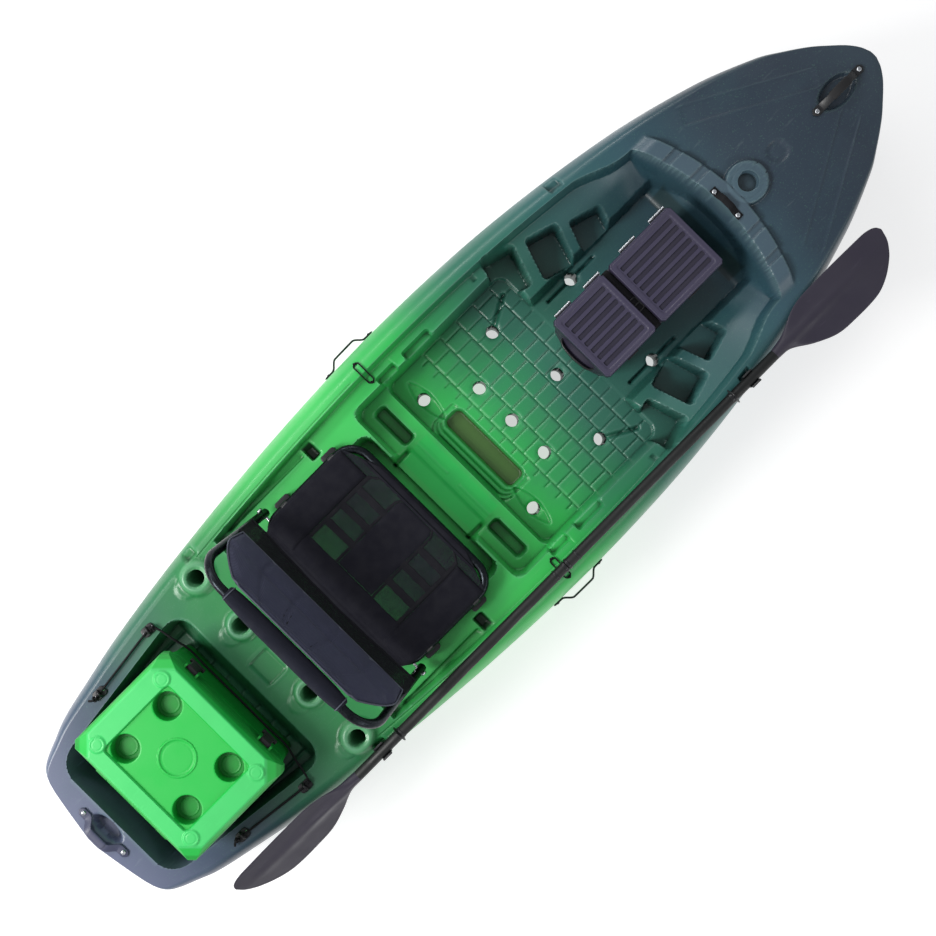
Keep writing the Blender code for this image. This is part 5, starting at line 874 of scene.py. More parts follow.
class Finish:
    """A procedural material: one Principled shader with grain, painted shade, worn and highlighted edges and
    bump on it.
    """

    def __init__(self, name, colour, rough, metal=0.0, coat=0.0, sheen=0.0):
        self.material = bpy.data.materials.new(name)
        self.material.use_nodes = True
        self.tree = self.material.node_tree
        self.shader = self.tree.nodes["Principled BSDF"]
        self.colour = colour
        self.rough = rough
        self.last_normal = None
        self.set(self.shader, "Base Color", colour)
        self.set(self.shader, "Roughness", rough)
        self.set(self.shader, "Metallic", metal)
        self.set(self.shader, "Coat Weight", coat)
        self.set(self.shader, "Coat Roughness", 0.18)
        self.set(self.shader, "Sheen Weight", sheen)
        self.place = self.tree.nodes.new("ShaderNodeTexCoord").outputs["Object"]

    def set(self, node, socket, value):
        """Set a socket to a value, or link it to another socket."""
        if isinstance(value, bpy.types.NodeSocket):
            self.tree.links.new(value, node.inputs[socket])
        else:
            node.inputs[socket].default_value = value

    def node(self, kind, inputs=None, **settings):
        """New node with its inputs and settings."""
        node = self.tree.nodes.new(kind)
        for key, value in settings.items():
            setattr(node, key, value)
        for key, value in (inputs or {}).items():
            self.set(node, key, value)
        return node

    def noise(self, scale, detail=4.0, stretch=(1, 1, 1)):
        """Noise of a scale, stretched along the axes."""
        place = self.place
        if stretch != (1, 1, 1):
            place = self.node("ShaderNodeMapping", {"Vector": place, "Scale": stretch}).outputs[0]
        node = self.node("ShaderNodeTexNoise", {"Vector": place, "Scale": scale, "Detail": detail})
        return node.outputs["Fac"]

    def wave(self, scale, axis, distortion):
        """Bands across an axis."""
        inputs = {"Vector": self.place, "Scale": scale, "Distortion": distortion}
        node = self.node("ShaderNodeTexWave", inputs, bands_direction=axis, wave_profile="SIN")
        return node.outputs["Fac"]

    def math(self, operation, a, b=0.5):
        """Sum, product or other operation of two values."""
        return self.node("ShaderNodeMath", {0: a, 1: b}, operation=operation).outputs[0]

    def span(self, value, low, high, start, end):
        """Map a value from one range onto another."""
        inputs = {"Value": value, "From Min": low, "From Max": high, "To Min": start, "To Max": end}
        return self.node("ShaderNodeMapRange", inputs).outputs["Result"]

    def mix(self, share, a, b, blend="MIX"):
        """Mix of two colours."""
        node = self.node("ShaderNodeMix", {"Factor": share}, data_type="RGBA", blend_type=blend)
        self.set(node, 6, a)
        self.set(node, 7, b)
        return node.outputs[2]

    def paint(self, colour):
        """Use a colour on the shader."""
        self.colour = colour
        self.set(self.shader, "Base Color", colour)

    def stain(self, share, colour):
        """Mix another colour in by a share."""
        self.paint(self.mix(share, self.colour, colour))

    def disc(self, split, centre, radius, edge, most):
        """Share inside a circle on either side of the hull, fading over an edge."""
        dx = self.math("SUBTRACT", split.outputs["X"], centre[0])
        dy = self.math("SUBTRACT", self.math("ABSOLUTE", split.outputs["Y"]), centre[1])
        square = self.math("ADD", self.math("MULTIPLY", dx, dx), self.math("MULTIPLY", dy, dy))
        return self.span(self.math("SQRT", square), radius - edge, radius, most, 0.0)

    def patch(self, split, centre, half, edge):
        """Share inside a rectangle on either side of the hull, fading over an edge."""
        dx = self.math("ABSOLUTE", self.math("SUBTRACT", split.outputs["X"], centre[0]))
        dy = self.math("SUBTRACT", self.math("ABSOLUTE", split.outputs["Y"]), centre[1])
        long = self.span(dx, half[0], half[0] + edge, 1.0, 0.0)
        wide = self.span(self.math("ABSOLUTE", dy), half[1], half[1] + edge, 1.0, 0.0)
        return self.math("MULTIPLY", long, wide)

    def paint_hollow_shade(self, reach, low, high, most):
        """Paint shade into what lies deep between walls closer than a reach."""
        node = self.node("ShaderNodeAmbientOcclusion", {"Distance": reach}, samples=4, only_local=True)
        share = self.span(node.outputs["AO"], low, high, most, 0.0)
        self.paint(self.mix(share, self.colour, PAINTED_SHADE, "MULTIPLY"))

    def shade_creases_and_brighten_edges(self, most, colour):
        """Paint shade into the creases of the mesh and lighten its edges, which stands for worn edges and a
        painted highlight.
        """
        point = self.node("ShaderNodeNewGeometry").outputs["Pointiness"]
        # Painted shade in the creases
        self.paint(self.mix(self.span(point, 0.44, 0.492, most, 0.0), self.colour, PAINTED_SHADE, "MULTIPLY"))
        # Lighter edges: worn edges and a painted highlight
        self.stain(self.span(point, 0.51, 0.56, 0.0, most * 0.6), colour)

    def polish(self, value, low, high):
        """Vary the roughness between two values."""
        self.set(self.shader, "Roughness", self.span(value, 0.35, 0.65, low, high))

    def bump(self, height, strength, distance=0.001):
        """Add a bump on top of those before it."""
        inputs = {"Height": height, "Strength": strength, "Distance": distance}
        if self.last_normal:
            inputs["Normal"] = self.last_normal
        self.last_normal = self.node("ShaderNodeBump", inputs).outputs["Normal"]
        self.set(self.shader, "Normal", self.last_normal)


HULL_COLOURS = (
    (-1.52, (96, 102, 130)), (-1.30, (62, 76, 98)), (-1.19, (56, 80, 92)), (-1.08, (50, 98, 84)),
    (-0.915, (44, 118, 74)), (-0.75, (46, 136, 72)), (-0.53, (64, 178, 88)), (-0.26, (64, 194, 92)),
    (0.015, (44, 178, 82)), (0.152, (44, 142, 86)), (0.288, (46, 112, 90)), (0.562, (46, 98, 96)),
    (0.835, (48, 80, 92)), (1.05, (42, 58, 72)), (1.30, (42, 54, 68)), (1.52, (52, 66, 78)),
)


# Painted shade in the seat notch and at the basin's front beside the tackle box, and a more saturated green
# on the low pass: centre, half size, share and colour
PAINTED_SHADE_AND_TINT_PATCHES = (
    ((-0.345, 0.334), (0.012, 0.020), 0.92, (8, 30, 18)),
    ((0.860, 0.060), (0.020, 0.100), 0.55, (22, 34, 26)),
    ((-0.140, 0.0), (0.048, 0.140), 0.45, (22, 200, 88)),
)


def hull_finish():
    """Rotomoulded plastic, its colour running from slate through green to slate along the hull."""
    finish = Finish("hull_plastic", shade(60, 150, 95), 0.34, coat=0.12)
    split = finish.node("ShaderNodeSeparateXYZ", {"Vector": finish.place})
    cloud = finish.noise(3.2, 3.0, (1.0, 1.6, 1.6))
    shift = finish.math("MULTIPLY", finish.math("SUBTRACT", cloud), 0.16)
    place = finish.math("ADD", split.outputs["X"], shift)
    share = finish.span(place, X_TRANSOM, X_TRANSOM + LENGTH, 0.0, 1.0)
    ramp_node = finish.node("ShaderNodeValToRGB", {"Fac": share})
    stops = ramp_node.color_ramp.elements
    while len(stops) < len(HULL_COLOURS):
        stops.new(0.5)
    for stop, (x, colour) in zip(stops, HULL_COLOURS):
        stop.position = (x - X_TRANSOM) / LENGTH
        stop.color = shade(*colour)
    finish.paint(ramp_node.outputs["Color"])
    swirl = finish.noise(7.0, 6.0, (0.7, 1.5, 1.5))
    finish.stain(finish.span(swirl, 0.55, 0.80, 0.0, 0.22), shade(52, 84, 92))
    speck = finish.noise(240.0, 2.0)
    finish.stain(finish.span(speck, 0.60, 0.75, 0.0, 0.20), shade(96, 150, 120))
    scuff = finish.noise(38.0, 5.0, (0.25, 2.0, 2.0))
    finish.stain(finish.span(scuff, 0.66, 0.78, 0.0, 0.07), shade(176, 196, 190))
    # Painted highlight: a lighter slate tone on the raised breakwater band, fading towards its ends
    across = finish.math("ABSOLUTE", split.outputs["Y"])
    flat = finish.math("MULTIPLY", across, across)
    curve_back = finish.math("MULTIPLY", flat, BREAKWATER_SWEEP / BREAKWATER_HALF**2)
    from_edge = finish.math("SUBTRACT", curve_back, X_BASIN_FORE - BREAKWATER_BACK)
    along = finish.math("ADD", split.outputs["X"], from_edge)
    begin = finish.span(along, 0.0, 0.004, 0.0, 1.0)
    stop = finish.span(along, BREAKWATER_WIDTH - 0.004, BREAKWATER_WIDTH + 0.001, 1.0, 0.0)
    band_share = finish.math("MULTIPLY", begin, stop)
    ends = finish.span(across, BREAKWATER_HALF - 0.02, BREAKWATER_HALF + 0.01, 0.40, 0.0)
    finish.stain(finish.math("MULTIPLY", band_share, ends), shade(88, 104, 118))
    # Painted highlight on the raised boss
    finish.stain(finish.disc(split, (BOSS_X, 0.0), BOSS_RADIUS, 0.004, 0.34), shade(96, 122, 134))
    # Painted highlight on the rod holders' raised flanges and collars
    for place_x, spacing, radius in ROD_HOLDERS:
        finish.stain(finish.disc(split, (place_x, spacing), radius, 0.006, 0.20), shade(150, 220, 170))
    # Painted shade: a dark olive on the floor of the deep cross slot
    slot = finish.patch(split, SLOT_PLACE, (SLOT_REACH - 0.006, SLOT_HALF - 0.008), 0.006)
    depth = finish.span(split.outputs["Z"], 0.125, 0.135, 0.85, 0.0)
    finish.stain(finish.math("MULTIPLY", slot, depth), shade(78, 92, 46))
    # Painted shade in the seat notch and the basin's front, and the pass's green tint
    for centre, half, most, colour in PAINTED_SHADE_AND_TINT_PATCHES:
        share = finish.patch(split, centre, half, 0.006)
        finish.stain(finish.math("MULTIPLY", share, most), shade(*colour))
    # Painted shade in deep and in narrow recesses
    finish.paint_hollow_shade(0.16, 0.10, 0.56, 0.70)
    finish.paint_hollow_shade(0.022, 0.22, 0.72, 0.55)
    # Painted shade in the creases, and lighter edges that stand for both worn edges and a painted highlight
    finish.shade_creases_and_brighten_edges(0.34, shade(128, 160, 156))
    finish.polish(finish.noise(5.0, 6.0), 0.30, 0.48)
    finish.bump(finish.noise(9.0, 2.0), 0.30, 0.0018)
    finish.bump(finish.noise(620.0, 2.0), 0.16, 0.0005)
    return finish.material


def plastic_finish(name, colour, rough, shaded=0.0, low=()):
    """Moulded plastic with a fine grain, slight fading and scuffs.

    shaded paints shade into its recesses, and each of low is a colour of painted shade, its share
    and the height below which it shows.
    """
    finish = Finish(name, shade(*colour), rough)
    light = tuple(min(255, c + 26) for c in colour)
    dark = tuple(int(c * 0.72) for c in colour)
    finish.stain(finish.span(finish.noise(6.0, 5.0), 0.45, 0.75, 0.0, 0.24), shade(*dark))
    scuff = finish.noise(55.0, 6.0, (0.4, 2.2, 1.0))
    finish.stain(finish.span(scuff, 0.62, 0.78, 0.0, 0.24), shade(*light))
    height = finish.node("ShaderNodeSeparateXYZ", {"Vector": finish.place}).outputs["Z"]
    # Painted shade: a darker colour below each height, on recesses and lower faces under the lit top
    for below, most, level in low:
        finish.stain(finish.span(height, level - 0.0012, level + 0.0012, most, 0.0), shade(*below))
    # Painted shade in the recesses
    if shaded:
        finish.paint_hollow_shade(0.035, 0.20, 0.80, shaded)
    finish.polish(finish.noise(12.0, 6.0), max(rough - 0.10, 0.05), rough + 0.12)
    finish.bump(finish.noise(18.0, 2.0), 0.12, 0.0008)
    finish.bump(finish.noise(650.0, 2.0), 0.25, 0.0004)
    return finish.material


def metal_finish(name, colour, rough):
    """Metal with brushed grain and light tarnish."""
    finish = Finish(name, shade(*colour), rough, metal=1.0)
    tarnish = tuple(int(c * 0.62) for c in colour)
    finish.stain(finish.span(finish.noise(60.0, 6.0), 0.55, 0.75, 0.0, 0.35), shade(*tarnish))
    finish.polish(finish.noise(160.0, 4.0), rough - 0.10, rough + 0.16)
    finish.bump(finish.noise(420.0, 3.0), 0.15, 0.0003)
    return finish.material


def web_finish(name, colour, pitch, rough):
    """Woven cloth: warp and weft, slight fading and fuzz."""
    finish = Finish(name, shade(*colour), rough, sheen=CLOTH_SHEEN)
    finish.set(finish.shader, "Specular IOR Level", 0.22)
    turn = 2 * math.pi / pitch / 20
    warp = finish.wave(turn, "X", 0.4)
    weft = finish.wave(turn, "DIAGONAL", 0.4)
    weave = finish.math("MULTIPLY", warp, weft)
    light = tuple(min(255, int(c * 1.35) + 6) for c in colour)
    finish.stain(finish.span(weave, 0.1, 0.9, 0.0, 0.5), shade(*light))
    dark = tuple(int(c * 0.6) for c in colour)
    finish.stain(finish.span(finish.noise(14.0, 5.0), 0.45, 0.75, 0.0, 0.2), shade(*dark))
    finish.polish(finish.noise(30.0, 5.0), rough - 0.08, rough + 0.10)
    finish.bump(weave, 0.6, 0.0006)
    finish.bump(finish.noise(900.0, 3.0), 0.2, 0.0004)
    return finish.material


def piece(obj, body, slot, *nodes):
    """Let a piece ride a body and hide the CAD nodes that it stands for; slot is not used."""
    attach(obj, body)
    if nodes:
        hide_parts(*nodes)
    return obj


def refined(node, name, material, width, segments):
    """Copy of a CAD node's mesh with its flat faces merged and its edges rounded by a width."""
    bm = bmesh.new()
    bm.from_mesh(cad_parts[node].data)
    bmesh.ops.remove_doubles(bm, verts=bm.verts[:], dist=1e-5)
    bmesh.ops.dissolve_limit(bm, angle_limit=math.radians(1.5), verts=bm.verts[:], edges=bm.edges[:])
    mesh = bpy.data.meshes.new(name)
    bm.to_mesh(mesh)
    bm.free()
    mesh.materials.clear()
    mesh.materials.append(material)
    obj = bpy.data.objects.new(name, mesh)
    bpy.context.scene.collection.objects.link(obj)
    modifier = obj.modifiers.new("edges", "BEVEL")
    modifier.width = width
    modifier.segments = segments
    modifier.limit_method = "ANGLE"
    modifier.angle_limit = math.radians(35)
    modifier.miter_outer = "MITER_ARC"
    bake(obj)
    obj.data.shade_smooth()
    obj.data.set_sharp_from_angle(angle=math.radians(35))
    return obj


def directions(points, closed=False):
    """Direction of a line at each of its points."""
    points = np.asarray([tuple(p) for p in points], float)
    if closed:
        step = np.roll(points, -1, 0) - np.roll(points, 1, 0)
    else:
        step = np.gradient(points, axis=0)
    return step / np.maximum(np.linalg.norm(step, axis=1), 1e-9)[:, None]


def sweep(name, points, sections, across, material, closed=False, sharp=35):
    """Surface over cross-sections of (side, up) points carried along a line."""
    points = np.asarray([tuple(p) for p in points], float)
    along = directions(points, closed)
    if not np.ndim(across[0]):
        across = np.tile(across, (len(points), 1))
    side = np.asarray([tuple(a) for a in across], float)
    side = side - along * np.sum(side * along, axis=1)[:, None]
    side = side / np.maximum(np.linalg.norm(side, axis=1), 1e-9)[:, None]
    up = np.cross(along, side)
    rings = []
    for i, section in enumerate(sections):
        section = np.asarray(section, float)
        rings.append(points[i] + section[:, :1] * side[i] + section[:, 1:2] * up[i])
    return skin(name, rings, material, sharp, closed=closed)


def band(name, points, width, thickness, across, material, sides=4, swell=None):
    """Flat strap with rounded edges; swell scales its width and thickness along it."""
    sections = []
    for i in range(len(points)):
        scale = 1.0 if swell is None else swell[i]
        half, thick = width / 2 * scale, thickness / 2 * min(scale, 1.0)
        ring = []
        for centre, start in ((half - thick, -90), (-(half - thick), 90)):
            for step in range(sides + 1):
                turn = math.radians(start + 180 * step / sides)
                ring.append((centre + thick * math.cos(turn), thick * math.sin(turn)))
        sections.append(ring)
    return sweep(name, points, sections, across, material)


def carried_sides(points, closed=False):
    """A direction square to a line at each of its points, turning as little as it can."""
    along = directions(points, closed)
    side = [np.array(Vector(along[0]).orthogonal().normalized())]
    for way in along[1:]:
        carried = side[-1] - way * np.dot(side[-1], way)
        side.append(carried / np.linalg.norm(carried))
    return side


def tube(name, points, radius, material, sides=16, closed=False, tips=True):
    """Round tube along a line, its ends rounded off unless tips is False."""
    points = [np.asarray(tuple(p), float) for p in points]
    radii = [radius] * len(points)
    if tips and not closed:
        start = (points[0] - points[1]) / np.linalg.norm(points[0] - points[1])
        end = (points[-1] - points[-2]) / np.linalg.norm(points[-1] - points[-2])
        for share, reach in ((0.86, 0.30), (0.45, 0.52)):
            out = radius * reach * 0.6
            points = [points[0] + start * out] + points + [points[-1] + end * out]
            radii = [radius * share] + radii + [radius * share]
    side = carried_sides(points, closed)
    turns = [2 * math.pi * k / sides for k in range(sides)]
    sections = [[(r * math.cos(t), r * math.sin(t)) for t in turns] for r in radii]
    return sweep(name, points, sections, side, material, closed, 60)


def smooth_route(points, count):
    """Evenly many points on the smooth curve through the given points."""
    points = np.asarray([tuple(p) for p in points], float)
    spans = route_spans(points)
    steps = np.linspace(0, spans[-1], count)
    return np.stack([curve(list(zip(spans, points[:, k])), steps) for k in range(3)], axis=1)


def prism(name, outline, low, high, matrix=None):
    """Upright solid over an outline of (x, y) points, moved by a matrix, for cutters."""
    rings = [[(x, y, z) for x, y in outline] for z in (low, high)]
    obj = skin(name, rings, None)
    if matrix:
        obj.data.transform(matrix)
    return obj


def rounded_outline(low_x, high_x, low_y, high_y, radius, steps=6):
    """Rounded rectangle as (x, y) points."""
    points = []
    corners = ((high_x, high_y, 0), (low_x, high_y, 90), (low_x, low_y, 180), (high_x, low_y, 270))
    for x, y, start in corners:
        cx = x - radius if x == high_x else x + radius
        cy = y - radius if y == high_y else y + radius
        for step in range(steps + 1):
            turn = math.radians(start + 90 * step / steps)
            points.append((cx + radius * math.cos(turn), cy + radius * math.sin(turn)))
    return points


def soft_block(name, low, high, radius, edge, material=None, steps=5):
    """Block with rounded upright corners and rounded top and bottom edges."""
    rings = []
    for end in (0, 1):
        turns = [math.pi / 2 * s / 3 for s in range(4)]
        for turn in turns if end == 0 else turns[::-1]:
            inset = edge * (1 - math.sin(turn))
            rise = edge * (1 - math.cos(turn))
            z = low[2] + rise if end == 0 else high[2] - rise
            sides = (low[0] + inset, high[0] - inset, low[1] + inset, high[1] - inset)
            outline = rounded_outline(*sides, max(radius - inset, 0.0004), steps)
            rings.append([(x, y, z) for x, y in outline])
    return skin(name, rings, material, 40)


def deck_frame(x, y, lift):
    """Frame on the deck at (x, y): Z along the deck's normal, X towards the bow."""
    step = 0.003
    inner = min(abs(y), float(gunwale_half(x)) - step)
    ahead = float(deck_height(x + step, y) - deck_height(x - step, y))
    aside = float(deck_height(x, inner + step) - deck_height(x, inner - step)) * (-1 if y < 0 else 1)
    normal = Vector((-ahead, -aside, 2 * step)).normalized()
    side = normal.cross(Vector((1, 0, 0))).normalized()
    matrix = Matrix((side.cross(normal), side, normal)).transposed().to_4x4()
    matrix.translation = Vector((x, y, float(deck_height(x, y)))) + normal * lift
    return matrix


def build_screws(material):
    """Round-headed screws with a cross recess, in place of the CAD ones."""
    for node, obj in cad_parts.items():
        if "screw" not in node:
            continue
        low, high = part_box(node)
        points = [v.co for v in obj.data.vertices]
        top = max(points, key=lambda p: p.z)
        head = [p for p in points if p.z > top.z - 0.0045]
        centre = sum(head, Vector()) / len(head)
        base = deck_frame(centre.x, centre.y, 0.0)
        tilt = base.to_3x3()
        axis = tilt @ Vector((0, 0, 1))
        start = Vector((centre.x, centre.y, low.z + 0.001))
        length = high.z - start.z
        radius = (high.x - low.x) / 2 * 0.98
        profile = (
            (0.0026, 0.0), (0.0026, length - 0.0042), (radius, length - 0.0041), (radius, length - 0.0030),
            (radius * 0.90, length - 0.0014), (radius * 0.62, length - 0.0004),
            (radius * 0.2, length - 0.0001),
        )
        body = turned(node + "_fine", start, axis, profile, 28, material)
        arm, thin = radius * 0.52, radius * 0.13
        quarter = [(arm, thin), (thin, thin), (thin, arm)]
        cross = quarter + [(-a, b) for a, b in quarter[::-1]]
        cross += [(-a, -b) for a, b in cross]
        matrix = Matrix.Translation(start) @ tilt.to_4x4() @ Matrix.Rotation(0.6 + 9 * centre.x, 4, "Z")
        cut(body, [prism("cross", cross, length - 0.0024, length + 0.004, matrix)])
        piece(body, "hull", "steel", node)


def pad_stations(length, pad, steps):
    """Places along a strap as (distance, share of its arch), with a flat pad at both ends."""
    ends = [pad * i / 4 for i in range(5)]
    arch = [(pad + (length - 2 * pad) * i / steps, i / steps) for i in range(1, steps)]
    return [(d, 0.0) for d in ends] + arch + [(length - d, 0.0) for d in reversed(ends)]


STRAP_WIDTH = 0.024
STRAP_THICKNESS = 0.006
GRIP_THICKNESS = STRAP_THICKNESS * 1.9
FIT_GAP = 0.0007
BOW_HANDLE = (1.251, 0.186, 0.028)
STRAP_PAD = 0.030
STERN_HANDLE = (X_TRANSOM + 0.053, 0.076, 0.022, 0.012)
LOOP = (0.926, 0.045, 0.020, 0.0025, 0.014)


def strap_swell(places, length):
    """Width along a carry strap: its ends rounded, its grip a little narrower."""
    swell = []
    for d, arch in places:
        end = min(d, length - d)
        tip = math.sqrt(max(1 - (1 - min(end / 0.009, 1.0)) ** 2, 0.05))
        swell.append(tip * (1 - 0.10 * float(ramp(min(arch, 1 - arch), 0.0, 0.2))))
    return swell


def build_carry_handles(material, grip_material, stern_material):
    """Bow and stern carry handles with their moulded grips."""
    start, length, rise = BOW_HANDLE
    base = STRAP_THICKNESS / 2 + FIT_GAP
    places = pad_stations(length, STRAP_PAD, 24)
    points = []
    for d, arch in places:
        x = start + d
        lift = base + rise * math.sin(math.pi * arch) ** 0.8
        points.append((x, 0.0, float(deck_height(x, 0.0)) + lift))
    swell = strap_swell(places, length)
    handle = band("bow_handle_strap", points, STRAP_WIDTH, STRAP_THICKNESS, (0, 1, 0), material, 5, swell)
    middle = [p for p, (d, arch) in zip(points, places) if 0.22 < arch < 0.78]
    ribs = [1.0 + 0.10 * (i % 2) for i in range(len(middle))]
    width = STRAP_WIDTH * 1.02
    grip = band("bow_handle_grip", middle, width, GRIP_THICKNESS, (0, 1, 0), grip_material, 6, ribs)
    piece(handle, "hull", "black_plastic", "bow_handle")
    piece(grip, "hull", "black_plastic")
    x, half, reach_aft, rise = STERN_HANDLE
    reach = half + STRAP_PAD / 2
    points = []
    places = pad_stations(2 * reach, STRAP_PAD, 28)
    for d, arch in places:
        bow = float(ramp(min(arch, 1 - arch), 0.0, 0.25))
        px = x - reach_aft * bow
        points.append((px, d - reach, float(deck_height(px, d - reach)) + base + rise * bow))
    swell = strap_swell(places, 2 * reach)
    size = (STRAP_WIDTH, STRAP_THICKNESS)
    handle = band("stern_handle_strap", points, *size, (1, 0, 0), stern_material, 5, swell)
    middle = [p for p, (d, arch) in zip(points, places) if 0.26 < arch < 0.74]
    ribs = [0.98 + 0.07 * (i % 2) for i in range(len(middle))]
    grip = band("stern_handle_grip", middle, STRAP_WIDTH, GRIP_THICKNESS, (1, 0, 0), stern_material, 6, ribs)
    piece(handle, "hull", "black_plastic", "stern_handle")
    piece(grip, "hull", "black_plastic")


def build_breakwater_loop(material):
    """Webbing loop on the breakwater, arched between its flat ends; the arch takes up 12 mm."""
    x, half, width, thick, rise = LOOP
    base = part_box("breakwater_loop")[0].z + thick / 2 + 0.0006
    reach = half + 0.010
    points = []
    for d, arch in pad_stations(2 * reach, 0.020, 20):
        y = d - reach
        lift = rise * float(ramp(min(arch, 1 - arch), 0.0, 0.3))
        points.append((x - 0.0006 * lift / rise, y, base + lift + 0.0008 * (1 - (y / reach) ** 2)))
    loop = band("breakwater_webbing", points, width, thick, (1, 0, 0), material, 3)
    piece(loop, "hull", "cord", "breakwater_loop")


def build_side_handles(material):
    """Bowed side handles, flat on the hull at both ends, with a rivet in each pad."""
    start, end = X_FLOOR_AFT - 0.103, X_FLOOR_AFT + 0.086
    for side, label in SIDES:
        points = []
        for x in np.linspace(start, end, 41):
            inner = (min(x - start, end - x) - 0.030) / 0.030
            y = float(half_beam(x)) + 0.0025 + FIT_GAP + 0.020 * float(ramp(inner, 0.0, 1.0))
            points.append((x, side * y, WIDEST_HEIGHT * float(gunwale_height(x))))
        spans = np.linspace(0, end - start, 41)
        ends = [min(min(d, spans[-1] - d) / 0.006, 1.0) for d in spans]
        swell = [math.sqrt(max(1 - (1 - end) ** 2, 0.05)) for end in ends]
        strap = band(f"side_handle_strap_{label}", points, 0.0145, 0.005, (0, 0, 1), material, 5, swell)
        piece(strap, "hull", "black_plastic", f"side_handle_{label}")
        for place in (points[3], points[-4]):
            rivet = turned("side_handle_rivet", place, (0, side, 0), (
                (0.0042, 0.0), (0.0042, 0.0030), (0.0034, 0.0042), (0.0016, 0.0048)), 20, material)
            piece(rivet, "hull", "black_plastic")


def eye_places():
    """Each tank well pad eye as (name, x, y)."""
    places = []
    for end, x in (("fore", X_TANK_FORE - 0.091), ("aft", X_TANK_FORE - 0.304)):
        share = (x - X_TANK_AFT) / (X_TANK_FORE - X_TANK_AFT)
        spread = TANK_AFT_HALF + (TANK_FORE_HALF - TANK_AFT_HALF) * share + 0.031
        for side, label in SIDES:
            places.append((f"pad_eye_{end}_{label}", x, side * spread))
    return places


def build_pad_eyes(material, steel):
    """Pad eyes: a rounded base with two small rivets and a smooth arch."""
    for name, x, y in eye_places():
        matrix = deck_frame(x, y, 0.0003)
        low, high = (-0.020, -0.014, 0.0), (0.020, 0.014, 0.005)
        base = soft_block(name + "_base", low, high, 0.009, 0.0016, material)
        base.data.transform(matrix)
        arch = []
        for step in range(19):
            turn = math.pi * step / 18
            out, up = 0.0130 * math.cos(turn) * 0.80, 0.0130 * math.sin(turn)
            arch.append(matrix @ Vector((0, out, 0.0040 + up)))
        ring = tube(name + "_arch", arch, 0.0035, material, 16, tips=False)
        piece(base, "hull", "black_plastic", name)
        piece(ring, "hull", "black_plastic")
        for end in (-1, 1):
            foot = matrix @ Vector((end * 0.0145, 0, 0.0046))
            rivet = turned(name + "_rivet", foot, matrix.to_3x3() @ Vector((0, 0, 1)), (
                (0.0034, 0.0), (0.0034, 0.0010), (0.0024, 0.0019), (0.0008, 0.0022)), 18, steel)
            piece(rivet, "hull", "steel")


BUNGEE_RADIUS = 0.0032
BUNGEE_Z = 0.290
BRAID_PITCH, BRAID_STRANDS, BRAID_SIDES = 0.011, 8, 24


def bungee_route():
    """Points of the cord from the aft eyes through the fore eyes and across the box's front."""
    places = {n: Vector((x, y, float(deck_height(x, y)) + 0.0096)) for n, x, y in eye_places()}
    aft, fore = places["pad_eye_aft_port"], places["pad_eye_fore_port"]
    front = BOX_FRONT - 0.0003
    half = [
        aft + Vector((-0.012, -0.0015, 0.0005)), aft, aft + Vector((0.016, 0.002, 0.0)),
        fore + Vector((-0.016, -0.002, 0.0)), fore + Vector((0.004, -0.0006, 0.0)),
        fore + Vector((0.020, -0.010, 0.001)),
        Vector((front + 0.002, 0.238, 0.34625)), Vector((front + 0.003, 0.186, 0.302)),
        Vector((front, 0.126, 0.292)), Vector((front, 0.0, BUNGEE_Z)),
    ]
    return half + [Vector((p.x, -p.y, p.z)) for p in reversed(half[:-1])]


def route_spans(route):
    """Distance along a route to each of its points."""
    return np.concatenate([[0.0], np.cumsum(np.linalg.norm(np.diff(route, axis=0), axis=1))])


def braided(name, route, radius, material):
    """Cord with a braided cover: ridges that wind both ways round it."""
    sections = []
    for distance in route_spans(route):
        ring = []
        for k in range(BRAID_SIDES):
            turn = 2 * math.pi * k / BRAID_SIDES
            wind = 2 * math.pi * distance / BRAID_PITCH
            ridge = math.cos(BRAID_STRANDS / 2 * turn + wind) * math.cos(BRAID_STRANDS / 2 * turn - wind)
            r = radius * (0.965 + 0.05 * ridge)
            ring.append((r * math.cos(turn), r * math.sin(turn)))
        sections.append(ring)
    return sweep(name, route, sections, carried_sides(route), material, False, 60)


def knot(name, centre, axis, radius, material, size=2.1):
    """Overhand knot: a cord wound in a tight trefoil."""
    side, other = frame_of(axis)
    axis = Vector(axis).normalized()
    centre = Vector(centre)
    points = []
    steps = 72
    for step in range(steps):
        t = 2 * math.pi * step / steps
        a = radius * size * 0.52 * (math.sin(t) + 2 * math.sin(2 * t)) / 1.6
        b = radius * size * 0.52 * (math.cos(t) - 2 * math.cos(2 * t)) / 1.6
        c = radius * 0.92 * -math.sin(3 * t)
        points.append(centre + axis * a + side * b + other * c)
    return tube(name, points, radius * 0.92, material, 12, closed=True)


def build_bungee(material):
    """Bungee round the cool box, knotted behind the aft eyes, with short tails."""
    route = smooth_route(bungee_route(), 520)
    cord = braided("tank_bungee_braid", route, BUNGEE_RADIUS, material)
    piece(cord, "hull", "cord", "tank_bungee")
    extra = []
    for end, ahead in ((0, 6), (-1, -7)):
        start = Vector(route[end])
        away = (start - Vector(route[ahead])).normalized()
        side = 1 if start.y > 0 else -1
        label = "port" if side > 0 else "starboard"
        centre = start + away * 0.006 + Vector((0, 0, 0.003))
        extra.append(knot(f"bungee_knot_{label}", centre, away, BUNGEE_RADIUS, material))
        steps = ((0.008, 0.0, 0.004), (0.016, 0.004, 0.004), (0.022, 0.010, 0.001))
        tail = [start + away * out + Vector((0, side * aside, up)) for out, aside, up in steps]
        extra.append(tube("bungee_tail", smooth_route(tail, 12), BUNGEE_RADIUS, material, 12))
    for name, x, y in eye_places():
        if "fore" in name:
            side = 1 if y > 0 else -1
            hitch = Vector((x + 0.014, y - side * 0.003, float(deck_height(x, y)) + 0.0130))
            along = (1, -side * 0.4, 0)
            extra.append(knot("bungee_hitch", hitch, along, BUNGEE_RADIUS, material, 1.8))
    for obj in extra:
        piece(obj, "hull", "cord")


LOOP_RADIUS = 0.0020
LOOP_SPREAD = 0.0090


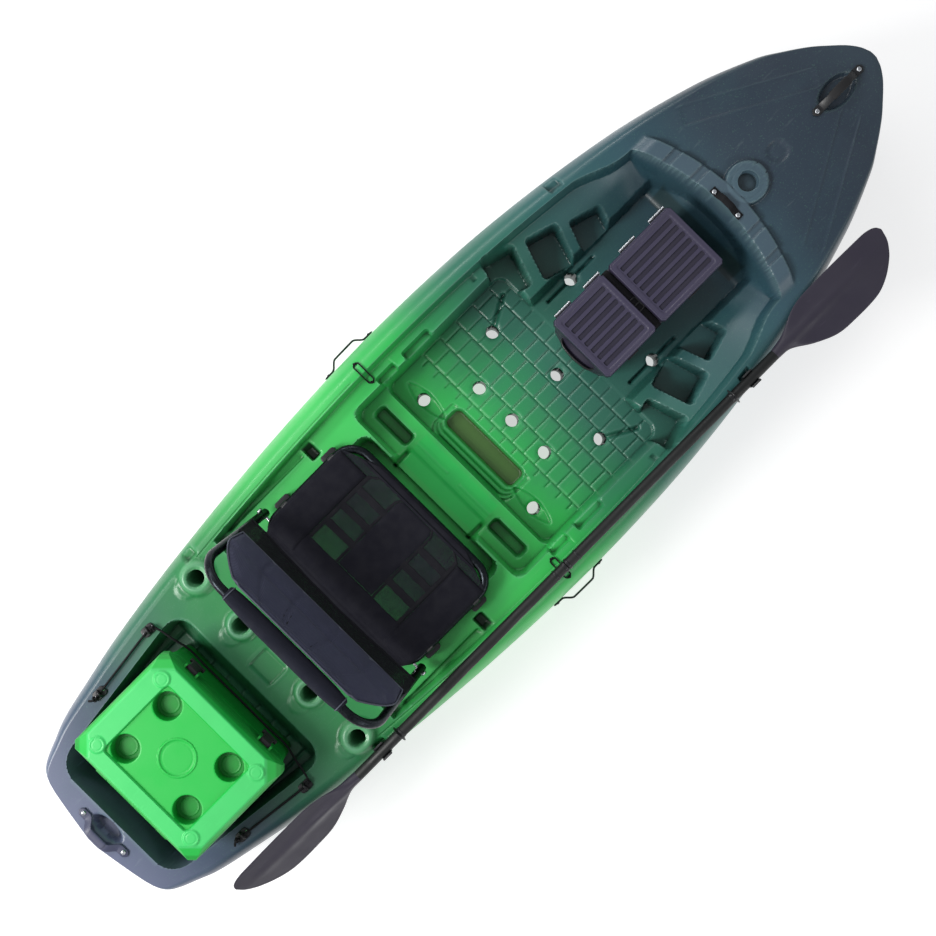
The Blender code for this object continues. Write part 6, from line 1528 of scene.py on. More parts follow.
def gunwale_loop_strand(x, side):
    """Line of one strand from the side deck over the gunwale to the shoulder."""
    clear = LOOP_RADIUS + 0.0016
    wall, edge, top = float(cockpit_half(x)), float(gunwale_half(x)), float(gunwale_height(x))
    widest = WIDEST_HEIGHT * top

    def shoulder_z(out):
        share = out / float(shoulder_width(x))
        return widest + (top - widest) * math.sqrt(1 - share * share) + clear

    line = [
        (wall - 0.030, SIDE_DECK_Z + 1.3 * LOOP_RADIUS + 0.0003),
        (wall - 3 * clear, SIDE_DECK_Z + 1.5 * clear), (wall - 1.3 * clear, (SIDE_DECK_Z + top) / 2),
        (wall - clear, top + clear / 2), (wall + clear / 2, top + 1.1 * clear), (edge, top + clear),
        (edge + 0.012, shoulder_z(0.012)), (edge + 0.024, shoulder_z(0.024)),
    ]
    return [Vector((x, side * y, z)) for y, z in line]


def build_gunwale_loops(material):
    """Shock cord loops over both gunwales with knots at both ends."""
    x = X_FLOOR_AFT - 0.014
    for side, label in SIDES:
        line = [Vector(p) for p in smooth_route(gunwale_loop_strand(x, side), 44)]
        spread = [LOOP_SPREAD] * len(line)
        for i, share in enumerate((0.45, 0.75, 0.93)):
            spread[i] = spread[-1 - i] = LOOP_SPREAD * share
        aft = [p - Vector((out, 0, 0)) for p, out in zip(line, spread)]
        fore = [p + Vector((out, 0, 0)) for p, out in zip(line, spread)]
        loop = tube(f"gunwale_loop_cord_{label}", aft + fore[::-1], LOOP_RADIUS, material, 14, closed=True)
        piece(loop, "hull", "cord", f"gunwale_loop_{label}")
        for point in (line[0], line[-1]):
            lifted = point + Vector((0, 0, 0.0012))
            piece(knot("gunwale_knot", lifted, (1, 0, 0), LOOP_RADIUS, material, 2.0), "hull", "cord")


# Turned profiles of the drain plug and its ring: radius, height along the axis
PLUG_RING_PROFILE = (
    (0.0112, 0.0003), (0.0168, 0.0), (0.0175, 0.0008), (0.0175, 0.0018), (0.0168, 0.0025), (0.0112, 0.0023),
)
PLUG_PROFILE = (
    (0.0098, -0.0220), (0.0104, -0.0205), (0.0104, -0.001), (0.0192, 0.0), (0.0200, 0.0009),
    (0.0200, 0.0042), (0.0188, 0.0062), (0.0170, 0.0070), (0.0100, 0.0070), (0.0090, 0.0074),
    (0.0084, 0.0120), (0.0072, 0.0130),
)
PLUG_NOTCHES = 10


def build_drain_plug(material, seal_material):
    """Drain plug with a ribbed grip and its ring."""
    point, way = plug_frame()
    seal = point - way * 0.0077
    ring = turned("drain_seal_ring", seal, way, PLUG_RING_PROFILE, 36, seal_material)
    head = seal + way * 0.0028
    body = turned("drain_plug_head", head, way, PLUG_PROFILE, 40, material)
    side, other = frame_of(way)
    cutters = []
    for step in range(PLUG_NOTCHES):
        turn = 2 * math.pi * step / PLUG_NOTCHES
        rim = head + (math.cos(turn) * side + math.sin(turn) * other) * 0.0212
        cutters.append(rod("notch", rim - way * 0.0002, rim + way * 0.009, 0.0026, 14))
    cut(body, cutters)
    piece(body, "drain_plug", "black_plastic", "drain_plug")
    piece(ring, "hull", "rubber", "drain_seal")


PADDLE_MIDDLE = -0.072
PADDLE_Z = 0.371
SHAFT_AFT = -0.875
SHAFT_FORE = 0.731
BLADE_LENGTH = 0.445
BLADE_FEATHER = math.radians(45)
BLADE_INNER_WIDTH = 0.062
BLADE_OUTER_WIDTH = 0.088
SHAFT_RADIUS = 0.0150
SHAFT_GAP = 0.0002
DRIP_RING_PROFILE = (
    (0.0152, -0.010), (0.0162, -0.009), (0.0164, -0.002), (0.0235, 0.001), (0.0240, 0.0022), (0.0170, 0.0024),
    (0.0152, 0.006),
)

# Half widths along the blade on both sides of its spine: share of its length, share of its width
BLADE_INNER = (
    (0, 0.24), (0.11, 0.38), (0.27, 0.86), (0.40, 1), (0.88, 0.98), (0.95, 0.90), (0.985, 0.76), (1, 0.58),
)
BLADE_OUTER = (
    (0, 0.17), (0.09, 0.22), (0.22, 0.62), (0.36, 0.93), (0.50, 1), (0.70, 0.97),
    (0.81, 0.77), (0.91, 0.42), (0.96, 0.14), (0.985, -0.08), (1, -0.36),
)


# Halves of the paddle: name, body, direction, where the blade begins, its feather
PADDLE_HALVES = (
    ("fore", "paddle", 1, SHAFT_FORE, 0.0), ("aft", "paddle_aft_half", -1, SHAFT_AFT, BLADE_FEATHER),
)


def on_shaft(name, x, direction, profile, material):
    """Part turned about the paddle's axis from x in a direction."""
    return turned(name, (x, PADDLE_Y, PADDLE_Z), (direction, 0, 0), profile, 48, material)


def build_paddle(shaft_material, blade_material, joint_material):
    """Two blades with raised spines, two half shafts with collars and drip rings, ferrule, clips."""
    for label, body, direction, end, feather in PADDLE_HALVES:
        rings = []
        c, s = math.cos(feather), math.sin(feather)
        for share in 1 - np.linspace(1, 0, 90) ** 1.35:
            share = float(min(share, 0.998))
            inner = BLADE_INNER_WIDTH * float(curve(BLADE_INNER, share))
            outer = BLADE_OUTER_WIDTH * float(curve(BLADE_OUTER, share))
            middle, half = (inner - outer) / 2, (inner + outer) / 2
            flat = float(ramp(share, 0.0, 0.30))
            thick = SHAFT_RADIUS + (0.0025 - SHAFT_RADIUS) * flat
            x = end + direction * BLADE_LENGTH * share
            ring = []
            for k in range(64):
                t = 2 * math.pi * k / 64
                y = middle + half * math.cos(t)
                spine = 0.011 * flat * (1 - share) * math.exp(-((y / 0.016) ** 2))
                rim = (half * (1 - abs(math.cos(t))) - 0.004) / 0.003
                z = (thick + spine + 0.0012 * flat * math.exp(-rim ** 2)) * math.sin(t)
                ring.append((x, PADDLE_Y + y * c - z * s, PADDLE_Z + y * s + z * c))
            rings.append(ring)
        node = f"paddle_blade_{label}"
        blade = skin(node + "_fine", rings, blade_material, 50)
        piece(blade, body, "paddle_plastic", node)
    for label, body, sign, end, _ in PADDLE_HALVES:
        start = PADDLE_MIDDLE + sign * SHAFT_GAP
        length = abs(end - sign * SHAFT_GAP - start)
        node = f"paddle_shaft_{label}"
        profile = (
            (0.0142, 0.0), (SHAFT_RADIUS, 0.0010), (SHAFT_RADIUS, length * 0.5),
            (SHAFT_RADIUS, length - 0.0006), (0.0147, length),
        )
        piece(on_shaft(node + "_fine", start, sign, profile, shaft_material), body, "paddle_plastic", node)
        for offset, half in ((0.0050, 0.0040), (0.0400, 0.0025)):
            wide = 2 * half
            profile = (
                (0.0152, 0.0), (0.0166, 0.0006), (0.0169, half), (0.0166, wide - 0.0006), (0.0152, wide),
            )
            ring = on_shaft("paddle_collar", start + sign * (offset - half), sign, profile, joint_material)
            piece(ring, body, "black_plastic")
        drip = start + sign * length * 0.80
        ring = on_shaft("paddle_drip_ring", drip, sign, DRIP_RING_PROFILE, joint_material)
        piece(ring, body, "rubber")
    ferrule = refined("paddle_ferrule", "paddle_ferrule_fine", joint_material, 0.0005, 2)
    piece(ferrule, "paddle", "black_plastic", "paddle_ferrule")
    for label in ("fore", "aft"):
        clip = refined(f"paddle_clip_{label}", f"paddle_clip_{label}_fine", joint_material, 0.0009, 3)
        piece(clip, "hull", "black_plastic", f"paddle_clip_{label}")


BOX_FRONT = -0.973
BOX_LENGTH = 0.335
BOX_HALF = 0.216
BOX_GAP = 0.0003
BOX_HEIGHT = 0.270
BOX_RIM_Z = TANK_FLOOR_Z + BOX_GAP + BOX_HEIGHT
BOX_CORNER = 0.030
LID_Z = BOX_RIM_Z + 0.0046
LID_HEIGHT = 0.055
LID_MIDDLE = BOX_FRONT - BOX_LENGTH / 2
LID_STEP = 0.008
LID_RECESS = ((LID_MIDDLE, 0), (0.121, 0.154), 0.014)
CUPS = (0.078, 0.113, 0.038, 0.036)
BUMPS = (0.120, 0.172, 0.023, 0.004)
MEDALLION_RING = 0.0495
LATCH_PIN = (-0.958, 0.135, 0.4889)
BOX_HINGE = (-1.320, 0.0, 0.4723)


def distance_to(middle, half, radius):
    """Function of x and y: the signed distance to a rounded rectangle."""
    return lambda x, y: box_distance(x, y, middle, half, radius)


def slab_places(s, t, low, high, grow, chamfer):
    """Places over a slab with chamfered corners for s and t from -1 to 1."""
    half_x = (high[0] - low[0]) / 2 + grow
    half_y = (high[1] - low[1]) / 2 + grow
    size = np.abs(t)
    straight = half_y - chamfer
    y = np.sign(t) * np.where(size < 0.9, size / 0.9 * straight, straight + (size - 0.9) / 0.1 * chamfer)
    reach = half_x - np.maximum(np.abs(y) - straight, 0)
    return (low[0] + high[0]) / 2 + s * reach, (low[1] + high[1]) / 2 + y


def slab(name, low, high, levels, surface, edges, material, step=0.0024, sharp=38):
    """Slab with a moulded top: its outlines from the top down are (height, grow, chamfer)."""
    columns = int((high[0] - low[0]) / step)
    rows = int((high[1] - low[1]) / step)
    s_line = np.linspace(-1, 1, columns)
    corner = np.linspace(0.9, 1.0, max(6, int(levels[0][2] / step)))
    straight = np.linspace(-0.9, 0.9, rows)
    t_line = np.concatenate([-corner[::-1][:-1], straight, corner[1:]])
    s, t = np.meshgrid(s_line, t_line, indexing="ij")
    top, grow, chamfer = levels[0]
    x, y = slab_places(s, t, low, high, grow, chamfer)
    locked = np.zeros_like(x, bool)
    locked[0] = locked[-1] = locked[:, 0] = locked[:, -1] = True
    for distance, levels_of in edges:
        for level in levels_of:
            x, y, locked = draw_on(x, y, distance, level, locked)
    z = surface(x, y, np.full_like(x, top))
    count, wide = x.shape
    vertices = [(x[i, j], y[i, j], z[i, j]) for i in range(count) for j in range(wide)]
    faces = []
    for i in range(count - 1):
        for j in range(wide - 1):
            faces.append((i * wide + j, (i + 1) * wide + j, (i + 1) * wide + j + 1, i * wide + j + 1))
    border = [(i, 0) for i in range(count)] + [(count - 1, j) for j in range(1, wide)]
    border += [(i, wide - 1) for i in range(count - 2, -1, -1)] + [(0, j) for j in range(wide - 2, 0, -1)]
    ring = [i * wide + j for i, j in border]
    for height, grow, chamfer in levels[1:]:
        rim = []
        for i, j in border:
            px, py = slab_places(s[i, j], t[i, j], low, high, grow, chamfer)
            rim.append(len(vertices))
            vertices.append((float(px), float(py), height))
        for a, b, c, d in zip(ring, rim, rim[1:] + rim[:1], ring[1:] + ring[:1]):
            faces.append((a, b, c, d))
        ring = rim
    faces.append(tuple(ring))
    obj = mesh_object(name, vertices, faces, material, sharp)
    outward(obj, sharp)
    return obj


def lid_corners(x, y, circles):
    """Signed distance to the nearest of four circles placed alike round the lid's middle."""
    dx, dy, radius, _ = circles
    return np.hypot(np.abs(x - LID_MIDDLE) - dx, np.abs(y) - dy) - radius


def lid_surface(x, y, z):
    """Top of the cool box's lid: recess, cup holders, bumps and the bare round medallion."""
    top = z.copy()
    z = well(z, box_distance(x, y, *LID_RECESS), top - LID_STEP, 0.001, 0.004)
    bump = lid_corners(x, y, BUMPS)
    raised = top + BUMPS[3] * ramp(-bump, -0.001, 0.004)
    z = np.where(bump < 0.001, np.maximum(z, raised), z)
    z = z - 0.0012 * np.clip(1 - np.abs(bump + 0.0085) / 0.002, 0, 1)
    cup = lid_corners(x, y, CUPS)
    z = z - 0.0012 * np.clip(1 - cup / 0.003, 0, 1) * (cup > 0)
    z = well(z, cup, top - LID_STEP - CUPS[3], 0.0008, 0.0030)
    floor_ring = np.abs(cup + 0.014) - 0.002
    z = z + 0.0012 * np.clip(-floor_ring / 0.0012, 0, 1) * (cup < -0.004)
    away = np.hypot(x - LID_MIDDLE, y)
    ring = np.abs(away - MEDALLION_RING)
    z = z + 0.0025 * np.clip((0.0036 - ring) / 0.0016, 0, 1)
    z = z - 0.0010 * ramp(0.046 - away, 0, 0.002)
    return z - 0.0008 * np.clip(1 - np.abs(away - 0.040) / 0.0012, 0, 1)


def box_ring(grow, z, radius):
    """Outline of the cool box grown by a distance, at a height."""
    aft, half = BOX_FRONT - BOX_LENGTH, BOX_HALF + grow
    outline = rounded_outline(aft - grow, BOX_FRONT + grow, -half, half, radius, 8)
    return [(x, y, z) for x, y in outline]


# Inside of the cool box from its rim to its floor: height, distance from the outline
BOX_INSIDE = (
    (BOX_HEIGHT, -0.0290), (0.2685, -0.0312), (0.262, -0.0320), (0.060, -0.0335), (0.040, -0.0370),
    (0.0330, -0.0450), (0.0320, -0.055),
)

# Section of the gasket: distance from the outline, height over the rim
GASKET_SECTION = (
    (-0.0112, 0.0), (-0.0128, 0.0014), (-0.0128, 0.0030), (-0.0140, 0.0040), (-0.0164, 0.0040),
    (-0.0176, 0.0030), (-0.0176, 0.0012), (-0.0190, 0.0),
)


def hinge_barrel(name, start, end, bore, material):
    """Barrel on the cool box's hinge between two places across it."""
    hx, _, hz = BOX_HINGE
    length = end - start
    half = ((bore, 0.0), (0.0082, 0.0), (0.0090, 0.001))
    profile = half + tuple((radius, length - along) for radius, along in reversed(half))
    return turned(name, (hx, start, hz), (0, 1, 0), profile, 32, material)


def build_cool_box(material, trim, steel, rubber):
    """Cool box: double-walled body with grips, lid, gasket, hinge and latches."""
    low = TANK_FLOOR_Z + BOX_GAP
    levels = [(0.0, -0.013), (0.0015, -0.0095), (0.006, -0.0070)]
    for height in np.linspace(0.010, 0.262, 64):
        share = height / BOX_HEIGHT
        groove = 0.0
        for middle in (0.040, 0.056, 0.205):
            groove += 0.0026 * max(0.0, 1 - abs(height - middle) / 0.006) ** 0.7
        panel = 0.0022 * float(ramp(height, 0.070, 0.078) * (1 - ramp(height, 0.184, 0.192)))
        levels.append((height, -0.007 * (1 - share) - groove - panel))
    levels += [(0.2665, -0.0004), (0.2690, -0.0012), (BOX_HEIGHT, -0.0030)]
    rings = [box_ring(grow, low + height, BOX_CORNER - 0.004 + grow) for height, grow in levels]
    for height, grow in BOX_INSIDE:
        rings.append(box_ring(grow, low + height, 0.026 if grow > -0.04 else 0.020))
    body = skin("cool_box_shell", rings, material, 38)
    cutters = []
    for side in (1, -1):
        grip_low = (LID_MIDDLE - 0.070, side * BOX_HALF - 0.016, low + 0.212)
        grip_high = (LID_MIDDLE + 0.070, side * BOX_HALF + 0.016, low + 0.246)
        cutters.append(soft_block("grip", grip_low, grip_high, 0.008, 0.006))
    cut(body, cutters)
    piece(body, "cool_box", "cool_box_plastic", "cooler_body")
    for side in (1, -1):
        y = side * LATCH_PIN[1]
        keeper_low, keeper_high = (BOX_FRONT - 0.006, y - 0.013, 0.4309), (-0.9645, y + 0.013, 0.4509)
        keeper = soft_block("cool_box_keeper", keeper_low, keeper_high, 0.002, 0.0015, trim)
        piece(keeper, "cool_box", "black_plastic")
    hx, _, hz = BOX_HINGE
    barrel = hinge_barrel("cool_box_barrel", -0.090, 0.090, 0.0042, material)
    web_low = (hx - 0.002, -0.0855, hz - 0.027)
    web_high = (BOX_FRONT - BOX_LENGTH + 0.007, 0.0855, hz - 0.0005)
    web = soft_block("cool_box_hinge_web", web_low, web_high, 0.001, 0.0008, material)
    piece(barrel, "cool_box", "cool_box_plastic")
    piece(web, "cool_box", "cool_box_plastic")
    base = BOX_RIM_Z + BOX_GAP
    rings = [box_ring(grow, base + height, BOX_CORNER - 0.006 + grow / 2) for grow, height in GASKET_SECTION]
    gasket = skin("cool_box_gasket", rings, rubber, 50, closed=True)
    piece(gasket, "cool_box", "rubber", "cooler_gasket")
    profile = ((0.0030, 0.0), (0.0040, 0.001), (0.0040, 0.259), (0.0030, 0.260))
    pin = turned("cool_box_hinge_pin", (hx, -0.130, hz), (0, 1, 0), profile, 24, steel)
    piece(pin, "cool_box", "steel", "cooler_hinge_rod")
    build_lid(material)
    build_latches(rubber, steel)


def build_lid(material):
    """Lid of the cool box with its knuckles, ears and the plug below it."""
    top = LID_Z + LID_HEIGHT
    low = (BOX_FRONT - BOX_LENGTH, -BOX_HALF)
    high = (BOX_FRONT, BOX_HALF)
    levels = (
        (top, -0.0085, 0.0455), (top - 0.0010, -0.0065, 0.0460), (top - 0.0030, -0.0052, 0.0452),
        (LID_Z + 0.0365, 0.0055, 0.0185), (LID_Z + 0.0341, 0.0066, 0.0160), (LID_Z + 0.0310, 0.0070, 0.0150),
        (LID_Z + 0.0100, 0.0070, 0.0124), (LID_Z + 0.0085, 0.0058, 0.0124), (LID_Z + 0.0070, 0.0070, 0.0122),
        (LID_Z + 0.0012, 0.0070, 0.0120), (LID_Z, 0.0056, 0.0114), (LID_Z, -0.0060, 0.0200),
        (LID_Z, -0.0326, 0.0100), (LID_Z - 0.0120, -0.0330, 0.0100), (LID_Z - 0.0140, -0.0350, 0.0100),
    )
    edges = [
        (distance_to(*LID_RECESS), (0.001, -0.004)),
        (lambda x, y: lid_corners(x, y, BUMPS), (0.001, -0.004)),
        (lambda x, y: lid_corners(x, y, CUPS), (0.0008, -0.0030)),
        (lambda x, y: np.hypot(x - LID_MIDDLE, y) - MEDALLION_RING, (-0.0036, 0.0036)),
    ]
    lid = slab("cool_box_lid", low, high, levels, lid_surface, edges, material, 0.0022)
    hx, _, hz = BOX_HINGE
    outline = rounded_outline(hx - 0.05, hx + 0.0099, -0.0903, 0.0903, 0.001, 2)
    cut(lid, [prism("notch", outline, LID_Z - 0.02, hz + 0.0099)], 38)
    piece(lid, "cool_box_lid", "cool_box_plastic", "cooler_lid")
    for side in (1, -1):
        inner, outer = sorted((side * 0.0906, side * 0.1300))
        barrel = hinge_barrel("cool_box_knuckle", inner, outer, 0.0043, material)
        web_low = (hx - 0.003, inner + 0.0006, hz + 0.004)
        web_high = (BOX_FRONT - BOX_LENGTH + 0.004, outer - 0.0006, LID_Z + 0.018)
        web = soft_block("cool_box_knuckle_web", web_low, web_high, 0.001, 0.0008, material)
        piece(barrel, "cool_box_lid", "cool_box_plastic")
        piece(web, "cool_box_lid", "cool_box_plastic")
        px, py, pz = LATCH_PIN
        for edge in (-1, 1):
            y = side * py + edge * 0.0173
            a, b = sorted((y, y + edge * 0.006))
            outline = [(BOX_FRONT, pz - 0.0072), (px, pz - 0.0072)]
            for turn in range(-80, 91, 17):
                c, s = math.cos(math.radians(turn)), math.sin(math.radians(turn))
                outline.append((px + 0.0048 * c, pz + 0.0010 + 0.0080 * s))
            outline.append((BOX_FRONT, pz + 0.0096))
            rings = [[(x, yy, z) for x, z in outline] for yy in (a, b)]
            ear = skin("cool_box_ear", rings, material, 35)
            piece(ear, "cool_box_lid", "cool_box_plastic")


# Turned profile of a latch's bar: radius, distance along it
LATCH_BAR_PROFILE = (
    (0.0040, 0.0), (0.0058, 0.0010), (0.0065, 0.0030), (0.0058, 0.0080), (0.0062, 0.0250), (0.0058, 0.0420),
    (0.0065, 0.0470), (0.0058, 0.0490), (0.0040, 0.0500),
)


def build_latches(rubber, steel):
    """Rubber T-latches with a waist, ribs and a round bar, and their pins."""
    px, py, pz = LATCH_PIN
    for side, label in SIDES:
        y = side * py
        rings = []
        for height in np.linspace(0.0, 1.0, 46):
            z = pz + 0.0048 - 0.0745 * height
            waist = 0.0170 - 0.0035 * math.sin(math.pi * min(height * 1.15, 1.0)) ** 2
            tip = min(height, 1 - height) / 0.05
            round_off = math.sqrt(max(1 - max(1 - tip, 0.0) ** 2, 0.02))
            rib = 0.0006 * (1 if 0.16 < height < 0.72 and int(height * 34) % 2 == 0 else 0)
            thick = 0.0060 * round_off - rib
            half = waist * (0.9 + 0.1 * round_off)
            outline = rounded_outline(px - 0.006, px + thick, y - half, y + half, 0.0022, 3)
            rings.append([(a, b, z) for a, b in outline])
        strap = skin(f"cool_box_latch_{label}", rings, rubber, 40)
        piece(strap, f"latch_{label}", "rubber", f"cooler_latch_{label}")
        place = (px + 0.0021, y - 0.025, pz - 0.0635)
        bar = turned(f"cool_box_latch_bar_{label}", place, (0, 1, 0), LATCH_BAR_PROFILE, 28, rubber)
        piece(bar, f"latch_{label}", "rubber")
        profile = ((0.0020, 0.0), (0.0028, 0.0006), (0.0028, 0.0450), (0.0020, 0.0456))
        pin = turned(f"cool_box_latch_pin_{label}", (px, y - 0.0228, pz), (0, 1, 0), profile, 20, steel)
        piece(pin, "cool_box_lid", "steel", f"cooler_latch_pin_{label}")


POD_AFT = 0.374
POD_LENGTH = 0.443
POD_HALF = 0.104
POD_LOW = 0.1513
POD_RIM = 0.3263
POD_BOW = 0.030
POD_SPLIT = POD_AFT + 0.199
POD_LID = 0.026
POD_LIDS = (
    ("tackle_lid_aft", "pod_lid_aft", 0.369, 0.562), ("tackle_lid_fore", "pod_lid_fore", 0.584, 0.822),
)
POD_LID_HALF = 0.109
POD_RIB_END = 0.022
POD_PITCH = 2 * (POD_LID_HALF - POD_RIB_END) / 7
POD_PANEL = 0.0165
POD_PANEL_CORNER = 0.008
POD_HINGE_Y = 0.1152
POD_HINGE_Z = 0.3283
LEAF_IN = 0.1043
LEAF_OUT = 0.1058
LEAF_TOP = 0.3253
POD_STRAP_WIDTH = 0.018

# The tackle box from its foot up: height, inset, taper of its width, bow of its aft end
POD_LEVELS = (
    (0.0, 0.0090, 0.94, 0.5), (0.0016, 0.0055, 0.94, 0.55), (0.006, 0.0042, 0.94, 0.60),
    (0.040, 0.0030, 0.952, 0.70), (0.0420, 0.0045, 0.952, 0.70), (0.0480, 0.0045, 0.954, 0.72),
    (0.0500, 0.0030, 0.956, 0.72), (0.100, 0.0018, 0.978, 0.88), (0.138, 0.0004, 0.998, 1.0),
    (0.142, 0.0, 1.0, 1.0), (0.150, 0.0, 1.0, 0.86), (0.160, 0.0, 1.0, 0.50),
    (0.1715, 0.0, 1.0, 0.12), (0.1742, 0.0008, 1.0, 0.08), (0.1750, 0.0022, 1.0, 0.06),
)


def pod_outline(inset, taper, bow):
    """Outline of the tackle box with its bowed aft end."""
    radius = 0.010
    x0, x1 = POD_AFT + inset + radius, POD_AFT + POD_LENGTH - inset - radius
    y0 = POD_HALF * taper - inset - radius
    points = []

    def corner(cx, cy, start):
        for step in range(5):
            turn = math.radians(start + 90 * step / 4)
            points.append((cx + radius * math.cos(turn), cy + radius * math.sin(turn)))

    corner(x1, y0, 0)
    corner(x0, y0, 90)
    for step in range(1, 16):
        share = step / 16
        points.append((x0 - radius - POD_BOW * bow * math.sin(math.pi * share), y0 * (1 - 2 * share)))
    corner(x0, -y0, 180)
    corner(x1, -y0, 270)
    return points


def groove_side(y):
    """Distance across a tackle box lid from the edge of the nearest groove between two ribs."""
    offset = (y + POD_LID_HALF - POD_RIB_END) % POD_PITCH - POD_PITCH / 2
    return np.abs(offset) - 0.28 * POD_PITCH


def groove_edge(x, y):
    """The same, for the lines that are drawn on the lid: far away where it has no grooves."""
    return np.where(np.abs(y) < POD_LID_HALF - POD_RIB_END - 0.0005, groove_side(y), 0.01)


def pod_lid_surface(middle, half_x):
    """Relief of one tackle box lid: a recessed panel with raised ribs inside a frame."""
    panel = distance_to(middle, (half_x - POD_PANEL, POD_LID_HALF - POD_PANEL), POD_PANEL_CORNER)
    frame_line = distance_to(middle, (half_x - 0.0065, POD_LID_HALF - 0.0065), POD_PANEL_CORNER)

    def surface(x, y, z):
        top = z.copy()
        z = well(z, panel(x, y), top - 0.0022, 0.001, 0.0025)
        across = groove_side(y)
        along = np.abs(x - middle[0]) - (half_x - POD_RIB_END)
        corner = np.hypot(np.maximum(across + 0.004, 0), np.maximum(along + 0.004, 0)) - 0.004
        groove = np.maximum(np.maximum(across, along), corner)
        groove = np.where(np.abs(y) < POD_LID_HALF - POD_RIB_END, groove, 0.01)
        z = well(z, groove, top - 0.0060, 0.0006, 0.0016)
        return z - 0.0010 * np.clip(1 - np.abs(frame_line(x, y)) / 0.0016, 0, 1)

    return surface


def build_tackle_box(material, trim, steel, webbing):
    """Tackle box: body with its handle, two ribbed lids, four hinges and the strap."""
    rings = []
    for height, *shape in POD_LEVELS:
        rings.append([(x, y, POD_LOW + height) for x, y in pod_outline(*shape)])
    body = skin("tackle_box_shell", rings, material, 35)
    half = POD_HALF * 0.94 - 0.004
    rooms = []
    for a, b in ((POD_AFT + 0.008, POD_SPLIT - 0.0020), (POD_SPLIT + 0.0020, POD_AFT + POD_LENGTH - 0.004)):
        rooms.append(soft_block("room", (a, -half, POD_LOW + 0.004), (b, half, POD_RIM + 0.03), 0.010, 0.004))
    cut(body, rooms, 35)
    piece(body, "tackle_box", "tackle_box_plastic", "pod_body")
    handle_points = []
    for step in range(25):
        turn = math.pi * step / 24
        lift = math.sin(turn)
        x = POD_AFT - 0.0060 - 0.0215 * lift**0.6
        handle_points.append((x, -0.058 * math.cos(turn), 0.3045 + 0.004 * lift))
    handle = band("tackle_box_handle", handle_points, 0.016, 0.006, (0, 0, 1), trim, 5)
    piece(handle, "tackle_box", "black_plastic")
    for name, node, a, b in POD_LIDS:
        z = POD_RIM + 0.0003
        top = z + POD_LID
        middle, half = ((a + b) / 2, 0.0), (b - a) / 2
        ends = (half - POD_RIB_END, POD_LID_HALF + 0.02)
        panel = (half - POD_PANEL, POD_LID_HALF - POD_PANEL)
        edges = [
            (groove_edge, (0.0006, -0.0016)),
            (distance_to(middle, ends, 0.001), (0.0006, -0.0016)),
            (distance_to(middle, panel, POD_PANEL_CORNER), (0.001, -0.0025)),
        ]
        levels = (
            (top, -0.0036, 0.0075), (top - 0.0009, -0.0022, 0.0082), (top - 0.0028, -0.0012, 0.0086),
            (z + 0.0190, -0.0002, 0.0090), (z + 0.0060, 0.0, 0.0090), (z + 0.0052, -0.0008, 0.0088),
            (z + 0.0042, 0.0, 0.0090), (z + 0.0008, 0.0, 0.0090), (z, -0.0008, 0.0086),
            (z, -0.0046, 0.0070), (z + 0.0160, -0.0050, 0.0070), (z + 0.0164, -0.0080, 0.0070),
        )
        surface = pod_lid_surface(middle, half)
        low, high = (a, -POD_LID_HALF), (b, POD_LID_HALF)
        lid = slab(name + "_shell", low, high, levels, surface, edges, material, 0.0021, 36)
        piece(lid, name, "tackle_box_plastic", node)
        low = (middle[0] - 0.020, -POD_LID_HALF - 0.0035, z + 0.0045)
        high = (middle[0] + 0.020, -POD_LID_HALF + 0.002, z + 0.0150)
        tab = soft_block(name + "_tab", low, high, 0.0015, 0.0012, trim)
        piece(tab, name, "black_plastic")
    for number in range(1, 5):
        build_pod_hinge(number, steel)
    build_pod_strap(webbing, trim)


def build_pod_hinge(number, steel):
    """Hinge of the tackle box: barrel with five knuckles, leaf, bridge and two rivets."""
    node, name = f"pod_hinge_{number}", f"tackle_hinge_{number}"
    low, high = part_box(node)
    x0, length = low.x, high.x - low.x
    profile = [(0.0020, 0.0)]
    for k in range(5):
        start, end = length * k / 5, length * (k + 1) / 5
        profile += [(0.0044, start + 0.0002), (0.0050, start + 0.0009)]
        profile += [(0.0050, end - 0.0009), (0.0044, end - 0.0002)]
    profile.append((0.0020, length))
    barrel = turned(name + "_barrel", (x0, POD_HINGE_Y, POD_HINGE_Z), (1, 0, 0), profile, 24, steel)
    piece(barrel, "tackle_box", "steel", node)
    for label, tall, outside in (("leaf", 0.0230, LEAF_OUT), ("bridge", 0.0015, 0.1140)):
        corner = (x0 + 0.0015, LEAF_IN, LEAF_TOP - tall)
        other = (high.x - 0.0015, outside, LEAF_TOP)
        plate = soft_block(f"{name}_{label}", corner, other, 0.0006, 0.0005, steel, 2)
        piece(plate, "tackle_box", "steel")
    for place in (0.25, 0.75):
        profile = ((0.0024, 0.0), (0.0022, 0.0006), (0.0010, 0.0012))
        start = (x0 + length * place, LEAF_OUT, 0.3120)
        piece(turned("tackle_hinge_rivet", start, (0, 1, 0), profile, 16, steel), "tackle_box", "steel")


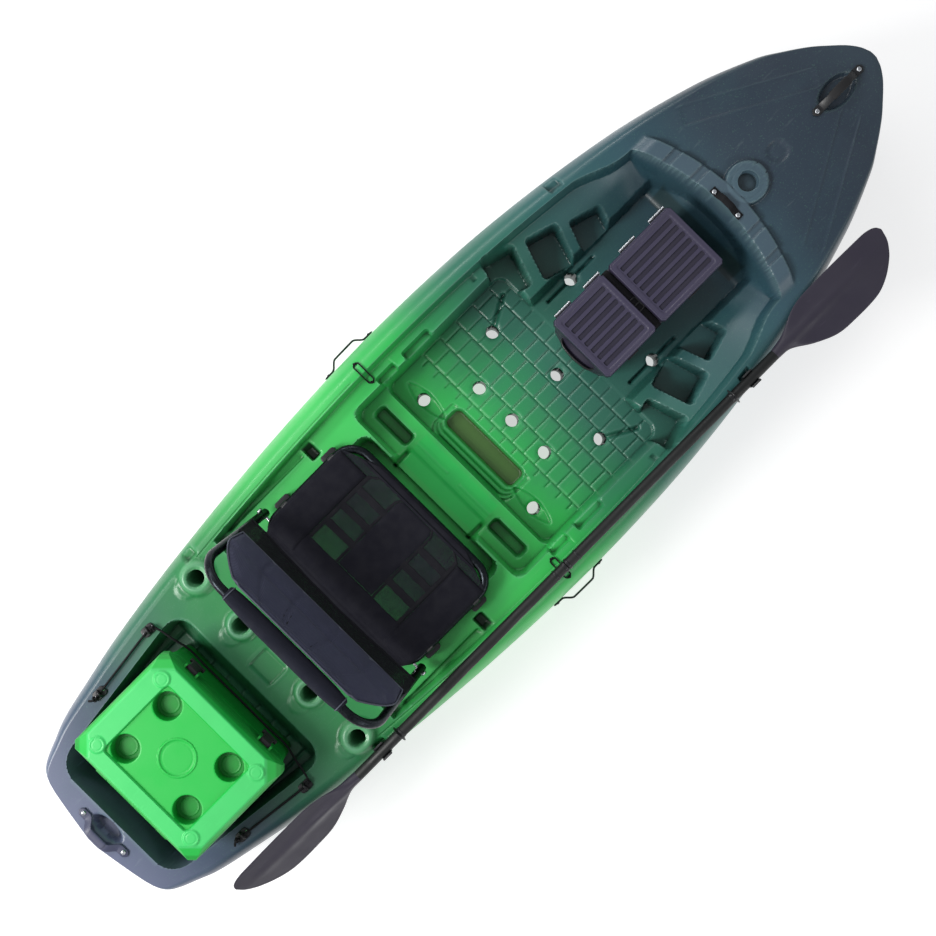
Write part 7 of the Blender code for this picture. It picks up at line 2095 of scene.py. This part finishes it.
def build_pod_strap(webbing, trim):
    """Webbing strap over the bridge between the lids, with a slider buckle."""
    offset = 0.001 + 0.0007
    half = POD_HALF + offset
    foot = POD_HALF * (0.94 + 0.06 * 0.030 / 0.140) + offset
    top = POD_RIM + offset
    corner = 0.006
    side = [(foot, POD_LOW + 0.030), (half - 0.0004, POD_LOW + 0.130), (half, POD_LOW + 0.145)]
    side.append((half, top - corner))
    for angle in (22, 45, 68, 90):
        c, s = math.cos(math.radians(angle)), math.sin(math.radians(angle))
        side.append((half - corner * (1 - c), top - corner * (1 - s)))
    path = side + [(half * share, top) for share in (0.7, 0.35, 0.0, -0.35, -0.7)]
    path += [(-y, z) for y, z in reversed(side)]
    points = smooth_route([(POD_SPLIT, y, z) for y, z in path], 120)
    strap = band("tackle_strap", points, POD_STRAP_WIDTH, 0.002, (1, 0, 0), webbing, 3)
    piece(strap, "tackle_box", "cord", "pod_strap")
    z = POD_RIM + 0.0044
    ring = ((-1, -0.8), (-1, 0.8), (-0.8, 1), (0.8, 1), (1, 0.8), (1, -0.8), (0.8, -1), (-0.8, -1))
    ring = [(POD_SPLIT + 0.0098 * sx, 0.020 * sy - 0.02, z) for sx, sy in ring]
    buckle = tube("tackle_strap_buckle", ring, 0.0016, trim, 12, closed=True)
    bar = [(POD_SPLIT + 0.0098 * place, -0.02, z) for place in (-1, 0, 1)]
    bar = tube("tackle_strap_bar", bar, 0.0014, trim, 12, tips=False)
    piece(buckle, "tackle_box", "black_plastic")
    piece(bar, "tackle_box", "black_plastic")


SEAT_FRONT = -0.241
SEAT_REAR = SEAT_FRONT - 0.345
SEAT_HALF = 0.272
SEAT_TUBE_Z = 0.347
SEAT_TUBE = 0.0125
BACK_HALF = 0.301
BACK_LENGTH = 0.360
BACK_LEAN = math.radians(27)
BACK_CORNER = 0.085
BACK_PIVOT_X = SEAT_REAR + 0.030
FABRIC_REST = SEAT_TUBE_Z + SEAT_TUBE + 0.0003
FABRIC_OUT = SEAT_TUBE + 0.0003


CLAMP_RADIUS = 0.0142
CLOTH_SHARP = 60
MESH_ROUGH = 0.7
MESH_THICKNESS = 0.0012


def back_point(along, y, out):
    """Point on the backrest: along it from the pivot, across it and out from its plane."""
    sin, cos = math.sin(BACK_LEAN), math.cos(BACK_LEAN)
    return (BACK_PIVOT_X - along * sin + out * cos, y, SEAT_TUBE_Z + along * cos + out * sin)


def cloth_grid(name, point, thick, columns, rows, material):
    """Closed thin sheet: point(share along, share across, offset) gives both of its sides."""
    s = np.linspace(0, 1, rows + 1)
    t = np.linspace(-1, 1, columns + 1)
    layers = []
    for side in (0, 1):
        layers.append([[point(a, b, side * thick(a, b)) for b in t] for a in s])
    wide = columns + 1
    count = (rows + 1) * wide
    vertices = [p for layer in layers for row in layer for p in row]
    faces = []
    for i in range(rows):
        for j in range(columns):
            a, b, c, d = i * wide + j, i * wide + j + 1, (i + 1) * wide + j + 1, (i + 1) * wide + j
            faces.append((a, b, c, d))
            faces.append((d + count, c + count, b + count, a + count))
    border = [(0, j) for j in range(columns)] + [(i, columns) for i in range(rows)]
    border += [(rows, j) for j in range(columns, 0, -1)] + [(i, 0) for i in range(rows, 0, -1)]
    loop = [i * wide + j for i, j in border]
    for a, b in zip(loop, loop[1:] + loop[:1]):
        faces.append((b, a, a + count, b + count))
    obj = mesh_object(name, vertices, faces, material, CLOTH_SHARP)
    outward(obj, CLOTH_SHARP)
    return obj


def mesh_finish(name, colour, pitch, hole):
    """Open polyester mesh: rows of small holes, offset in alternate rows, between fine yarns."""
    finish = Finish(name, shade(*colour), MESH_ROUGH, sheen=0.02)
    finish.set(finish.shader, "Specular IOR Level", 0.25)
    split = finish.node("ShaderNodeSeparateXYZ", {"Vector": finish.place})
    turn = 2 * math.pi / pitch
    across = finish.math("SINE", finish.math("MULTIPLY", split.outputs["Y"], turn))
    slope = finish.math("ADD", split.outputs["X"], finish.math("MULTIPLY", split.outputs["Z"], -0.5))
    along = finish.math("SINE", finish.math("MULTIPLY", slope, turn))
    cell = finish.math("MULTIPLY", across, along)
    open_cell = finish.math("GREATER_THAN", finish.math("ABSOLUTE", cell), hole)
    finish.set(finish.shader, "Alpha", finish.math("SUBTRACT", 1.0, open_cell))
    light = tuple(min(255, int(c * 1.4) + 6) for c in colour)
    dark = tuple(int(c * 0.6) for c in colour)
    finish.stain(finish.span(finish.noise(24.0, 4.0), 0.4, 0.7, 0.0, 0.35), shade(*light))
    finish.stain(finish.span(finish.noise(7.0, 3.0), 0.5, 0.8, 0.0, 0.3), shade(*dark))
    finish.polish(finish.noise(60.0, 4.0), MESH_ROUGH - 0.1, MESH_ROUGH + 0.1)
    finish.bump(cell, 0.5, 0.0006)
    finish.bump(finish.noise(1200.0, 2.0), 0.2, 0.0003)
    return finish.material


def sling_waist(share):
    """How far the sling's side edge draws in: a slight waist and two cut front corners."""
    return max(0.028 * (1 - math.sin(math.pi * share)) ** 4, 0.115 * (1 - share / 0.125))


def sling_point(share, across, offset):
    """Point on the sling: from front to rear, across it, and above it."""
    front, rear = SEAT_FRONT + 0.006, SEAT_REAR - 0.006
    over_x = max(1 - ((2 * share - 1) / 0.88) ** 2, 0.0)
    over_y = max(1 - (across / 0.88) ** 2, 0.0)
    half = SEAT_HALF + 0.006 - sling_waist(share)
    sag = 0.020 * (over_x * over_y) ** 2
    ripple = 0.0007 * math.sin(26 * share + 3 * across) * (over_x * over_y)
    return (front + (rear - front) * share, across * half, FABRIC_REST - sag + ripple + offset)


def wrapped_point(share, across, offset):
    """Sling point whose front and rear ends roll over the tubes."""
    x, y, z = sling_point(share, across, offset)
    drop = 0.0
    for tube_x in (SEAT_FRONT, SEAT_REAR):
        past = abs(x - tube_x)
        if past < SEAT_TUBE:
            drop = max(drop, (SEAT_TUBE - math.sqrt(SEAT_TUBE**2 - past**2)) * 0.55)
    return (x, y, z - drop * (1 if share < 0.06 or share > 0.94 else 0))


def build_sling(mesh, cloth, webbing):
    """Seat sling: open mesh inside wide padded side panels, bound edges, front and rear sleeves."""
    base = cloth_grid("seat_sling_mesh", sling_point, lambda a, b: MESH_THICKNESS, 84, 64, mesh)
    piece(base, "seat", "mesh_fabric", "seat_sling")

    def strip(name, a0, a1, b0, b1, rise, material, columns, rows):
        def place(share, across, offset):
            a = a0 + (a1 - a0) * share
            b = b0 + (b1 - b0) * (across + 1) / 2
            return wrapped_point(a, b, offset)

        def thick(share, across):
            edge = min(share, 1 - share) * abs(a1 - a0) * 0.36
            side = (1 - abs(across)) / 2 * abs(b1 - b0) * 0.27
            crown = min(1.0, (edge / 0.012)) ** 0.5 * min(1.0, (side / 0.010)) ** 0.5
            return 0.0016 + rise * crown

        obj = cloth_grid(name, lambda s, t, o: place(s, t, o + 0.0013), thick, columns, rows, material)
        piece(obj, "seat", "pad_fabric")

    for side, label in SIDES:
        for name, a0, a1, b0, b1, rise, material, columns, rows in (
            ("bolster", 0.130, 0.945, 0.63, 0.995, 0.0075, cloth, 30, 70),
            ("seam", 0.03, 0.97, 0.585, 0.628, 0.0012, webbing, 6, 60),
            ("inner_seam", 0.05, 0.95, 0.235, 0.262, 0.0010, webbing, 6, 60),
        ):
            b0, b1 = sorted((side * b0, side * b1))
            strip(f"seat_{name}_{label}", a0, a1, b0, b1, rise, material, columns, rows)
    strip("seat_front_sleeve", 0.004, 0.075, -0.985, 0.985, 0.0022, cloth, 70, 12)
    strip("seat_rear_sleeve", 0.760, 0.996, -0.985, 0.985, 0.0026, cloth, 70, 24)
    strip("seat_centre_panel", 0.080, 0.755, -0.230, 0.230, 0.0022, cloth, 30, 50)
    for number, share in enumerate((0.215, 0.385, 0.555)):
        strip(f"seat_cross_seam_{number}", share, share + 0.060, -0.60, 0.60, 0.0008, webbing, 60, 6)


def build_lumbar(mesh, webbing):
    """Mesh band across the lower backrest, its upper and lower edges bound."""
    def point(share, across, offset):
        along = 0.0705 + 0.0790 * share
        bow = 0.010 * (1 - across * across) ** 2
        return back_point(along, across * 0.307, FABRIC_OUT - bow + offset + 0.0006 * math.sin(18 * across))

    def hem_thick(share, across):
        return 0.0014 + 0.0010 * math.sin(math.pi * share)

    band_mesh = cloth_grid("seat_lumbar_mesh", point, lambda a, b: MESH_THICKNESS, 80, 20, mesh)
    piece(band_mesh, "seat_back", "mesh_fabric", "seat_lumbar")
    for number, (low, high) in enumerate(((0.0, 0.10), (0.90, 1.0))):
        def edge(share, across, offset, low=low, high=high):
            return point(low + (high - low) * share, across, offset + MESH_THICKNESS)

        hem = cloth_grid(f"seat_lumbar_hem_{number}", edge, hem_thick, 80, 6, webbing)
        piece(hem, "seat_back", "pad_fabric")


PAD_LOW = 0.1506
PAD_HIGH = 0.324
PAD_OVER = 0.020
PAD_DIAGONAL = 0.30
PAD_CORNER = 0.104
PAD_PRESSURE = 4.0
PAD_STEPS = 20
CHANNELS = (-0.60, -0.22, 0.22, 0.60)


def pad_half(share):
    """Half width of the back pad along the backrest."""
    corner = PAD_CORNER * (max(0.0, share - PAD_DIAGONAL) / (1 - PAD_DIAGONAL)) ** 1.5
    return 0.304 - 0.008 * (1 - math.sin(math.pi * share)) - corner


def cloth_swell(obj, cap):
    """Blow a padded form up with a short cloth simulation, its movement capped."""
    modifier = obj.modifiers.new("voxels", "REMESH")
    modifier.mode = "VOXEL"
    modifier.voxel_size = 0.0045
    bake(obj)
    before = np.array([v.co for v in obj.data.vertices])
    cloth = obj.modifiers.new("cloth", "CLOTH")
    settings = cloth.settings
    settings.quality = 5
    settings.mass = 0.15
    settings.tension_stiffness = 25
    settings.compression_stiffness = 18
    settings.shear_stiffness = 8
    settings.bending_stiffness = 0.6
    settings.use_pressure = True
    settings.uniform_pressure_force = PAD_PRESSURE
    settings.effector_weights.gravity = 0
    cloth.point_cache.frame_start = 1
    cloth.point_cache.frame_end = PAD_STEPS
    scene = bpy.context.scene
    for step in range(1, PAD_STEPS + 1):
        scene.frame_set(step)
    graph = bpy.context.evaluated_depsgraph_get()
    after = np.array([v.co for v in obj.evaluated_get(graph).data.vertices])
    obj.modifiers.clear()
    scene.frame_set(1)
    move = after - before
    size = np.linalg.norm(move, axis=1)[:, None]
    move = move * np.minimum(1.0, cap / np.maximum(size, 1e-9))
    for vertex, place in zip(obj.data.vertices, before + move):
        vertex.co = place
    modifier = obj.modifiers.new("smooth", "SUBSURF")
    modifier.levels = modifier.render_levels = 1
    bake(obj)


def build_back_pad(cloth, seam_cloth, webbing):
    """Padded back panel: crowned bays between sewn channels, piping, a bare label place."""
    def crown(share, across):
        edge = max(0.0, 1 - abs(across) ** 8) ** 0.5 * math.sin(math.pi * (0.05 + 0.90 * share)) ** 0.45
        sew = 1.0
        for channel in CHANNELS:
            sew -= 0.30 * math.exp(-(((across - channel) / 0.022) ** 2))
        sew -= 0.45 * math.exp(-(((share - 0.42) / 0.045) ** 2)) * (1 if abs(across) < 0.60 else 0.4)
        wrinkle = 0.035 * math.sin(23 * across + 5 * share) * math.sin(math.pi * share)
        return 0.0050 + 0.0150 * max(edge * (sew + wrinkle), 0.0)

    def point(share, across, offset):
        along = PAD_LOW + (PAD_HIGH + PAD_OVER - PAD_LOW) * share
        over = 0.0120 * float(ramp(share, 0.88, 0.98))
        return back_point(along, across * pad_half(share), FABRIC_OUT + over + offset)

    core = cloth_grid("seat_back_panel", point, crown, 120, 48, cloth)
    cloth_swell(core, 0.003)
    core.data.shade_smooth()
    piece(core, "seat_back", "pad_fabric", "seat_back_pad")
    around = [(0.0, t) for t in np.linspace(-1, 1, 40)] + [(s, 1.0) for s in np.linspace(0.04, 0.96, 24)]
    around += [(1.0, t) for t in np.linspace(1, -1, 40)] + [(s, -1.0) for s in np.linspace(0.96, 0.04, 24)]
    edge_points = [point(share, across * 0.996, 0.0062) for share, across in around]
    piping = tube("seat_back_piping", edge_points, 0.0022, seam_cloth, 12, closed=True)
    piece(piping, "seat_back", "pad_fabric")
    for number, channel in enumerate(CHANNELS):
        def place(share, across, offset, channel=channel):
            a, b = 0.05 + 0.90 * share, channel + 0.017 * across
            return point(a, b, crown(a, b) + 0.0008 + offset)

        tape = cloth_grid(f"seat_back_tape_{number}", place, lambda a, b: 0.0009, 6, 44, seam_cloth)
        piece(tape, "seat_back", "pad_fabric")

    def plate(share, across, offset):
        a, b = 0.60 + 0.27 * share, 0.33 * across
        return point(a, b, crown(a, b) + 0.0016 + offset)

    label = cloth_grid("seat_back_panel_plate", plate, lambda a, b: 0.0010, 40, 16, webbing)
    piece(label, "seat_back", "pad_fabric")


def build_sleeve(cloth, seam_cloth):
    """Padded sleeve round the backrest's top tube, gathered at its ends."""
    middle = BACK_LENGTH - 0.008
    rings = []
    for across in np.linspace(-1, 1, 81):
        swell = (1 - 0.28 * abs(across) ** 6) / 2
        tip = min(1.0, (1 - abs(across)) / 0.025)
        swell *= 0.86 + 0.14 * math.sqrt(max(1 - (1 - tip) ** 2, 0.0))
        ring = []
        for k in range(56):
            angle = 2 * math.pi * k / 56
            pleat = 1 + 0.012 * math.sin(9 * angle + 7 * across) * across**2
            pleat += 0.006 * math.sin(31 * across + 3 * angle)
            seam = 1 - 0.05 * math.exp(-((math.cos(angle / 2 + 0.35) / 0.05) ** 2))
            size = swell * pleat * seam
            along, out = middle + 0.062 * size * math.cos(angle), 0.042 * size * math.sin(angle)
            ring.append(back_point(along, 0.205 * across, out))
        rings.append(ring)
    sleeve = skin("seat_sleeve_cover", rings, cloth, 60)
    piece(sleeve, "seat_back", "pad_fabric", "seat_back_sleeve")
    for side in (-1, 1):
        ring = []
        for k in range(40):
            angle = 2 * math.pi * k / 40
            along, out = middle + 0.0255 * math.cos(angle), 0.0175 * math.sin(angle)
            ring.append(back_point(along, side * 0.196, out))
        bind = tube("seat_sleeve_binding", ring, 0.0016, seam_cloth, 10, closed=True)
        piece(bind, "seat_back", "pad_fabric")


def build_seat_frame(frame_material, black, steel):
    """Base loop, backrest hoop, feet with their clamps, and pivot bolts."""
    corners = rounded_outline(SEAT_REAR, SEAT_FRONT, -SEAT_HALF, SEAT_HALF, 0.060, 14)
    corners = [(x, y, SEAT_TUBE_Z) for x, y in corners]
    base = tube("seat_base_tube", corners, SEAT_TUBE, frame_material, 32, closed=True)
    piece(base, "seat", "frame_tube", "seat_base_frame")
    path = [(-0.014, BACK_HALF), (0.10, BACK_HALF), (0.20, BACK_HALF)]
    for step in range(17):
        angle = math.radians(90 * step / 16)
        along = BACK_LENGTH - BACK_CORNER * (1 - math.sin(angle))
        path.append((along, BACK_HALF - BACK_CORNER * (1 - math.cos(angle))))
    path += [(along, -y) for along, y in reversed(path)]
    hoop = tube("seat_back_tube", [back_point(a, y, 0.0) for a, y in path], SEAT_TUBE, frame_material, 32)
    piece(hoop, "seat_back", "frame_tube", "seat_back_frame")
    for end, offset in (("fore", 0.075), ("aft", 0.255)):
        for side, label in SIDES:
            node = f"seat_foot_{end}_{label}"
            x, y = SEAT_FRONT - offset, side * (SEAT_HALF + 0.011)
            low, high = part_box(node)
            low, high = (x - 0.025, y - 0.017, low.z), (x + 0.025, y + 0.017, high.z)
            foot = soft_block(node + "_fine", low, high, 0.008, 0.0022, black)
            piece(foot, "seat", "black_plastic", node)
            clamp = []
            for turn in np.linspace(-0.35 * math.pi, 1.35 * math.pi, 28):
                up, out = CLAMP_RADIUS * math.sin(turn), CLAMP_RADIUS * math.cos(turn)
                clamp.append((x, side * SEAT_HALF + out, SEAT_TUBE_Z + up))
            strap = band(f"seat_clamp_{end}_{label}", clamp, 0.022, 0.0024, (1, 0, 0), black, 3)
            piece(strap, "seat", "black_plastic")
    for side, label in SIDES:
        low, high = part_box(f"seat_pivot_bolt_{label}")
        inner, outer = (low.y, high.y) if side > 0 else (high.y, low.y)
        length = abs(outer - inner)
        profile = (
            (0.0034, 0.0), (0.0040, 0.0006), (0.0040, length - 0.0049), (0.0088, length - 0.0048),
            (0.0090, length - 0.0030), (0.0078, length - 0.0008), (0.0060, length),
        )
        start = (BACK_PIVOT_X, inner, SEAT_TUBE_Z)
        bolt = turned(f"seat_pivot_{label}", start, (0, side, 0), profile, 32, steel)
        hexagon = []
        for k in range(6):
            hexagon.append((0.0036 * math.cos(math.radians(60 * k)), 0.0036 * math.sin(math.radians(60 * k))))
        matrix = Matrix.Translation((BACK_PIVOT_X, outer - side * 0.0026, SEAT_TUBE_Z))
        matrix = matrix @ Matrix.Rotation(math.radians(-90 * side), 4, "X")
        cut(bolt, [prism("hexagon", hexagon, 0.0, 0.01, matrix)])
        piece(bolt, "seat", "steel", f"seat_pivot_bolt_{label}")


def build_all():
    """Build every piece."""
    black = plastic_finish("black_plastic", (26, 27, 30), 0.38)
    rubber = plastic_finish("rubber", (24, 24, 26), 0.62)
    cord = web_finish("cord_black", (22, 22, 25), 0.0014, 0.7)
    steel = metal_finish("steel", (205, 208, 212), 0.26)
    piece(build_hull(hull_finish()), "hull", "hull_plastic", "hull")
    build_bungee(cord)
    build_screws(steel)
    build_carry_handles(black, rubber, plastic_finish("stern_strap", (66, 69, 94), 0.40))
    build_breakwater_loop(cord)
    build_side_handles(black)
    build_pad_eyes(black, steel)
    build_gunwale_loops(cord)
    build_drain_plug(black, rubber)
    shaft = plastic_finish("paddle_shaft", (12, 15, 15), 0.55)
    blade = plastic_finish("paddle_blade", (48, 44, 58), 0.44)
    build_paddle(shaft, blade, black)
    lid_top = LID_Z + LID_HEIGHT
    # Painted shade: darker, more saturated green below the lid's top, in its recess and cups and on the lid's
    # and box's sides
    lid_painted_shade = (((8, 176, 58), 0.85, lid_top - 0.0040), ((0, 122, 34), 0.60, lid_top - 0.0140))
    box = plastic_finish("cool_box_plastic", (60, 198, 102), 0.50, shaded=0.6, low=lid_painted_shade)
    # Painted shade: a darker tone below the lid ribs' tops, in the grooves and on the box's sides
    pod_painted_shade = (((36, 33, 46), 0.75, POD_RIM + POD_LID - 0.0042),)
    pod = plastic_finish("tackle_box_plastic", (62, 58, 80), 0.42, shaded=0.7, low=pod_painted_shade)
    build_cool_box(box, black, steel, rubber)
    build_tackle_box(pod, black, steel, cord)
    mesh = mesh_finish("mesh_fabric", (17, 21, 29), 0.0042, 0.70)
    lumbar = mesh_finish("lumbar_mesh", (10, 12, 18), 0.0036, 0.70)
    cloth = web_finish("pad_fabric", (54, 56, 74), 0.0018, 0.8)
    seam_cloth = web_finish("seam_fabric", (84, 88, 100), 0.0016, 0.75)
    webbing = web_finish("webbing", (15, 15, 22), 0.0015, 0.75)
    build_sling(mesh, web_finish("bolster_fabric", (15, 15, 25), 0.0018, 0.8), webbing)
    build_lumbar(lumbar, webbing)
    build_back_pad(cloth, seam_cloth, webbing)
    build_sleeve(web_finish("sleeve_fabric", (24, 26, 38), 0.0018, 0.8), seam_cloth)
    build_seat_frame(metal_finish("frame_tube", (44, 48, 52), 0.32), black, steel)


def place_camera():
    """Camera straight above the hull, turned as in the photograph."""
    data = bpy.data.cameras.new("camera")
    data.lens = FOCAL
    data.sensor_width = 36.0
    data.clip_end = 60.0
    camera = bpy.data.objects.new("camera", data)
    camera.location = CAMERA_PLACE
    camera.rotation_euler = (0.0, 0.0, CAMERA_TURN)
    bpy.context.scene.collection.objects.link(camera)
    bpy.context.scene.camera = camera


def area_light(name, place, target, size, power, colour=(1, 1, 1)):
    """Rectangular lamp aimed at a point."""
    data = bpy.data.lights.new(name, "AREA")
    data.shape = "RECTANGLE"
    data.size, data.size_y = size
    data.energy = power
    data.color = colour
    lamp = bpy.data.objects.new(name, data)
    lamp.location = place
    lamp.rotation_euler = (Vector(target) - Vector(place)).to_track_quat("-Z", "Y").to_euler()
    bpy.context.scene.collection.objects.link(lamp)


def build_studio():
    """Pale floor, soft lamps and a white background for the camera."""
    floor_mesh = bpy.data.meshes.new("floor")
    corners = ((-9, -9), (9, -9), (9, 9), (-9, 9))
    floor_mesh.from_pydata([(x, y, -0.001) for x, y in corners], [], [(0, 1, 2, 3)])
    floor = bpy.data.objects.new("floor", floor_mesh)
    bpy.context.scene.collection.objects.link(floor)
    material = bpy.data.materials.new("floor_white")
    material.use_nodes = True
    inputs = material.node_tree.nodes["Principled BSDF"].inputs
    inputs["Base Color"].default_value = (0.60, 0.60, 0.60, 1)
    inputs["Roughness"].default_value = 0.9
    inputs["Emission Color"].default_value = (1, 1, 1, 1)
    inputs["Emission Strength"].default_value = 0.60
    floor_mesh.materials.append(material)
    world = bpy.data.worlds.new("studio")
    world.use_nodes = True
    bpy.context.scene.world = world
    nodes = world.node_tree.nodes
    links = world.node_tree.links
    soft = nodes["Background"]
    soft.inputs["Color"].default_value = (0.95, 0.97, 1.0, 1)
    soft.inputs["Strength"].default_value = 0.36
    white = nodes.new("ShaderNodeBackground")
    white.inputs["Strength"].default_value = 1.0
    white.inputs["Color"].default_value = (1, 1, 1, 1)
    mix = nodes.new("ShaderNodeMixShader")
    path = nodes.new("ShaderNodeLightPath")
    links.new(path.outputs["Is Camera Ray"], mix.inputs["Fac"])
    links.new(soft.outputs[0], mix.inputs[1])
    links.new(white.outputs[0], mix.inputs[2])
    links.new(mix.outputs[0], nodes["World Output"].inputs["Surface"])
    area_light("key", (-3.4, 1.6, 3.6), (-0.2, 0, 0.2), (1.8, 1.8), 190, (1.0, 0.99, 0.97))
    area_light("strip_port", (0.0, 2.6, 2.3), (0, 0.1, 0.25), (4.4, 0.5), 42)
    area_light("strip_starboard", (0.0, -2.8, 2.0), (0, -0.1, 0.25), (4.4, 0.5), 26)
    bpy.context.scene.view_settings.view_transform = "Standard"


place_camera()
build_studio()
build_all()
